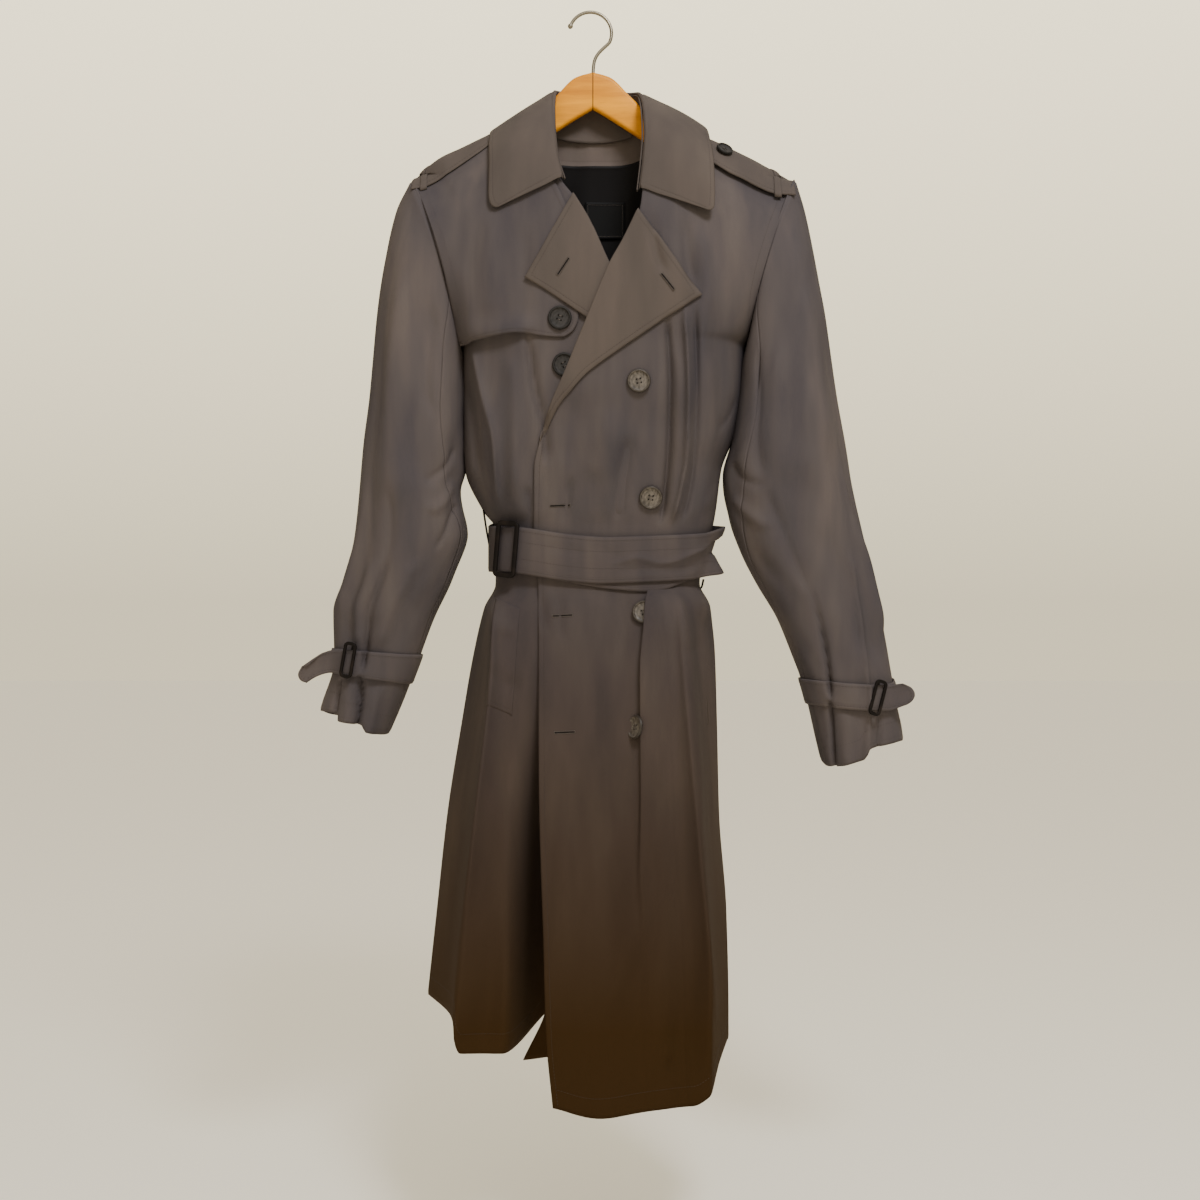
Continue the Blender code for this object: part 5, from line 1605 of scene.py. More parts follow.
@dataclass
class Sleeve:
    """A sleeve of two pieces, with its cuff edge."""

    side: Side
    rings: tuple[Ring, ...]
    bends: tuple[Bend, ...]
    creases: tuple[Crease, ...]
    waves: tuple[Wave, ...]
    seed: int
    front_seam: float = 118.0
    back_seam: float = 300.0
    radius: float = 52.0
    seam_turn: float = 0.02
    seam_swing: float = 42.0
    swing_span: Pair = (430.0, 650.0)
    crease_gain: float = 1.4
    bow: float = 8.0
    bow_length: float = 70.0
    hem_inset: float = 24.0
    wave_reach: float = 60.0
    tucks: tuple[Pair, ...] = ((6.0, 1.8), (3.6, 1.7), (1.4, 1.0))
    wall: float = 1.5
    top_columns: int = 70
    under_columns: int = 56
    lines: int = 150

    def __post_init__(self) -> None:
        """Make the curves of the tables."""
        self.table = Table(self.rings, "level")
        self.end = Table(self.waves, "angle")
        self.word = self.side.name.lower()
        self.ripple = Ripple(self.seed, 0.6, 55.0, 160.0)

    def rise(self, level: Array, angle: Array) -> Array:
        """Height of the folds and creases.

        Args:
            level: Places down the sleeve.
            angle: Degrees round it, from its outer side to the front.

        Returns:
            The height, outward.
        """
        total = np.zeros(np.broadcast(level, angle).shape)
        for bend in self.bends:
            run = bend.low_level - bend.top_level
            share = np.clip((level - bend.top_level) / run, 0.0, 1.0)
            middle = bend.top_angle + (bend.low_angle - bend.top_angle) * share
            around = np.radians((angle - middle + 180.0) % 360.0 - 180.0) * self.radius
            away = (around**2 + (0.6 * (level - bend.top_level - run * share)) ** 2) / bend.half_width**2
            total = total + (bend.top_rise + (bend.low_rise - bend.top_rise) * share) * np.exp(-away)
        turned = (angle + 100.0) % 360.0 - 100.0
        across = np.radians(turned) * self.radius
        for crease in self.creases:
            placed = tuple((math.radians(a) * self.radius, b) for a, b in crease.line)
            total = total + self.crease_gain * crease._replace(line=placed).rise(across, level + 0.0 * across)
        total = total + self.ripple.rise(np.abs(across), level)
        first, second = self.rings[0].level, self.rings[1].level
        return total * ramp(level, first, second + 30.0)

    def point(self, level: Array, angle: Array, lift: Array = 0.0) -> tuple[Array, Array]:
        """Points round the sleeve and the outward directions there.

        Args:
            level: Places down the sleeve.
            angle: Degrees round it.
            lift: Height above its face.

        Returns:
            Points and unit vectors.
        """
        level, angle = np.broadcast_arrays(np.asarray(level, float), np.asarray(angle, float))
        at = self.table.at
        outer = np.stack([at("outer_x", level), -at("outer_drop", level)], axis=-1)
        inner = np.stack([at("inner_x", level), -at("inner_drop", level)], axis=-1)
        front, back = at("front_y", level), at("back_y", level)
        power = 2.0 / at("fullness", level)
        turn = np.radians(angle)
        cos, sin = np.cos(turn), np.sin(turn)
        outward = np.sign(cos) * np.abs(cos) ** power
        forward = np.sign(sin) * np.abs(sin) ** power
        half = 0.5 * (outer - inner)
        width = np.linalg.norm(half, axis=-1)
        depth = 0.5 * (back - front)
        flat = 0.5 * (outer + inner) + half * outward[..., None]
        first = self.rings[0].level
        bowed = 1.0 - ramp(level, first, first + self.bow_length)
        flat[..., 0] -= self.side.value * self.bow * sin * sin * bowed
        leaning = np.sign(cos) * np.abs(cos) ** (2.0 - power) / width
        facing = np.sign(sin) * np.abs(sin) ** (2.0 - power) / depth
        axis = half / width[..., None]
        out = unit(np.stack([axis[..., 0] * leaning, -facing, axis[..., 1] * leaning], axis=-1))
        base = np.stack([flat[..., 0], 0.5 * (back + front) - depth * forward, flat[..., 1]], axis=-1)
        return base + out * (self.rise(level, angle) + lift)[..., None], out

    def build(self, threads: Stitching) -> None:
        """Make the top and the under sleeve.

        Args:
            threads: The coat's topstitching.
        """
        first, last = self.rings[0].level, self.rings[-1].level
        level = np.linspace(first, last, self.lines)[:, None]
        front = self.front_seam + self.seam_swing * ramp(level, *self.swing_span)
        back = np.full_like(level, self.back_seam)
        spans = (
            ("top_sleeve_", back - 360.0, front, self.top_columns),
            ("under_sleeve_", front, back, self.under_columns),
        )
        for name, begin, end, columns in spans:
            share = np.linspace(0.0, 1.0, columns + 1)[None, :]
            angle = begin + self.seam_turn + (end - begin - 2.0 * self.seam_turn) * share
            grid = self.point(level, angle)[0]
            extra = self.end.at("extra", (angle + 100.0) % 360.0 - 100.0)
            grid[..., 2] -= extra * ramp(level, last - self.wave_reach, last)
            start, out = self.point(first, angle[:1])
            toward = unit(start - self.point(first + 4.0, angle[:1])[0])
            tucked = [start + toward * reach - out * sink for reach, sink in self.tucks]
            grid = np.concatenate([*tucked, grid])
            piece = Cloth(name + self.word, grid, self.wall, SLEEVE_CLOTH, around=True)
            piece.edges = (Border.LAST_ROW,)
            piece.build()
            piece.sew(threads, Border.LAST_ROW, self.hem_inset)


def sleeves() -> dict[Side, Sleeve]:
    """Both sleeves.

    Returns:
        The sleeves by side.
    """
    right = Sleeve(
        Side.RIGHT,
        (
            Ring(298, -212.8, 203.6, -153.5, 393, -62.5, 38, 2.0),
            Ring(326, -229, 237, -148.5, 414, -63, 42, 2.1),
            Ring(376, -242, 296, -147.5, 455, -62, 45, 2.3),
            Ring(426, -251, 361, -148.5, 491, -63, 46, 2.4),
            Ring(494, -260, 450, -148.5, 538, -63, 46, 2.4),
            Ring(534, -266.7, 503, -153.5, 564, -63, 45, 2.4),
            Ring(614, -277, 615, -146, 613.6, -62, 40, 2.4),
            Ring(670, -291, 668, -165, 668, -58, 37, 2.4),
            Ring(708, -302, 704, -185, 711, -54, 33, 2.3),
            Ring(742, -301.5, 739, -197, 744.6, -50, 30, 2.2),
            Ring(767, -302, 762, -206.5, 772, -48, 30, 2.2),
            Ring(834, -318.6, 822.5, -238, 845, -45, 30, 2.2),
        ),
        (
            Bend(330, 62, 560, 78, 16, 2, 5),
            Bend(420, 40, 720, 52, 15, -2, -7),
            Bend(560, 96, 700, 84, 15, 5, 4),
            Bend(480, 150, 640, 135, 14, -5, -3),
            Bend(500, 275, 690, 300, 20, -5, -5),
            Bend(360, 320, 620, 310, 22, 3, 5),
        ),
        (
            Crease(((104, 330), (98, 400), (104, 470)), 7, -2.2, -3.0),
            Crease(((70, 350), (60, 440), (66, 540)), 9, 2.2, 2.0, 0.25),
            Crease(((150, 470), (128, 520), (104, 552)), 6, -3.4, -2.4, 0.2, PINCHED),
            Crease(((156, 520), (132, 566), (106, 590)), 7, 3.0, 2.2),
            Crease(((160, 560), (136, 600), (118, 640)), 6, -3.2, -2.4, 0.2, PINCHED),
            Crease(((74, 560), (80, 650), (84, 740)), 7, -2.6, -4.2, 0.15, PINCHED),
            Crease(((36, 560), (30, 640), (38, 720)), 9, 2.2, 2.4),
            Crease(((82, 640), (80, 706), (84, 778)), 3.2, -1.0, -11.0, 0.15, PINCHED),
            Crease(((64, 640), (66, 700), (70, 750)), 6, 2.2, 3.0),
            Crease(((104, 640), (98, 700), (94, 750)), 7, 2.4, 3.6),
            Crease(((80, 778), (92, 806), (112, 870)), 2.8, -7.0, -11.0, 0.08, PINCHED),
            Crease(((48, 786), (58, 812), (76, 870)), 3.4, -4.0, -7.5, 0.1, PINCHED),
            Crease(((62, 784), (78, 812), (96, 870)), 8, 1.6, 4.0, 0.15),
            Crease(((104, 784), (118, 830), (136, 880)), 9, 1.6, 4.0, 0.15),
            Crease(((220, 450), (236, 540), (246, 640)), 8, -3.0, -3.4, 0.2, PINCHED),
            Crease(((-50, 540), (-40, 600), (-20, 640)), 7, -2.4, -2.8, 0.25, PINCHED),
        ),
        (
            Wave(-100, 0), Wave(-40, 2), Wave(0, -2), Wave(30, -4), Wave(63, -7), Wave(70, 1),
            Wave(106, -2), Wave(113, 5), Wave(150, 4), Wave(200, 1), Wave(260, 2),
        ),
        31,
    )
    left = Sleeve(
        Side.LEFT,
        (
            Ring(298, 239, 203.6, 180.5, 393, -62.5, 38, 2.0),
            Ring(328, 249, 237, 174.0, 420, -63, 42, 2.1),
            Ring(378, 261, 296, 169.5, 461, -62, 45, 2.3),
            Ring(426, 271, 349, 164, 503, -63, 46, 2.4),
            Ring(492, 284, 438, 153.5, 547, -63, 46, 2.4),
            Ring(556, 298.5, 520, 159.5, 591, -63, 44, 2.4),
            Ring(610, 310, 588, 172.5, 631, -62, 40, 2.4),
            Ring(660, 325.7, 652.5, 191.5, 668, -58, 37, 2.4),
            Ring(715, 338.7, 715, 218, 715, -54, 33, 2.3),
            Ring(759, 347, 756, 237, 762, -50, 30, 2.2),
            Ring(804, 355, 803.6, 251, 803.6, -48, 30, 2.2),
            Ring(870, 365, 861, 269, 878, -45, 30, 2.2),
        ),
        (
            Bend(330, 60, 540, 80, 16, 2, 5),
            Bend(560, 46, 740, 52, 15, -4, -7),
            Bend(500, 70, 700, 34, 14, 3, 5),
            Bend(470, 152, 640, 138, 14, -5, -3),
            Bend(500, 275, 700, 300, 20, -5, -5),
            Bend(360, 320, 640, 310, 22, 3, 5),
        ),
        (
            Crease(((122, 350), (114, 440), (112, 540)), 6, -3.4, -3.2, 0.15, PINCHED),
            Crease(((98, 380), (94, 470), (98, 560)), 8, 2.6, 2.4),
            Crease(((112, 540), (104, 620), (102, 690)), 6, -3.0, -2.4, 0.2, PINCHED),
            Crease(((156, 480), (130, 524), (108, 548)), 6, -3.2, -2.2, 0.2, PINCHED),
            Crease(((160, 530), (134, 572), (112, 600)), 6, 2.6, 2.0),
            Crease(((62, 360), (52, 460), (56, 560)), 10, 2.0, 2.2, 0.25),
            Crease(((30, 430), (24, 540), (28, 640)), 10, -2.0, -2.6),
            Crease(((38, 560), (26, 650), (22, 740)), 7, 2.4, 2.8, 0.2, PINCHED),
            Crease(((70, 600), (74, 680), (70, 760)), 9, -2.2, -3.0),
            Crease(((98, 670), (108, 740), (121, 808)), 3.2, -1.0, -11.0, 0.15, PINCHED),
            Crease(((122, 806), (132, 845), (148, 900)), 2.8, -7.0, -11.0, 0.08, PINCHED),
            Crease(((54, 640), (62, 720), (76, 800), (96, 900)), 4.5, 3.0, 5.0, 0.1, PINCHED),
            Crease(((60, 818), (70, 850), (84, 900)), 4, -3.0, -5.0, 0.1, PINCHED),
            Crease(((104, 815), (112, 850), (124, 900)), 9, 1.6, 3.4, 0.15),
            Crease(((222, 460), (236, 550), (244, 650)), 8, -3.0, -3.4, 0.2, PINCHED),
            Crease(((-52, 560), (-40, 620), (-22, 660)), 7, -2.4, -2.8, 0.25, PINCHED),
        ),
        (
            Wave(-100, 0), Wave(-40, -2), Wave(0, -6), Wave(40, -7.5), Wave(86, -7), Wave(95, 5),
            Wave(128, 8), Wave(155, 7), Wave(175, 2), Wave(210, 0), Wave(260, 2),
        ),
        47,
    )
    return {Side.RIGHT: right, Side.LEFT: left}


class Station(NamedTuple):
    """A place along the collar: its neck seam, its roll and the outer edge of its leaf."""

    neck_x: float
    neck_y: float
    neck_drop: float
    roll_x: float
    roll_y: float
    roll_drop: float
    edge_x: float
    edge_y: float
    edge_drop: float
    swell: float
    lean: float


@dataclass
class Collar:
    """The stand, which rises from the neck, and the fall, which rolls over it."""

    roll_axis: Pair = (5.0, 5.0)
    roll_radius: float = 2.2
    corner_radius: float = 9.0
    stand_inset: float = 5.0
    stand_short: float = 2.0
    stand_tuck: float = 0.16
    wall: float = 1.5
    inset: float = 6.0
    stations: tuple[Station, ...] = (
        Station(-31.5, -63.5, 213, -34, -73, 212, -112, -75, 250, 1, 0),
        Station(-41, -58, 188, -41, -66, 183, -117.5, -70, 231, 3, 5),
        Station(-48, -44, 150, -44.5, -49, 142, -118, -57, 192, 6, 25),
        Station(-54.5, -27, 125, -46, -24, 110, -120, -31, 158, 4, 60),
        Station(-58, 0, 101, -46, 3, 91, -120, 3, 138.5, 1.5, 90),
        Station(-43, 13.5, 135, -34, 22, 87, -98, 34, 152, 4, 150),
        Station(2, 20.5, 139, 5, 28, 85, 4, 41, 154, 3, 180),
        Station(45, 13.5, 135, 44, 22, 88, 106, 34, 152, 4, 150),
        Station(58.5, 0, 99, 57, 4, 93, 134, 3, 134, 3.5, 90),
        Station(59, -34, 131, 61.5, -31, 115, 138, -32, 160, 5, 60),
        Station(58.5, -53, 166, 62.5, -58, 155, 140, -56, 190, 6, 25),
        Station(56, -61, 196, 60, -70, 189, 140, -71.5, 223, 4, 5),
        Station(52.5, -68, 228, 55.5, -78, 226, 138.5, -77, 253, 1, 0),
    )

    def build(self, threads: Stitching) -> None:
        """Make the stand and the fall.

        Args:
            threads: The coat's topstitching.
        """
        table = Table(self.stations)
        number = table.last * spaced(169, (0.0, 0.02, 5.0), (1.0, 0.02, 5.0))

        def spot(word: str) -> Array:
            """One of the three lines along the collar."""
            x, y, drop = (table.at(f"{word}_{axis}", number) for axis in ("x", "y", "drop"))
            return np.stack([x, y, -drop], axis=1)

        neck, roll, edge = spot("neck"), spot("roll"), spot("edge")
        reach = np.concatenate([[0.0], np.cumsum(np.linalg.norm(np.diff(edge, axis=0), axis=1))])
        near = np.minimum(np.minimum(reach, reach[-1] - reach), self.corner_radius)
        trimmed = self.corner_radius - np.sqrt(self.corner_radius**2 - (self.corner_radius - near) ** 2)
        edge = edge + unit(roll - edge) * trimmed[:, None]
        lean = np.radians(table.at("lean", number))
        out = np.stack([np.zeros_like(lean), -np.cos(lean), np.sin(lean)], axis=1)
        inward = np.zeros_like(roll)
        inward[:, 0], inward[:, 1] = self.roll_axis[0] - roll[:, 0], self.roll_axis[1] - roll[:, 1]
        inward = unit(inward)
        top = roll + inward * self.stand_inset
        top = top + unit(neck - top) * self.stand_short
        share = np.linspace(0.0, 1.0, 18)[None, :] * np.ones((len(number), 1))
        share = share - self.stand_tuck * ramp(lean, 1.6, 2.4)[:, None] * (1.0 - share)
        stand = neck[:, None] + (top - neck)[:, None] * share[..., None]
        up = np.array([0.0, 0.0, 1.0])
        middle = roll + inward * self.roll_radius
        ribs = []
        for turn in np.radians(np.linspace(-25.0, 165.0, 10)):
            ribs.append(middle + self.roll_radius * (inward * math.cos(turn) + up * math.sin(turn)))
        for part in np.linspace(0.03, 1.0, 46):
            bend = (4.0 * part * (1.0 - part) * table.at("swell", number))[:, None]
            crown = 1.2 * (1.0 - ramp(part, 0.0, 0.3)) * ramp(part, 0.0, 0.06)
            soft = 0.5 * math.sin(math.pi * part) * np.sin(number * 2.1 + 3.0 * part)[:, None]
            ribs.append(roll + (edge - roll) * part + out * (bend + soft) + up * crown)
        fall = np.stack(ribs, axis=1)
        top_edge = (Border.LAST_COLUMN,)
        Cloth("collar_stand", stand, self.wall, COLLAR_CLOTH, Held.FOLDED, edges=top_edge).build()
        edges = (Border.FIRST_ROW, Border.LAST_ROW, Border.LAST_COLUMN)
        leaf = Cloth("collar_fall", fall, self.wall, COLLAR_CLOTH, Held.FOLDED, edges=edges)
        leaf.build()
        for border in edges:
            span = slice(0 if border is Border.LAST_COLUMN else 12, None)
            leaf.sew(threads, border, self.inset, self.inset, span)


class Leaf(NamedTuple):
    """A line across a lapel, from its roll to its outer edge."""

    roll_x: float
    roll_drop: float
    edge_x: float
    edge_drop: float


@dataclass
class Lapel:
    """A turned-back lapel, rolled over the front edge."""

    node: str
    face: Face
    leaves: tuple[Leaf, ...]
    lift: float
    hole: Buttonhole
    wall: float = 1.4
    inset: float = 6.0
    lines: int = 90
    columns: int = 44
    roll_columns: int = 8

    def build(self, threads: Stitching, pale: Stitching, slit: Stitching) -> None:
        """Make the lapel and its buttonhole.

        Args:
            threads: The coat's topstitching.
            pale: The buttonholes' thread.
            slit: The dark bars that paint the shadow in the buttonholes' slits.
        """
        table = Table(self.leaves)
        number = np.linspace(0.0, table.last, self.lines)[:, None]
        roll_x, roll_drop = table.at("roll_x", number), table.at("roll_drop", number)
        run_x, run_drop = table.at("edge_x", number) - roll_x, table.at("edge_drop", number) - roll_drop
        length = np.maximum(np.hypot(run_x, run_drop), 1.0)
        share = np.concatenate([np.zeros(self.roll_columns), np.linspace(0.0, 1.0, self.columns)])[None, :]
        rolling = np.linspace(0.0, math.pi, self.roll_columns + 1)[:-1]
        turn = np.concatenate([rolling, np.full(self.columns, math.pi)])[None, :]
        high = self.lift * (1.0 - 0.7 * ramp(number, table.last - 2.0, table.last))
        round_out = 0.5 * high * np.sin(turn)
        x = roll_x + run_x * share - run_x / length * round_out
        drop = roll_drop + run_drop * share - run_drop / length * round_out
        belly = 1.6 * np.sin(math.pi * share) * np.sin(math.pi * number / table.last)
        lift = 0.5 * high * (1.0 - np.cos(turn)) + belly * (share > 0)
        grid = self.face.lay(x, drop, lift)
        edges = (Border.FIRST_ROW, Border.LAST_COLUMN)
        piece = Cloth(self.node, grid, self.wall, COLLAR_CLOTH, Held.FOLDED, edges=edges)
        piece.build()
        piece.sew(threads, Border.FIRST_ROW, self.inset, self.inset, slice(self.roll_columns, None))
        piece.sew(threads, Border.LAST_COLUMN, self.inset, self.inset, slice(None, -8))
        self.hole.work(self.face, self.lift + 1.3, pale, slit)


@dataclass
class StormFlap:
    """The extra layer that hangs over the right shoulder and chest."""

    face: Face
    lift: float = 3.4
    from_seam: float = 3.0
    hem_bow: float = 6.5
    inset: float = 6.0
    wall: float = 1.4
    lines: int = 100
    columns: int = 70
    rows: tuple[Row, ...] = (
        Row(209, 115), Row(218, 131), Row(232, 154), Row(250, 186), Row(272, 222), Row(300, 262),
        Row(330, 305), Row(362, 350), Row(382, 377), Row(397, 394),
    )
    edge: tuple[Edge, ...] = (
        Edge(112, -72), Edge(150, -66), Edge(186, -58), Edge(228, -36), Edge(268, -20), Edge(330, -14),
        Edge(374, -15), Edge(386, -20), Edge(394, -30),
    )
    creases: tuple[Crease, ...] = (
        Crease(((-118, 240), (-112, 310), (-116, 380)), 12, 1.8, 2.4),
        Crease(((-80, 260), (-74, 330), (-78, 390)), 10, -1.6, -2.2),
        Crease(((-150, 300), (-140, 350), (-130, 392)), 9, 2.0, 1.6, 0.25),
    )

    def build(self, threads: Stitching) -> None:
        """Make the flap.

        Args:
            threads: The coat's topstitching.
        """
        guide, centre = Table(self.rows), Table(self.edge, "drop")
        number = np.linspace(0.0, guide.last, self.lines)[:, None]
        side_drop, edge_drop = guide.at("side_drop", number), guide.at("edge_drop", number)
        share = np.linspace(0.0, 1.0, self.columns)[None, :] ** 1.1
        begin = self.face.form.side_x(Side.RIGHT, side_drop) + 1.5
        x = begin + (centre.at("x", edge_drop) - begin) * share
        drop = side_drop + (edge_drop - side_drop) * share
        low = ramp(number, 7.0, 9.0)
        raised = self.hem_bow * low * ramp(share, 0.0, 0.16) * (1.0 - ramp(share, 0.45, 0.95))
        drop = np.maximum(drop - raised, self.face.form.shoulder_drop(x) + self.from_seam)
        lift = self.lift + sum(crease.rise(x, drop) for crease in self.creases) * ramp(number, 1.0, 5.0)
        flare = (5.0 + 3.0 * np.sin(math.pi * share)) * (1.0 - 0.9 * ramp(share, 0.5, 0.75))
        grid = self.face.lay(x, drop, lift + low * flare)
        edges = (Border.LAST_ROW, Border.LAST_COLUMN)
        piece = Cloth("storm_flap", grid, self.wall, edges=edges)
        piece.build()
        for border in edges:
            piece.sew(threads, border, self.inset, self.inset)


class Strip(NamedTuple):
    """A cross section of an epaulette, at a reach along the shoulder."""

    reach: float
    front_reach: float
    back_reach: float
    ridge_lift: float
    front_lift: float
    back_lift: float


@dataclass
class Epaulette:
    """A shoulder strap, arched over the seam, and the keeper that it runs through."""

    side: Side
    form: Form
    strips: tuple[Strip, ...]
    keeper_reach: float
    keeper_width: float = 9.0
    keeper_clear: float = 1.6
    inset: float = 5.0
    wall: float = 1.4
    keeper_wall: float = 1.2
    step: float = 0.25

    def over(self, x: float, reach: Array, lift: Array) -> Array:
        """Points on the shoulder at path lengths forward, or back, from its top line.

        Args:
            x: The place along the shoulder.
            reach: The path lengths, negative to the back.
            lift: Height above the cloth.

        Returns:
            The points.
        """
        points = np.zeros((len(reach), 3))
        top = float(self.form.shoulder_drop(np.array(x)))
        for back in (False, True):
            chosen = reach < 0 if back else reach >= 0
            if not chosen.any():
                continue
            face = Face(self.form, back)
            drop = top + self.step * np.arange(320)
            y = face.y(np.full_like(drop, x), drop)
            length = np.concatenate([[0.0], np.cumsum(np.hypot(np.diff(y), self.step))])
            away = np.abs(reach[chosen])
            at = np.interp(away, length, drop)
            out = face.out(np.full_like(at, x), at + 0.5)
            upward = (1.0 - ramp(away, 0.0, 12.0))[:, None]
            out = unit(out * (1.0 - upward) + np.array([0.0, 0.0, 1.0]) * upward)
            spots = np.stack([np.full_like(at, x), np.interp(away, length, y), -at], axis=1)
            points[chosen] = spots + out * np.broadcast_to(lift, reach.shape)[chosen][:, None]
        return points

    def row(self, reach: float, columns: Array, extra: float = 0.0) -> Array:
        """A line across the strap, from its front edge at 1 to its back edge at -1.

        Args:
            reach: The place along the shoulder.
            columns: Places across the strap.
            extra: Height above it.

        Returns:
            The points.
        """
        table = Table(self.strips, "reach")
        front, back = table.at("front_reach", reach), table.at("back_reach", reach)
        edge = np.where(columns > 0, table.at("front_lift", reach), table.at("back_lift", reach))
        lift = edge + (table.at("ridge_lift", reach) - edge) * (1.0 - np.abs(columns) ** 1.6) + extra
        return self.over(self.side.value * reach, np.where(columns > 0, front, back) * columns, lift)

    def build(self, threads: Stitching) -> None:
        """Make the strap and its keeper.

        Args:
            threads: The coat's topstitching.
        """
        word = self.side.name.lower()
        columns = np.linspace(1.0, -1.0, 44)
        reaches = np.linspace(self.strips[0].reach, self.strips[-1].reach, 46)
        grid = np.stack([self.row(reach, columns) for reach in reaches])
        edges = (Border.FIRST_ROW, Border.FIRST_COLUMN, Border.LAST_COLUMN)
        piece = Cloth("epaulette_" + word, grid, self.wall, COLLAR_CLOTH, Held.FOLDED, edges=edges)
        piece.build()
        for border in edges:
            piece.sew(threads, border, self.inset, self.inset)
        table = Table(self.strips, "reach")
        half = self.keeper_width / 2
        rows = []
        for reach in np.linspace(self.keeper_reach - half, self.keeper_reach + half, 8):
            x = self.side.value * reach
            front, back = float(table.at("front_reach", reach)), float(table.at("back_reach", reach))
            front_lift, back_lift = float(table.at("front_lift", reach)), float(table.at("back_lift", reach))
            ahead = np.array([front + 4.5, front + 2.0])
            before = self.over(x, ahead, np.array([front_lift - 1.5, front_lift + 1.0]))
            behind = self.over(x, np.array([-back - 2.0, -back - 4.5]), np.array([back_lift + 1.0, 2.0]))
            across = self.row(reach, np.linspace(1.0, -1.0, 30), self.keeper_clear)
            rows.append(np.concatenate([before, across, behind]))
        name, grid = "epaulette_keeper_" + word, np.stack(rows)
        keeper = Cloth(name, grid, self.keeper_wall, COLLAR_CLOTH, Held.FOLDED)
        keeper.edges = (Border.FIRST_ROW, Border.LAST_ROW)
        keeper.build()


def epaulettes(form: Form) -> dict[Side, Epaulette]:
    """Both epaulettes.

    Args:
        form: The coat's shape.

    Returns:
        The epaulettes by side.
    """
    right = (
        Strip(115, 34, 12, 5.4, 5.4, 3.4),
        Strip(126, 36, 14, 7.0, 5.8, 3.4),
        Strip(149, 40, 15, 10.0, 6.0, 3.4),
        Strip(176, 42, 16, 12.5, 6.2, 3.8),
        Strip(196, 43, 17, 10.5, 6.0, 3.8),
        Strip(208.5, 43, 17, 7.0, 5.8, 3.4),
    )
    left = (
        Strip(131, 54, 12, 5.2, 6.0, 3.0),
        Strip(144, 56, 14, 6.8, 6.2, 3.2),
        Strip(170, 57, 15, 7.6, 6.4, 3.4),
        Strip(203, 56, 16, 6.8, 6.0, 3.6),
        Strip(222, 54, 17, 5.8, 5.6, 3.6),
        Strip(234.5, 52, 17, 4.8, 5.0, 3.4),
    )
    return {
        Side.RIGHT: Epaulette(Side.RIGHT, form, right, 194.0),
        Side.LEFT: Epaulette(Side.LEFT, form, left, 214.0),
    }


class BeltPoint(NamedTuple):
    """A place round the belt, by the angle from the right side over the front."""

    angle: float
    drop: float
    lift: float


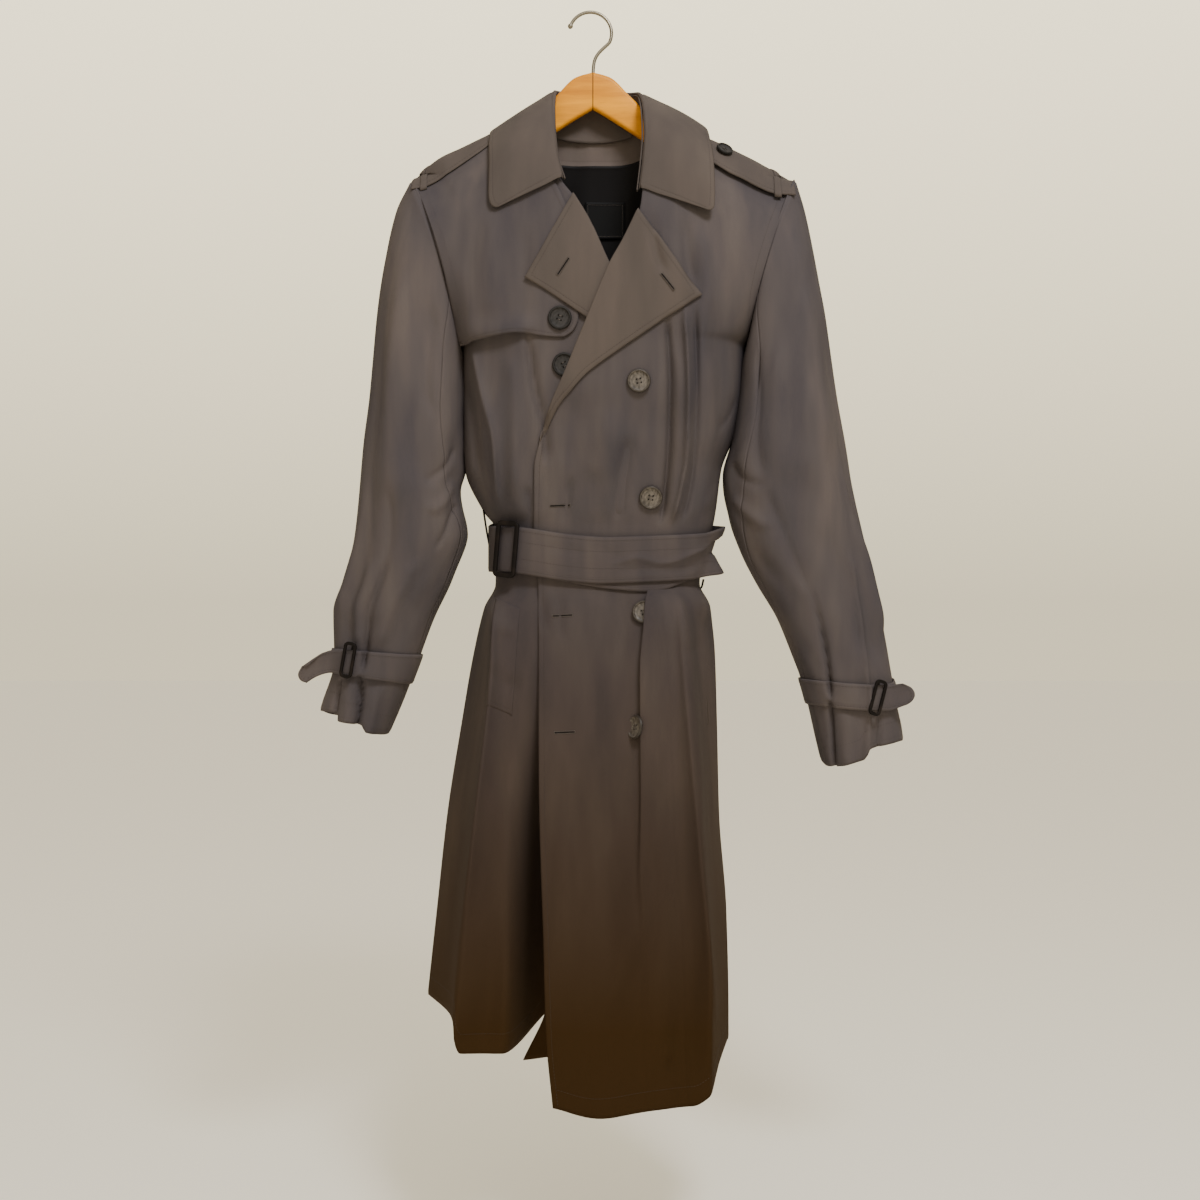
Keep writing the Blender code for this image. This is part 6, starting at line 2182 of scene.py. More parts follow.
@dataclass
class Belt:
    """The belt round the waist and its tail, which hangs behind the front stretch."""

    form: Form
    width: float = 53.0
    insets: Pair = (4.5, 17.0)
    wall: float = 2.2
    tail_width: float = 50.0
    tail_droop: float = 15.0
    tail_lift: float = 7.7
    tail_from: float = 47.0
    tail_to: float = 149.0
    tail_wall: float = 1.6
    buckle_x: float = -91.0
    buckle_angle: float = 30.0
    buckle_clear: float = 1.9
    buckle_tilt: float = 0.1
    around: int = 320
    points: tuple[BeltPoint, ...] = (
        BeltPoint(0, 631, 8.4), BeltPoint(40, 634, 10.6), BeltPoint(75, 643.5, 11.3),
        BeltPoint(92, 646, 11.3), BeltPoint(110, 645, 11.3), BeltPoint(150, 641, 10.6),
        BeltPoint(180, 631, 7.4), BeltPoint(230, 626, 5.0), BeltPoint(300, 622, 5.0),
        BeltPoint(340, 626, 6.2), BeltPoint(360, 631, 8.4),
    )
    creases: tuple[Crease, ...] = (
        Crease(((96, 8), (110, -2), (126, 6), (146, -4), (164, -12)), 6.0, 2.2, 3.2, 0.2, PINCHED),
        Crease(((100, 16), (118, 10), (138, 14), (160, 2)), 6.0, -1.4, -2.4),
        Crease(((60, -14), (72, -8), (82, -12)), 7.0, -1.0, -1.2, 0.3),
        Crease(((84, -18), (98, -6), (104, 2)), 6.0, -1.2, -1.2, 0.3),
        Crease(((172, -34), (176, -14)), 9.0, 9.0, 6.0, 0.05),
        Crease(((176, 4), (173, 26), (170, 48)), 9.0, 2.0, 40.0, 0.05),
        Crease(((196, -20), (204, 4), (200, 24)), 8.0, -1.6, -2.0),
        Crease(((262, -20), (272, 0), (268, 22)), 9.0, 1.4, 1.2),
        Crease(((320, -22), (326, 2), (332, 22)), 7.0, -1.4, -1.6),
    )

    def __post_init__(self) -> None:
        """Make the curves of the table."""
        self.table = Table(self.points, "angle")

    def loop(self, angle: Array, offset: float, extra: Array) -> Array:
        """A line round the body at an offset below the belt's middle.

        Args:
            angle: Degrees round the body.
            offset: Distance below the middle.
            extra: Height above the belt's own.

        Returns:
            Its points.
        """
        drop = self.table.at("drop", angle) + offset
        right, left = self.form.side_x(Side.RIGHT, drop), self.form.side_x(Side.LEFT, drop)
        x = 0.5 * (right + left) - 0.5 * (left - right) * np.cos(np.radians(angle))
        front, back = (self.form.face_y(x, drop, rear, False) for rear in (False, True))
        flat = np.stack([x, np.where(angle > 180.0, back, front)], axis=1)
        along = np.roll(flat, -4, axis=0) - np.roll(flat, 4, axis=0)
        out = unit(np.stack([along[:, 1], -along[:, 0]], axis=1))
        spot = flat + out * (self.table.at("lift", angle) + extra)[:, None]
        return np.column_stack([spot, -drop])

    def build(self, threads: Stitching) -> None:
        """Make the belt and its tail.

        Args:
            threads: The coat's topstitching.
        """
        angle = np.linspace(0.0, 360.0, self.around, endpoint=False)
        half = self.width / 2
        rows = []
        for offset in np.linspace(-half, half, 26):
            extra = sum(crease.rise(angle, offset + 0.0 * angle) for crease in self.creases)
            rows.append(self.loop(angle, offset, extra))
        edges = (Border.FIRST_ROW, Border.LAST_ROW)
        belt = Cloth("belt", np.stack(rows), self.wall, edges=edges, ring=True, held=Held.GATHERED)
        belt.rests_on = ("front_left_cloth", "front_right_cloth")
        belt.build()
        for border in edges:
            for inset in self.insets:
                belt.sew(threads, border, inset)
        steps = np.linspace(self.tail_from, self.tail_to, 90)
        face = Face(self.form)
        tail = []
        for offset in np.linspace(-self.tail_width / 2, self.tail_width / 2, 16):
            sag = self.tail_droop * np.sin(math.pi * np.linspace(0.0, 1.0, 90) ** 2)
            drop = self.table.at("drop", steps) + offset + sag
            right, left = self.form.side_x(Side.RIGHT, drop), self.form.side_x(Side.LEFT, drop)
            x = 0.5 * (right + left) - 0.5 * (left - right) * np.cos(np.radians(steps))
            tail.append(face.lay(x, drop, self.tail_lift))
        piece = Cloth("belt_tail", np.stack(tail), self.tail_wall, held=Held.GATHERED)
        piece.build()
        for border in edges:
            piece.sew(threads, border, self.insets[0], self.insets[0])

    def fasten(self, leather: Finish) -> None:
        """Place the buckle, a little tilted, on the belt's front.

        Args:
            leather: The buckle's finish.
        """
        front, x = Face(self.form), np.array([self.buckle_x])
        drop = np.array([float(self.table.at("drop", self.buckle_angle))])
        out = front.out(x, drop)[0]
        out = unit(np.array([out[0], out[1], 0.0]))
        lift = float(self.table.at("lift", self.buckle_angle)) + self.buckle_clear
        centre = front.lay(x, drop, 0.0)[0] + out * lift
        along = np.array([-out[1], out[0], 0.0])
        up = unit(np.array([0.0, 0.0, 1.0]) + along * self.buckle_tilt)
        buckle = Buckle("belt_buckle", 31, 65, 5.6, 3.6, 5, 2.0, 5.4)
        buckle.build(centre, unit(np.cross(up, out)), up, leather)


@dataclass
class Buckle:
    """A leather-covered frame before a strap, and the bar that runs behind it."""

    node: str
    length: float
    height: float
    border: float
    thickness: float
    bar_width: float
    bar_wall: float
    bar_depth: float
    corner: float = 4.0

    def build(self, centre: Array, along: Array, up: Array, finish: Finish) -> None:
        """Make the buckle.

        Args:
            centre: The middle of the frame's rear face.
            along: The direction of the strap.
            up: The direction across the strap.
            finish: The leather.
        """
        out = unit(np.cross(along, up))
        if out[1] > 0:
            out = -out
        wide, high = self.length / 2 - self.border / 2, self.height / 2 - self.border / 2
        path, sides = [], []
        corners = ((1, 1, 0), (-1, 1, 90), (-1, -1, 180), (1, -1, 270))
        for across, height, start in corners:
            for turn in np.radians(np.linspace(start, start + 90, 8)):
                outward = np.array([math.cos(turn), math.sin(turn)])
                middle = np.array([across * (wide - self.corner), height * (high - self.corner)])
                path.append(middle + outward * self.corner)
                sides.append(outward)
        points = []
        for spot, outward in zip(path, sides):
            for turn in np.linspace(0.0, 2.0 * math.pi, 16, endpoint=False):
                a = np.sign(math.cos(turn)) * abs(math.cos(turn)) ** 0.6 * self.border / 2
                b = np.sign(math.sin(turn)) * abs(math.sin(turn)) ** 0.6 * self.thickness / 2
                flat = spot + outward * a
                points.append(centre + along * flat[0] + up * flat[1] + out * (self.thickness / 2 + b))
        count = len(path)
        faces = quads(count + 1, 16, True, True)
        faces = [tuple(corner % (16 * count) for corner in face) for face in faces]
        bar = []
        route = [(-high, 1.0), (-high, -self.bar_depth - 0.5), (high, -self.bar_depth - 0.5), (high, 1.0)]
        fine = [route[0]]
        for first, last in zip(route, route[1:]):
            begin, run = np.array(first), np.array(last) - np.array(first)
            fine += [tuple(begin + run * part) for part in (0.1, 0.5, 0.9, 1.0)]
        for height, level in fine:
            for turn in np.linspace(0.0, 2.0 * math.pi, 12, endpoint=False):
                a, b = math.cos(turn) * self.bar_width / 2, math.sin(turn) * self.bar_wall / 2
                higher, further = (0.0, b) if level < -1.0 else (b, 0.0)
                bar.append(centre + along * a + up * (height + higher) + out * (level + further))
        faces += [tuple(corner + len(points) for corner in face) for face in quads(len(fine), 12, True)]
        made = shape(self.node + "_leather", np.array(points + bar), faces, finish)
        attach(made, [self.node], self.node)


class CuffSize(NamedTuple):
    """A cuff strap: its level, width, the buckle's angle and tilt, and its free tip."""

    level: float
    width: float
    buckle_angle: float
    tilt: float
    leave: float
    tip_length: float
    tip_heading: Triple
    tip_droop: float
    dip: float
    buckle_shift: float


@dataclass
class CuffStrap:
    """The strap round a cuff, over its own start, with a free pointed tip."""

    sleeve: Sleeve
    size: CuffSize
    lift: float = 3.2
    over_lift: float = 7.0
    inset: float = 4.0
    wall: float = 1.6
    start: float = 9.0
    buckle_clear: float = 1.6
    steps: int = 190
    tip_steps: int = 24
    narrowing: float = 0.25
    lines: int = 16

    def build(self, threads: Stitching, leather: Finish) -> None:
        """Make the strap and its buckle.

        Args:
            threads: The coat's topstitching.
            leather: The buckle's finish.
        """
        size, word = self.size, self.sleeve.word
        total = 360.0 + size.buckle_angle - size.leave - self.start
        turned = self.start + total * np.linspace(0.0, 1.0, self.steps)
        lift = self.lift + (self.over_lift - self.lift) * ramp(turned, 296, 340)
        rows = []
        for offset in np.linspace(-size.width / 2, size.width / 2, self.lines):
            level = size.level + offset + size.dip * np.exp(-(((turned - 10.0) / 60.0) ** 2))
            level = level + size.dip * np.exp(-(((turned - 370.0) / 60.0) ** 2))
            points = self.sleeve.point(level, size.buckle_angle - turned, lift)[0]
            heading = unit(points[-1] - points[-5])
            share = np.linspace(0.0, 1.0, self.tip_steps + 1)[1:, None]
            eased = ramp(share, 0.0, 0.4)
            way = unit(heading * (1.0 - eased) + np.array(size.tip_heading) * eased)
            rounded = 0.5 * size.width * (1.0 - math.sqrt(1.0 - (1.96 * offset / size.width) ** 2))
            tip = points[-1] + np.cumsum(way, axis=0) * (size.tip_length - rounded) / self.tip_steps
            tip[:, 2] -= size.tip_droop * share[:, 0] ** 2 - self.narrowing * offset * share[:, 0]
            rows.append(np.concatenate([points, tip]))
        grid = np.stack(rows)
        piece = Cloth("cuff_strap_" + word, grid, self.wall, SLEEVE_CLOTH, Held.GATHERED, around=True)
        piece.rests_on = ("top_sleeve_" + word + "_cloth",)
        piece.build()
        for border in (Border.FIRST_ROW, Border.LAST_ROW, Border.LAST_COLUMN):
            piece.sew(threads, border, self.inset, self.inset)
        height, angle, half = self.over_lift + self.buckle_clear, size.buckle_angle, size.width / 2
        middle = size.level + size.buckle_shift

        def spot(level: float, turn: float) -> Array:
            """A place above the sleeve."""
            return self.sleeve.point(np.array(level), np.array(turn), np.array(height))[0]

        along = unit(spot(middle, angle - 4) - spot(middle, angle + 4))
        up = spot(middle - half, angle) - spot(middle + half, angle)
        up = unit(up - along * float(up @ along))
        along, up = unit(along - up * size.tilt), unit(up + along * size.tilt)
        buckle = Buckle("cuff_buckle_" + word, 16.5, 42, 3.8, 3.2, 4, 1.5, 4.3)
        buckle.build(spot(middle, angle), along, up, leather)


class Welt(NamedTuple):
    """A pocket welt's line and width."""

    top_x: float
    top_drop: float
    low_x: float
    low_drop: float
    width: float


@dataclass
class PocketWelt:
    """The standing welt of a side pocket."""

    side: Side
    face: Face
    size: Welt
    lift: float = 0.35
    slant: float = 13.0
    wall: float = 1.0

    def build(self, threads: Stitching) -> None:
        """Make the welt.

        Args:
            threads: The coat's topstitching.
        """
        size = self.size
        share = np.linspace(0.0, 1.0, 50)[:, None]
        across = np.linspace(-0.5, 0.5, 16)[None, :]
        x = size.top_x + (size.low_x - size.top_x) * share + across * size.width
        drop = size.top_drop + (size.low_drop - size.top_drop) * share - self.slant * across * self.side.value
        sunk = Face(self.face.form, left=self.face.left, lift_rule=self.face.lift_rule)
        grid = sunk.lay(x, drop, self.lift)
        name = "pocket_welt_" + self.side.name.lower()
        piece = Cloth(name, grid, self.wall, held=Held.FOLDED, edges=(Border.LAST_ROW,), rolled=0.2)
        piece.build()
        piece.sew(threads, Border.LAST_ROW, 5.0, 2.0)


@dataclass
class ButtonMould:
    """A turned four-hole button with a raised rim."""

    radius: float
    finish: Finish
    thickness: float = 4.0
    hole_radius: float = 1.05
    hole_reach: float = 3.2
    sides: int = 56
    profile: tuple[Pair, ...] = (
        (0.55, 0.0), (0.82, 0.02), (0.95, 0.16), (1.0, 0.42), (0.985, 0.72), (0.94, 0.93), (0.89, 1.0),
        (0.84, 0.97), (0.80, 0.78), (0.76, 0.56), (0.68, 0.48), (0.50, 0.46), (0.25, 0.45),
    )

    def mesh(self) -> bpy.types.Mesh:
        """Turn the button and drill it.

        Returns:
            Its mesh, with its back at the origin and its face along +Z.
        """
        turns = np.linspace(0.0, 2.0 * math.pi, self.sides, endpoint=False)
        steps = [(self.radius * reach, self.thickness * level) for reach, level in self.profile]
        rings = [[(r * math.cos(t), r * math.sin(t), h) for t in turns] for r, h in steps]
        faces = quads(len(rings), self.sides, True)
        faces.append(tuple(range(self.sides))[::-1])
        last = (len(rings) - 1) * self.sides
        faces.append(tuple(last + side for side in range(self.sides)))
        blank = shape("button_blank", np.array(rings).reshape(-1, 3), faces, self.finish)
        drills, drill_faces = [], []
        circle = np.linspace(0.0, 2.0 * math.pi, 14, endpoint=False)
        for corner in range(4):
            turn = math.radians(45 + 90 * corner)
            x, y = self.hole_reach * math.cos(turn), self.hole_reach * math.sin(turn)
            start = len(drills)
            for level in (-1.0, self.thickness + 1.0):
                for t in circle:
                    off_x, off_y = self.hole_radius * math.cos(t), self.hole_radius * math.sin(t)
                    drills.append((x + off_x, y + off_y, level))
            drill_faces += [tuple(start + c for c in face) for face in quads(2, 14, True)]
            drill_faces.append(tuple(start + c for c in range(14))[::-1])
            drill_faces.append(tuple(start + 14 + c for c in range(14)))
        drill = shape("button_drill", np.array(drills), drill_faces, self.finish)
        holes = blank.modifiers.new("holes", "BOOLEAN")
        holes.operation = "DIFFERENCE"
        holes.object = drill
        holes.solver = "EXACT"
        bpy.context.view_layer.update()
        made = bpy.data.meshes.new_from_object(blank.evaluated_get(bpy.context.evaluated_depsgraph_get()))
        made.name = f"button_{self.radius:.0f}"
        bpy.data.objects.remove(blank)
        bpy.data.objects.remove(drill)
        spots = np.empty(3 * len(made.vertices), np.float32)
        made.vertices.foreach_get("co", spots)
        reach = np.hypot(spots[0::3], spots[1::3]) / (self.radius * MM)
        # The rim's share, from the dish's inner wall to the edge, carries the painted shade.
        mark = made.attributes.new("rim", "FLOAT", "POINT")
        mark.data.foreach_set("value", ramp(reach, 0.76, 0.97).astype(np.float32))
        made.shade_smooth()
        made.set_sharp_from_angle(angle=math.radians(40))
        return made


@dataclass
class Button:
    """A button sewn on with crossed thread."""

    node: str
    mould: ButtonMould
    mesh: bpy.types.Mesh
    centre: Array
    out: Array
    spin: float = 0.0

    def build(self, thread: Stitching) -> None:
        """Place the button and its thread.

        Args:
            thread: The buttons' sewing thread.
        """
        made = bpy.data.objects.new(self.node + "_horn", self.mesh)
        bpy.context.scene.collection.objects.link(made)
        turn = Vector(self.out).to_track_quat("Z", "Y").to_matrix()
        turn = turn @ Matrix.Rotation(math.radians(self.spin), 3, "Z")
        made.matrix_world = Matrix.Translation(Vector(self.centre) * MM) @ turn.to_4x4()
        attach(made, [self.node], self.node)
        reach, level = self.mould.hole_reach, 0.47 * self.mould.thickness
        turns = np.radians((45, 135, 225, 315))
        corners = [Vector((reach * math.cos(a), reach * math.sin(a), level)) for a in turns]
        spots = np.array([np.array(self.centre) + np.array(turn @ corner) for corner in corners])
        facing = np.array([self.out, self.out])
        thread.bar(spots[[0, 3]], spots[[1, 2]], facing, 0.9)


@dataclass
class Inside:
    """What shows inside the neck: the facing, the lining below it and the label."""

    form: Form
    facing_reach: float = 66.0
    facing_side_drop: float = 160.0
    facing_dip: float = 12.0
    facing_power: float = 4.0
    facing_lift: float = -4.8
    lining_lift: float = -5.4
    lining_below_facing: float = -1.0
    lining_x: Pair = (-116.0, 138.0)
    lining_end: float = 384.0
    label_middle: Pair = (15.5, 236.0)
    label_size: Pair = (48.0, 44.0)
    label_lift: float = -7.4
    wall: float = 0.9
    creases: tuple[Crease, ...] = (
        Crease(((-30, 190), (-22, 260), (-26, 380)), 12, 1.6, 2.2, 0.15),
        Crease(((48, 190), (42, 270), (50, 380)), 10, -1.8, -2.0, 0.15),
        Crease(((-70, 200), (-64, 290), (-72, 380)), 13, -2.0, -1.6, 0.15),
        Crease(((84, 200), (90, 290), (82, 380)), 13, 2.0, 1.6, 0.15),
    )

    def facing_end(self, x: Array) -> Array:
        """Drop of the facing's lower edge."""
        share = np.minimum(np.abs(x) / self.facing_reach, 1.0)
        return self.facing_side_drop + self.facing_dip * (1.0 - share**self.facing_power)

    def build(self, threads: Stitching, pale: Stitching) -> None:
        """Make the facing, the lining and the label.

        Args:
            threads: The coat's topstitching.
            pale: The thread of the label's border.
        """
        back = Face(self.form, back=True)
        x = np.linspace(-self.facing_reach, self.facing_reach, 44)[None, :]
        share = np.linspace(0.0, 1.0, 22)[:, None]
        top = self.form.back_neck_drop(x) + 2.5
        grid = back.lay(x, top + (self.facing_end(x) - 0.3 - top) * share, self.facing_lift)
        facing = Cloth("back_neck_facing", grid, self.wall, edges=(Border.LAST_ROW,), finish=FACING_CLOTH)
        facing.build()
        points, out = facing.line(Border.LAST_ROW, 2.5)
        threads.sew(points, -out)
        x = np.linspace(*self.lining_x, 90)[None, :]
        under_facing = self.facing_end(x) + self.lining_below_facing
        at_neck = np.abs(x) < self.facing_reach
        top = np.where(at_neck, under_facing, self.form.shoulder_drop(x) + 18)
        drop = top + (self.lining_end - top) * np.linspace(0.0, 1.0, 70)[:, None]
        soft = sum(crease.rise(x + 0.0 * drop, drop) for crease in self.creases) * 0.5 - 0.8
        grid = back.lay(x + 0.0 * drop, drop, self.lining_lift + np.minimum(soft, 0.0))
        Cloth("lining", grid, self.wall, finish=LINING).build()
        x = self.label_middle[0] + self.label_size[0] * np.linspace(-0.5, 0.5, 20)[None, :]
        drop = self.label_middle[1] + self.label_size[1] * np.linspace(-0.5, 0.5, 20)[:, None]
        grid = back.lay(x, drop, self.label_lift - 1.2)
        # Painted shade: a black label, made darker still for the shade inside the neck.
        label = Cloth("label", grid, self.wall, Satin("black_label", (0.006, 0.006, 0.006), 0.6))
        label.build()
        for border in Border:
            points, out = label.line(border, 3.2)
            pale.sew(points - out * (self.wall + 0.1), -out, 3.2, 1.6, 1.0)


class HangerRib(NamedTuple):
    """A section of the hanger, at a reach from its middle."""

    reach: float
    top: float
    bottom: float


@dataclass
class Hanger:
    """The shaped wooden hanger and its steel hook."""

    middle: float = 1.0
    half_thickness: float = 5.5
    wire: float = 2.0
    hook_radius: float = 25.0
    hook_centre_x: float = -2.0
    shank_end: float = 92.0
    ribs: tuple[HangerRib, ...] = (
        HangerRib(0, 69, 113), HangerRib(20, 75, 125), HangerRib(45, 98.6, 141),
        HangerRib(64, 115.8, 153.5), HangerRib(95, 134.6, 172), HangerRib(132, 161, 194),
        HangerRib(170, 184.6, 215), HangerRib(197, 201.6, 229),
    )

    def build(self) -> None:
        """Make the wood and the hook."""
        table = Table(self.ribs, "reach")
        reach = np.linspace(-self.ribs[-1].reach, self.ribs[-1].reach, 150)
        tip = np.sqrt(np.clip(1.0 - (np.abs(reach) / self.ribs[-1].reach) ** 30, 0.02, 1.0))
        half = self.half_thickness * tip
        top, bottom = table.at("top", np.abs(reach)), table.at("bottom", np.abs(reach))
        ring, x = [], self.middle + reach
        for turn in np.linspace(0.0, math.pi, 15):
            drop = top + half * (1.0 - math.sin(turn))
            ring.append(np.stack([x, half * math.cos(turn), -drop], axis=1))
        for turn in np.linspace(0.0, math.pi, 15):
            drop = bottom - half + half * math.sin(turn)
            ring.append(np.stack([x, -half * math.cos(turn), -drop], axis=1))
        grid = np.stack(ring, axis=1)
        sides = grid.shape[1]
        faces = quads(len(reach), sides, True)
        faces.append(tuple(range(sides))[::-1])
        faces.append(tuple((len(reach) - 1) * sides + side for side in range(sides)))
        wood = shape("hanger_varnished", grid.reshape(-1, 3), faces, VarnishedWood())
        attach(wood, ["hanger_wood"], "hanger_wood")
        turns = np.radians(np.linspace(168, -30, 60))
        x = self.hook_centre_x + self.hook_radius * np.cos(turns)
        drop = self.hook_radius - self.wire - self.hook_radius * np.sin(turns)
        arc = np.stack([x, drop], axis=1)
        shank = [(10, 43), (3.5, 50), (1.6, 58), (self.middle, 68), (self.middle, self.shank_end)]
        route = np.concatenate([arc, shank])
        fine = np.linspace(0, len(route) - 1, 400)
        x, drop = (np.interp(fine, np.arange(len(route)), route[:, axis]) for axis in (0, 1))
        kernel = np.hanning(27) / np.hanning(27).sum()
        x = np.convolve(np.pad(x, 13, "edge"), kernel, "valid")
        drop = np.convolve(np.pad(drop, 13, "edge"), kernel, "valid")
        centre = np.stack([x, np.zeros_like(x), -drop], axis=1)
        reach = np.concatenate([[0.0], np.cumsum(np.linalg.norm(np.diff(centre, axis=0), axis=1))])
        ball = np.sqrt(np.clip(1.0 - ((reach - 3.0) / 3.2) ** 2, 0.0, 1.0)) * 3.1
        radius = np.maximum(ball, np.where(reach > 3.0, self.wire, 0.05))
        along = unit(np.gradient(centre, axis=0))
        side = unit(np.cross(along, np.array([0.0, 1.0, 0.0])))
        around = np.linspace(0.0, 2.0 * math.pi, 20, endpoint=False)
        rear = np.array([0.0, 1.0, 0.0])
        rings = [centre + radius[:, None] * (side * math.cos(t) + rear * math.sin(t)) for t in around]
        points = np.stack(rings, axis=1).reshape(-1, 3)
        hook = shape("hanger_wire", points, quads(len(centre), 20, True), Steel())
        attach(hook, ["hanger_hook"], "hanger_hook")


@dataclass
class Stage:
    """The plain floor, the soft lights and the camera."""

    floor_drop: float = 1420.0
    camera: Triple = (9.4, -1800.0, -691.0)
    lens: float = 45.8

    def light(
        self, name: str, place: Triple, aim: Triple, size: float, power: float, colour: Triple
    ) -> None:
        """Add a soft light.

        Args:
            name: Its name.
            place: Where it stands, in metres.
            aim: What it points at, in metres.
            size: Its width, in metres.
            power: Its strength, in watts.
            colour: Its colour.
        """
        lamp = bpy.data.lights.new(name, "AREA")
        lamp.shape = "DISK"
        lamp.size = size
        lamp.energy = power
        lamp.color = colour
        made = bpy.data.objects.new(name, lamp)
        made.location = place
        made.rotation_euler = (Vector(aim) - Vector(place)).to_track_quat("-Z", "Y").to_euler()
        bpy.context.scene.collection.objects.link(made)

    def room(self) -> None:
        """Set the pale room: dim at both sides and brighter above the horizon behind the coat."""
        world = bpy.data.worlds.new("pale_room")
        world.use_nodes = True
        nodes = Nodes(world.node_tree)
        toward = nodes.node("ShaderNodeTexCoord", {}).outputs["Generated"]
        way = nodes.node("ShaderNodeSeparateXYZ", {0: toward}).outputs
        sides = nodes.spread(nodes.math("ABSOLUTE", way["X"]), 0.4, 0.95, 1.0, 0.3)
        above = nodes.spread(way["Z"], 0.0, 0.36, 1.02, 2.15)
        behind = nodes.spread(way["Y"], 0.3, 0.8)
        back = nodes.math("ADD", 1.0, nodes.math("MULTIPLY", behind, nodes.math("SUBTRACT", above, 1.0)))
        sky, links = world.node_tree.nodes["Background"], world.node_tree.links
        links.new(nodes.blend(behind, (1.0, 0.91, 0.75), (1.0, 0.88, 0.61)), sky.inputs["Color"])
        strength = nodes.math("MULTIPLY", nodes.math("MULTIPLY", sides, back), 1.05)
        links.new(strength, sky.inputs["Strength"])
        bpy.context.scene.world = world

    def build(self) -> None:
        """Set the stage."""
        floor = bpy.data.meshes.new("floor")
        wide = 12.0
        level = -self.floor_drop * MM
        corners = [(x * wide, y * wide, level) for x, y in ((-1, -1), (1, -1), (1, 1), (-1, 1))]
        floor.from_pydata(corners, [], [(0, 1, 2, 3)])
        floor.materials.append(Shader("pale_floor", (0.94, 0.915, 0.84), 0.9).material)
        made = bpy.data.objects.new("floor", floor)
        bpy.context.scene.collection.objects.link(made)
        self.room()
        self.light("key", (0.5, -1.35, 1.0), (0.0, 0.0, -0.35), 0.6, 34.0, (0.96, 0.96, 1.0))
        self.light("warm_fill", (-0.5, -1.6, -1.3), (0.0, 0.0, -0.95), 0.8, 3.0, (1.0, 0.72, 0.42))
        eye = bpy.data.cameras.new("camera")
        eye.lens = self.lens
        eye.sensor_width = 36.0
        eye.clip_start = 0.05
        viewer = bpy.data.objects.new("camera", eye)
        viewer.location = tuple(part * MM for part in self.camera)
        viewer.rotation_euler = (math.radians(90.0), 0.0, 0.0)
        bpy.context.scene.collection.objects.link(viewer)
        bpy.context.scene.camera = viewer


def sew_buttons(body: Body, epaulette: Epaulette, thread: Stitching) -> None:
    """Place every button.

    Args:
        body: The fronts.
        epaulette: The left epaulette.
        thread: The buttons' sewing thread.
    """
    large = ButtonMould(13.5, Horn())
    # Painted shade: a darker copy of the horn for the buttons under the lapel and the storm flap, where shade
    # falls; the epaulette's small button wears it too.
    dark = Horn("dark_horn", (0.013, 0.012, 0.011), (0.032, 0.029, 0.027), (0.011, 0.010, 0.009), 0.6, 0.0)
    small = ButtonMould(10.0, dark, hole_radius=0.9, hole_reach=2.0)
    shaded = ButtonMould(13.5, dark)
    large_mesh, small_mesh, shaded_mesh = large.mesh(), small.mesh(), shaded.mesh()
    spots = (
        ("front_button_1", body.left, 53.0, 445.0, 0.5, 0.0, 12.0),
        ("front_button_2", body.left, 67.0, 574.0, 0.5, 0.0, -8.0),
        ("front_button_3", body.left, 59.0, 706.0, 1.2, 6.0, 20.0),
        ("front_button_4", body.left, 50.0, 834.0, 5.2, 58.0, 5.0),
        ("under_button", body.right, -31.0, 425.0, 0.5, 0.0, 30.0),
        ("storm_flap_button", body.right, -36.0, 373.0, 4.4, 0.0, -20.0),
    )
    for node, face, x, drop, clear, turn, spin in spots:
        place = np.array([x]), np.array([drop])
        centre = face.lay(*place, clear)[0]
        out = Vector(face.out(*place)[0])
        out.rotate(Matrix.Rotation(math.radians(-turn), 3, "Z"))
        mesh = shaded_mesh if face is body.right else large_mesh
        Button(node, large, mesh, centre, np.array(out), spin).build(thread)
    column = np.array([0.45])
    centre = epaulette.row(151.0, column, 0.6)[0]
    out = unit(epaulette.row(151.0, column, 1.6)[0] - centre)
    Button("epaulette_button_left", small, small_mesh, centre, out, 15.0).build(thread)


def hang_carriers(thread: Stitching) -> None:
    """Sew the two thread loops that carry the belt at its sides.

    Args:
        thread: The dark cord.
    """
    right = ((-126.5, 585.0), (-122.0, 614.0), (-116.0, 643.0))
    left = ((118.0, 664.0), (116.0, 672.0), (120.0, 679.0), (127.0, 677.0), (130.0, 667.0))
    for line in (right, left):
        numbers = np.arange(len(line))
        fine = np.linspace(0, len(line) - 1, 60)
        x = Curve(numbers, [spot[0] for spot in line])(fine)
        drop = Curve(numbers, [spot[1] for spot in line])(fine)
        points = np.stack([x, np.full_like(x, -22.0), -drop], axis=1)
        ends = points[1:] + (points[1:] - points[:-1]) * 0.5
        thread.bar(points[:-1], ends, np.tile([0.0, -1.0, 0.0], (59, 1)), 3.0)


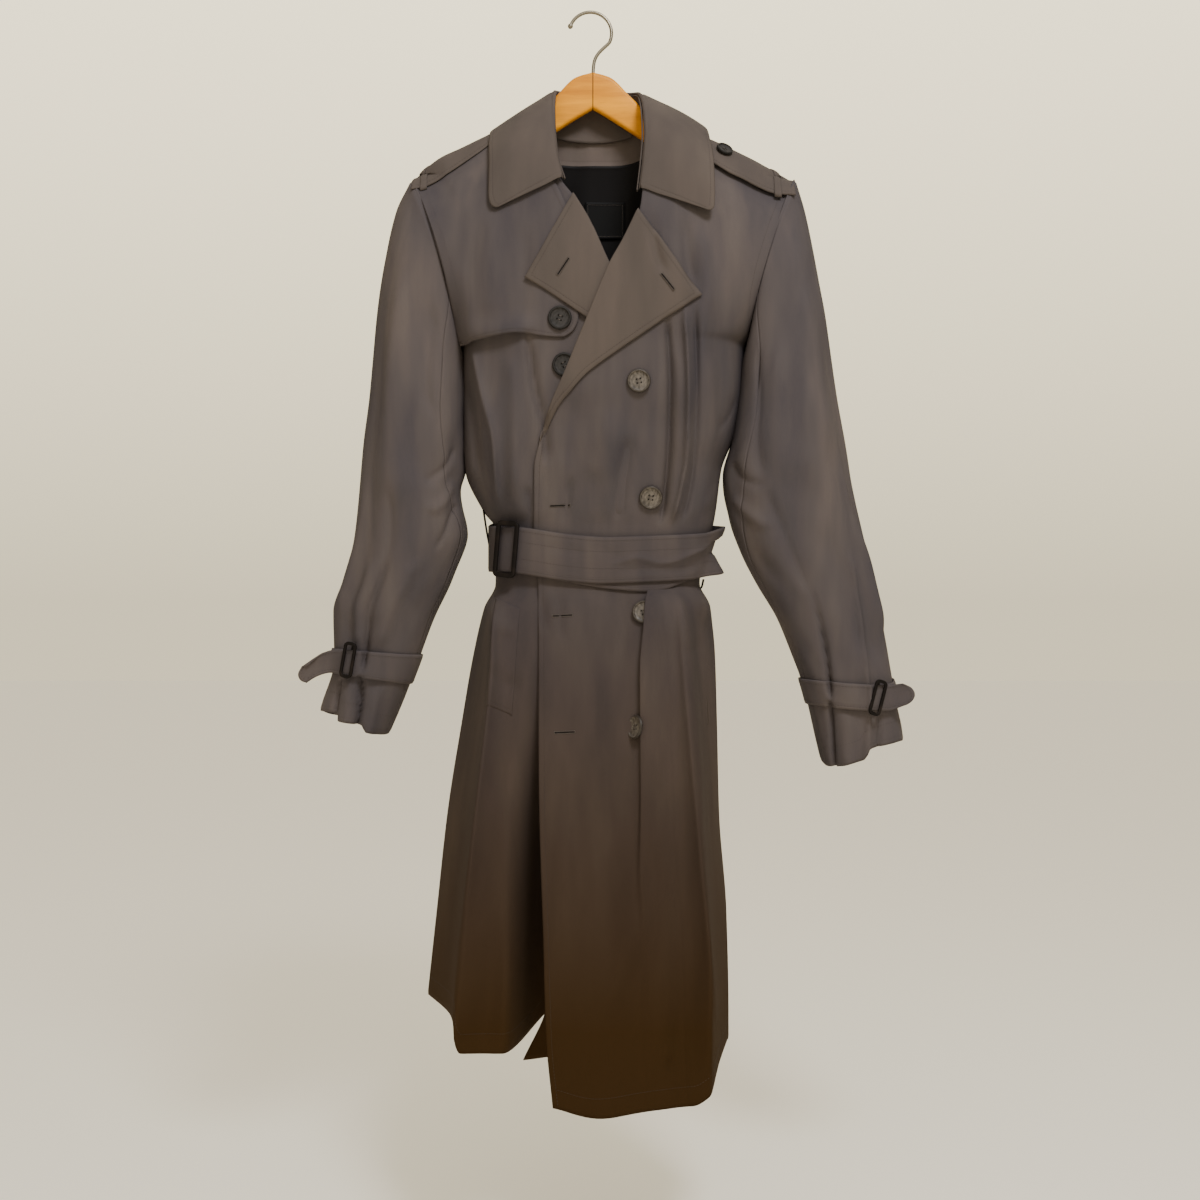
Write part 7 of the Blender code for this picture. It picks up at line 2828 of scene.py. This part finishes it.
def main() -> None:
    """Build the coat piece by piece, then its hanger and its stage."""
    form = Form()
    body = Body(form)
    threads, pale, slit = Stitching(), Stitching(), Stitching()
    body.build(threads)
    logger.info("body done")
    arms = sleeves()
    for sleeve in arms.values():
        sleeve.build(threads)
    logger.info("sleeves done")
    Collar().build(threads)
    right_leaves = (
        Leaf(-22, 232, -76, 327), Leaf(-2, 266, -50, 343), Leaf(15, 304, -20, 363),
        Leaf(35, 344, 16, 386), Leaf(72, 418, 68, 419),
    )
    left_leaves = (
        Leaf(53, 252, 124, 347), Leaf(36, 287, 96, 366), Leaf(20, 315, 56, 393), Leaf(-4, 372, 8, 426),
        Leaf(-17, 404, -7, 438), Leaf(-30, 436, -24, 457), Leaf(-41, 462, -35, 470),
        Leaf(-50, 484, -46, 489), Leaf(-58, 508, -57, 511),
    )
    right_hole, left_hole = Buttonhole((-32.0, 315.5), -56.0), Buttonhole((85.0, 334.0), 51.0)
    Lapel("lapel_right", body.right, right_leaves, 6.2, right_hole).build(threads, pale, slit)
    Lapel("lapel_left", body.left, left_leaves, 4.2, left_hole).build(threads, pale, slit)
    StormFlap(body.right).build(threads)
    straps = epaulettes(form)
    for strap in straps.values():
        strap.build(threads)
    leather = Leather()
    belt = Belt(form)
    belt.build(threads)
    belt.fasten(leather)
    right_cuff = CuffSize(767, 31, 65, -0.1, 43, 46, (-0.95, -0.05, -0.05), 14, -1.5, -5.0)
    left_cuff = CuffSize(797, 31, 68, 0.3, 49, 31, (0.95, -0.05, 0.3), 2, 7.0, 6.0)
    CuffStrap(arms[Side.RIGHT], right_cuff).build(threads, leather)
    CuffStrap(arms[Side.LEFT], left_cuff).build(threads, leather)
    PocketWelt(Side.RIGHT, body.right, Welt(-96, 694, -104, 814, 29)).build(threads)
    PocketWelt(Side.LEFT, body.left, Welt(112, 700, 120, 840, 27)).build(threads)
    sew_buttons(body, straps[Side.LEFT], pale)
    for middle in ((-36.0, 583.0), (-33.0, 709.5), (-30.0, 839.0)):
        Buttonhole(middle, -3.0).work(body.left, 0.15, pale, slit)
    Inside(form).build(threads, pale)
    hang_carriers(slit)
    threads.build("topstitching", "front_left")
    pale.build("buttonhole_thread", "front_left", Thread("pale_thread", (0.105, 0.088, 0.078)))
    # The dark thread paints the shadow in the buttonhole slits and is the belt carriers' own dark cord.
    slit.build("dark_thread", "front_left", Thread("dark_cord", (0.006, 0.005, 0.005), 0.9))
    Hanger().build()
    Stage().build()


if __name__ == "__main__":
    logging.basicConfig(level=logging.INFO, format="%(name)s: %(message)s")
    main()
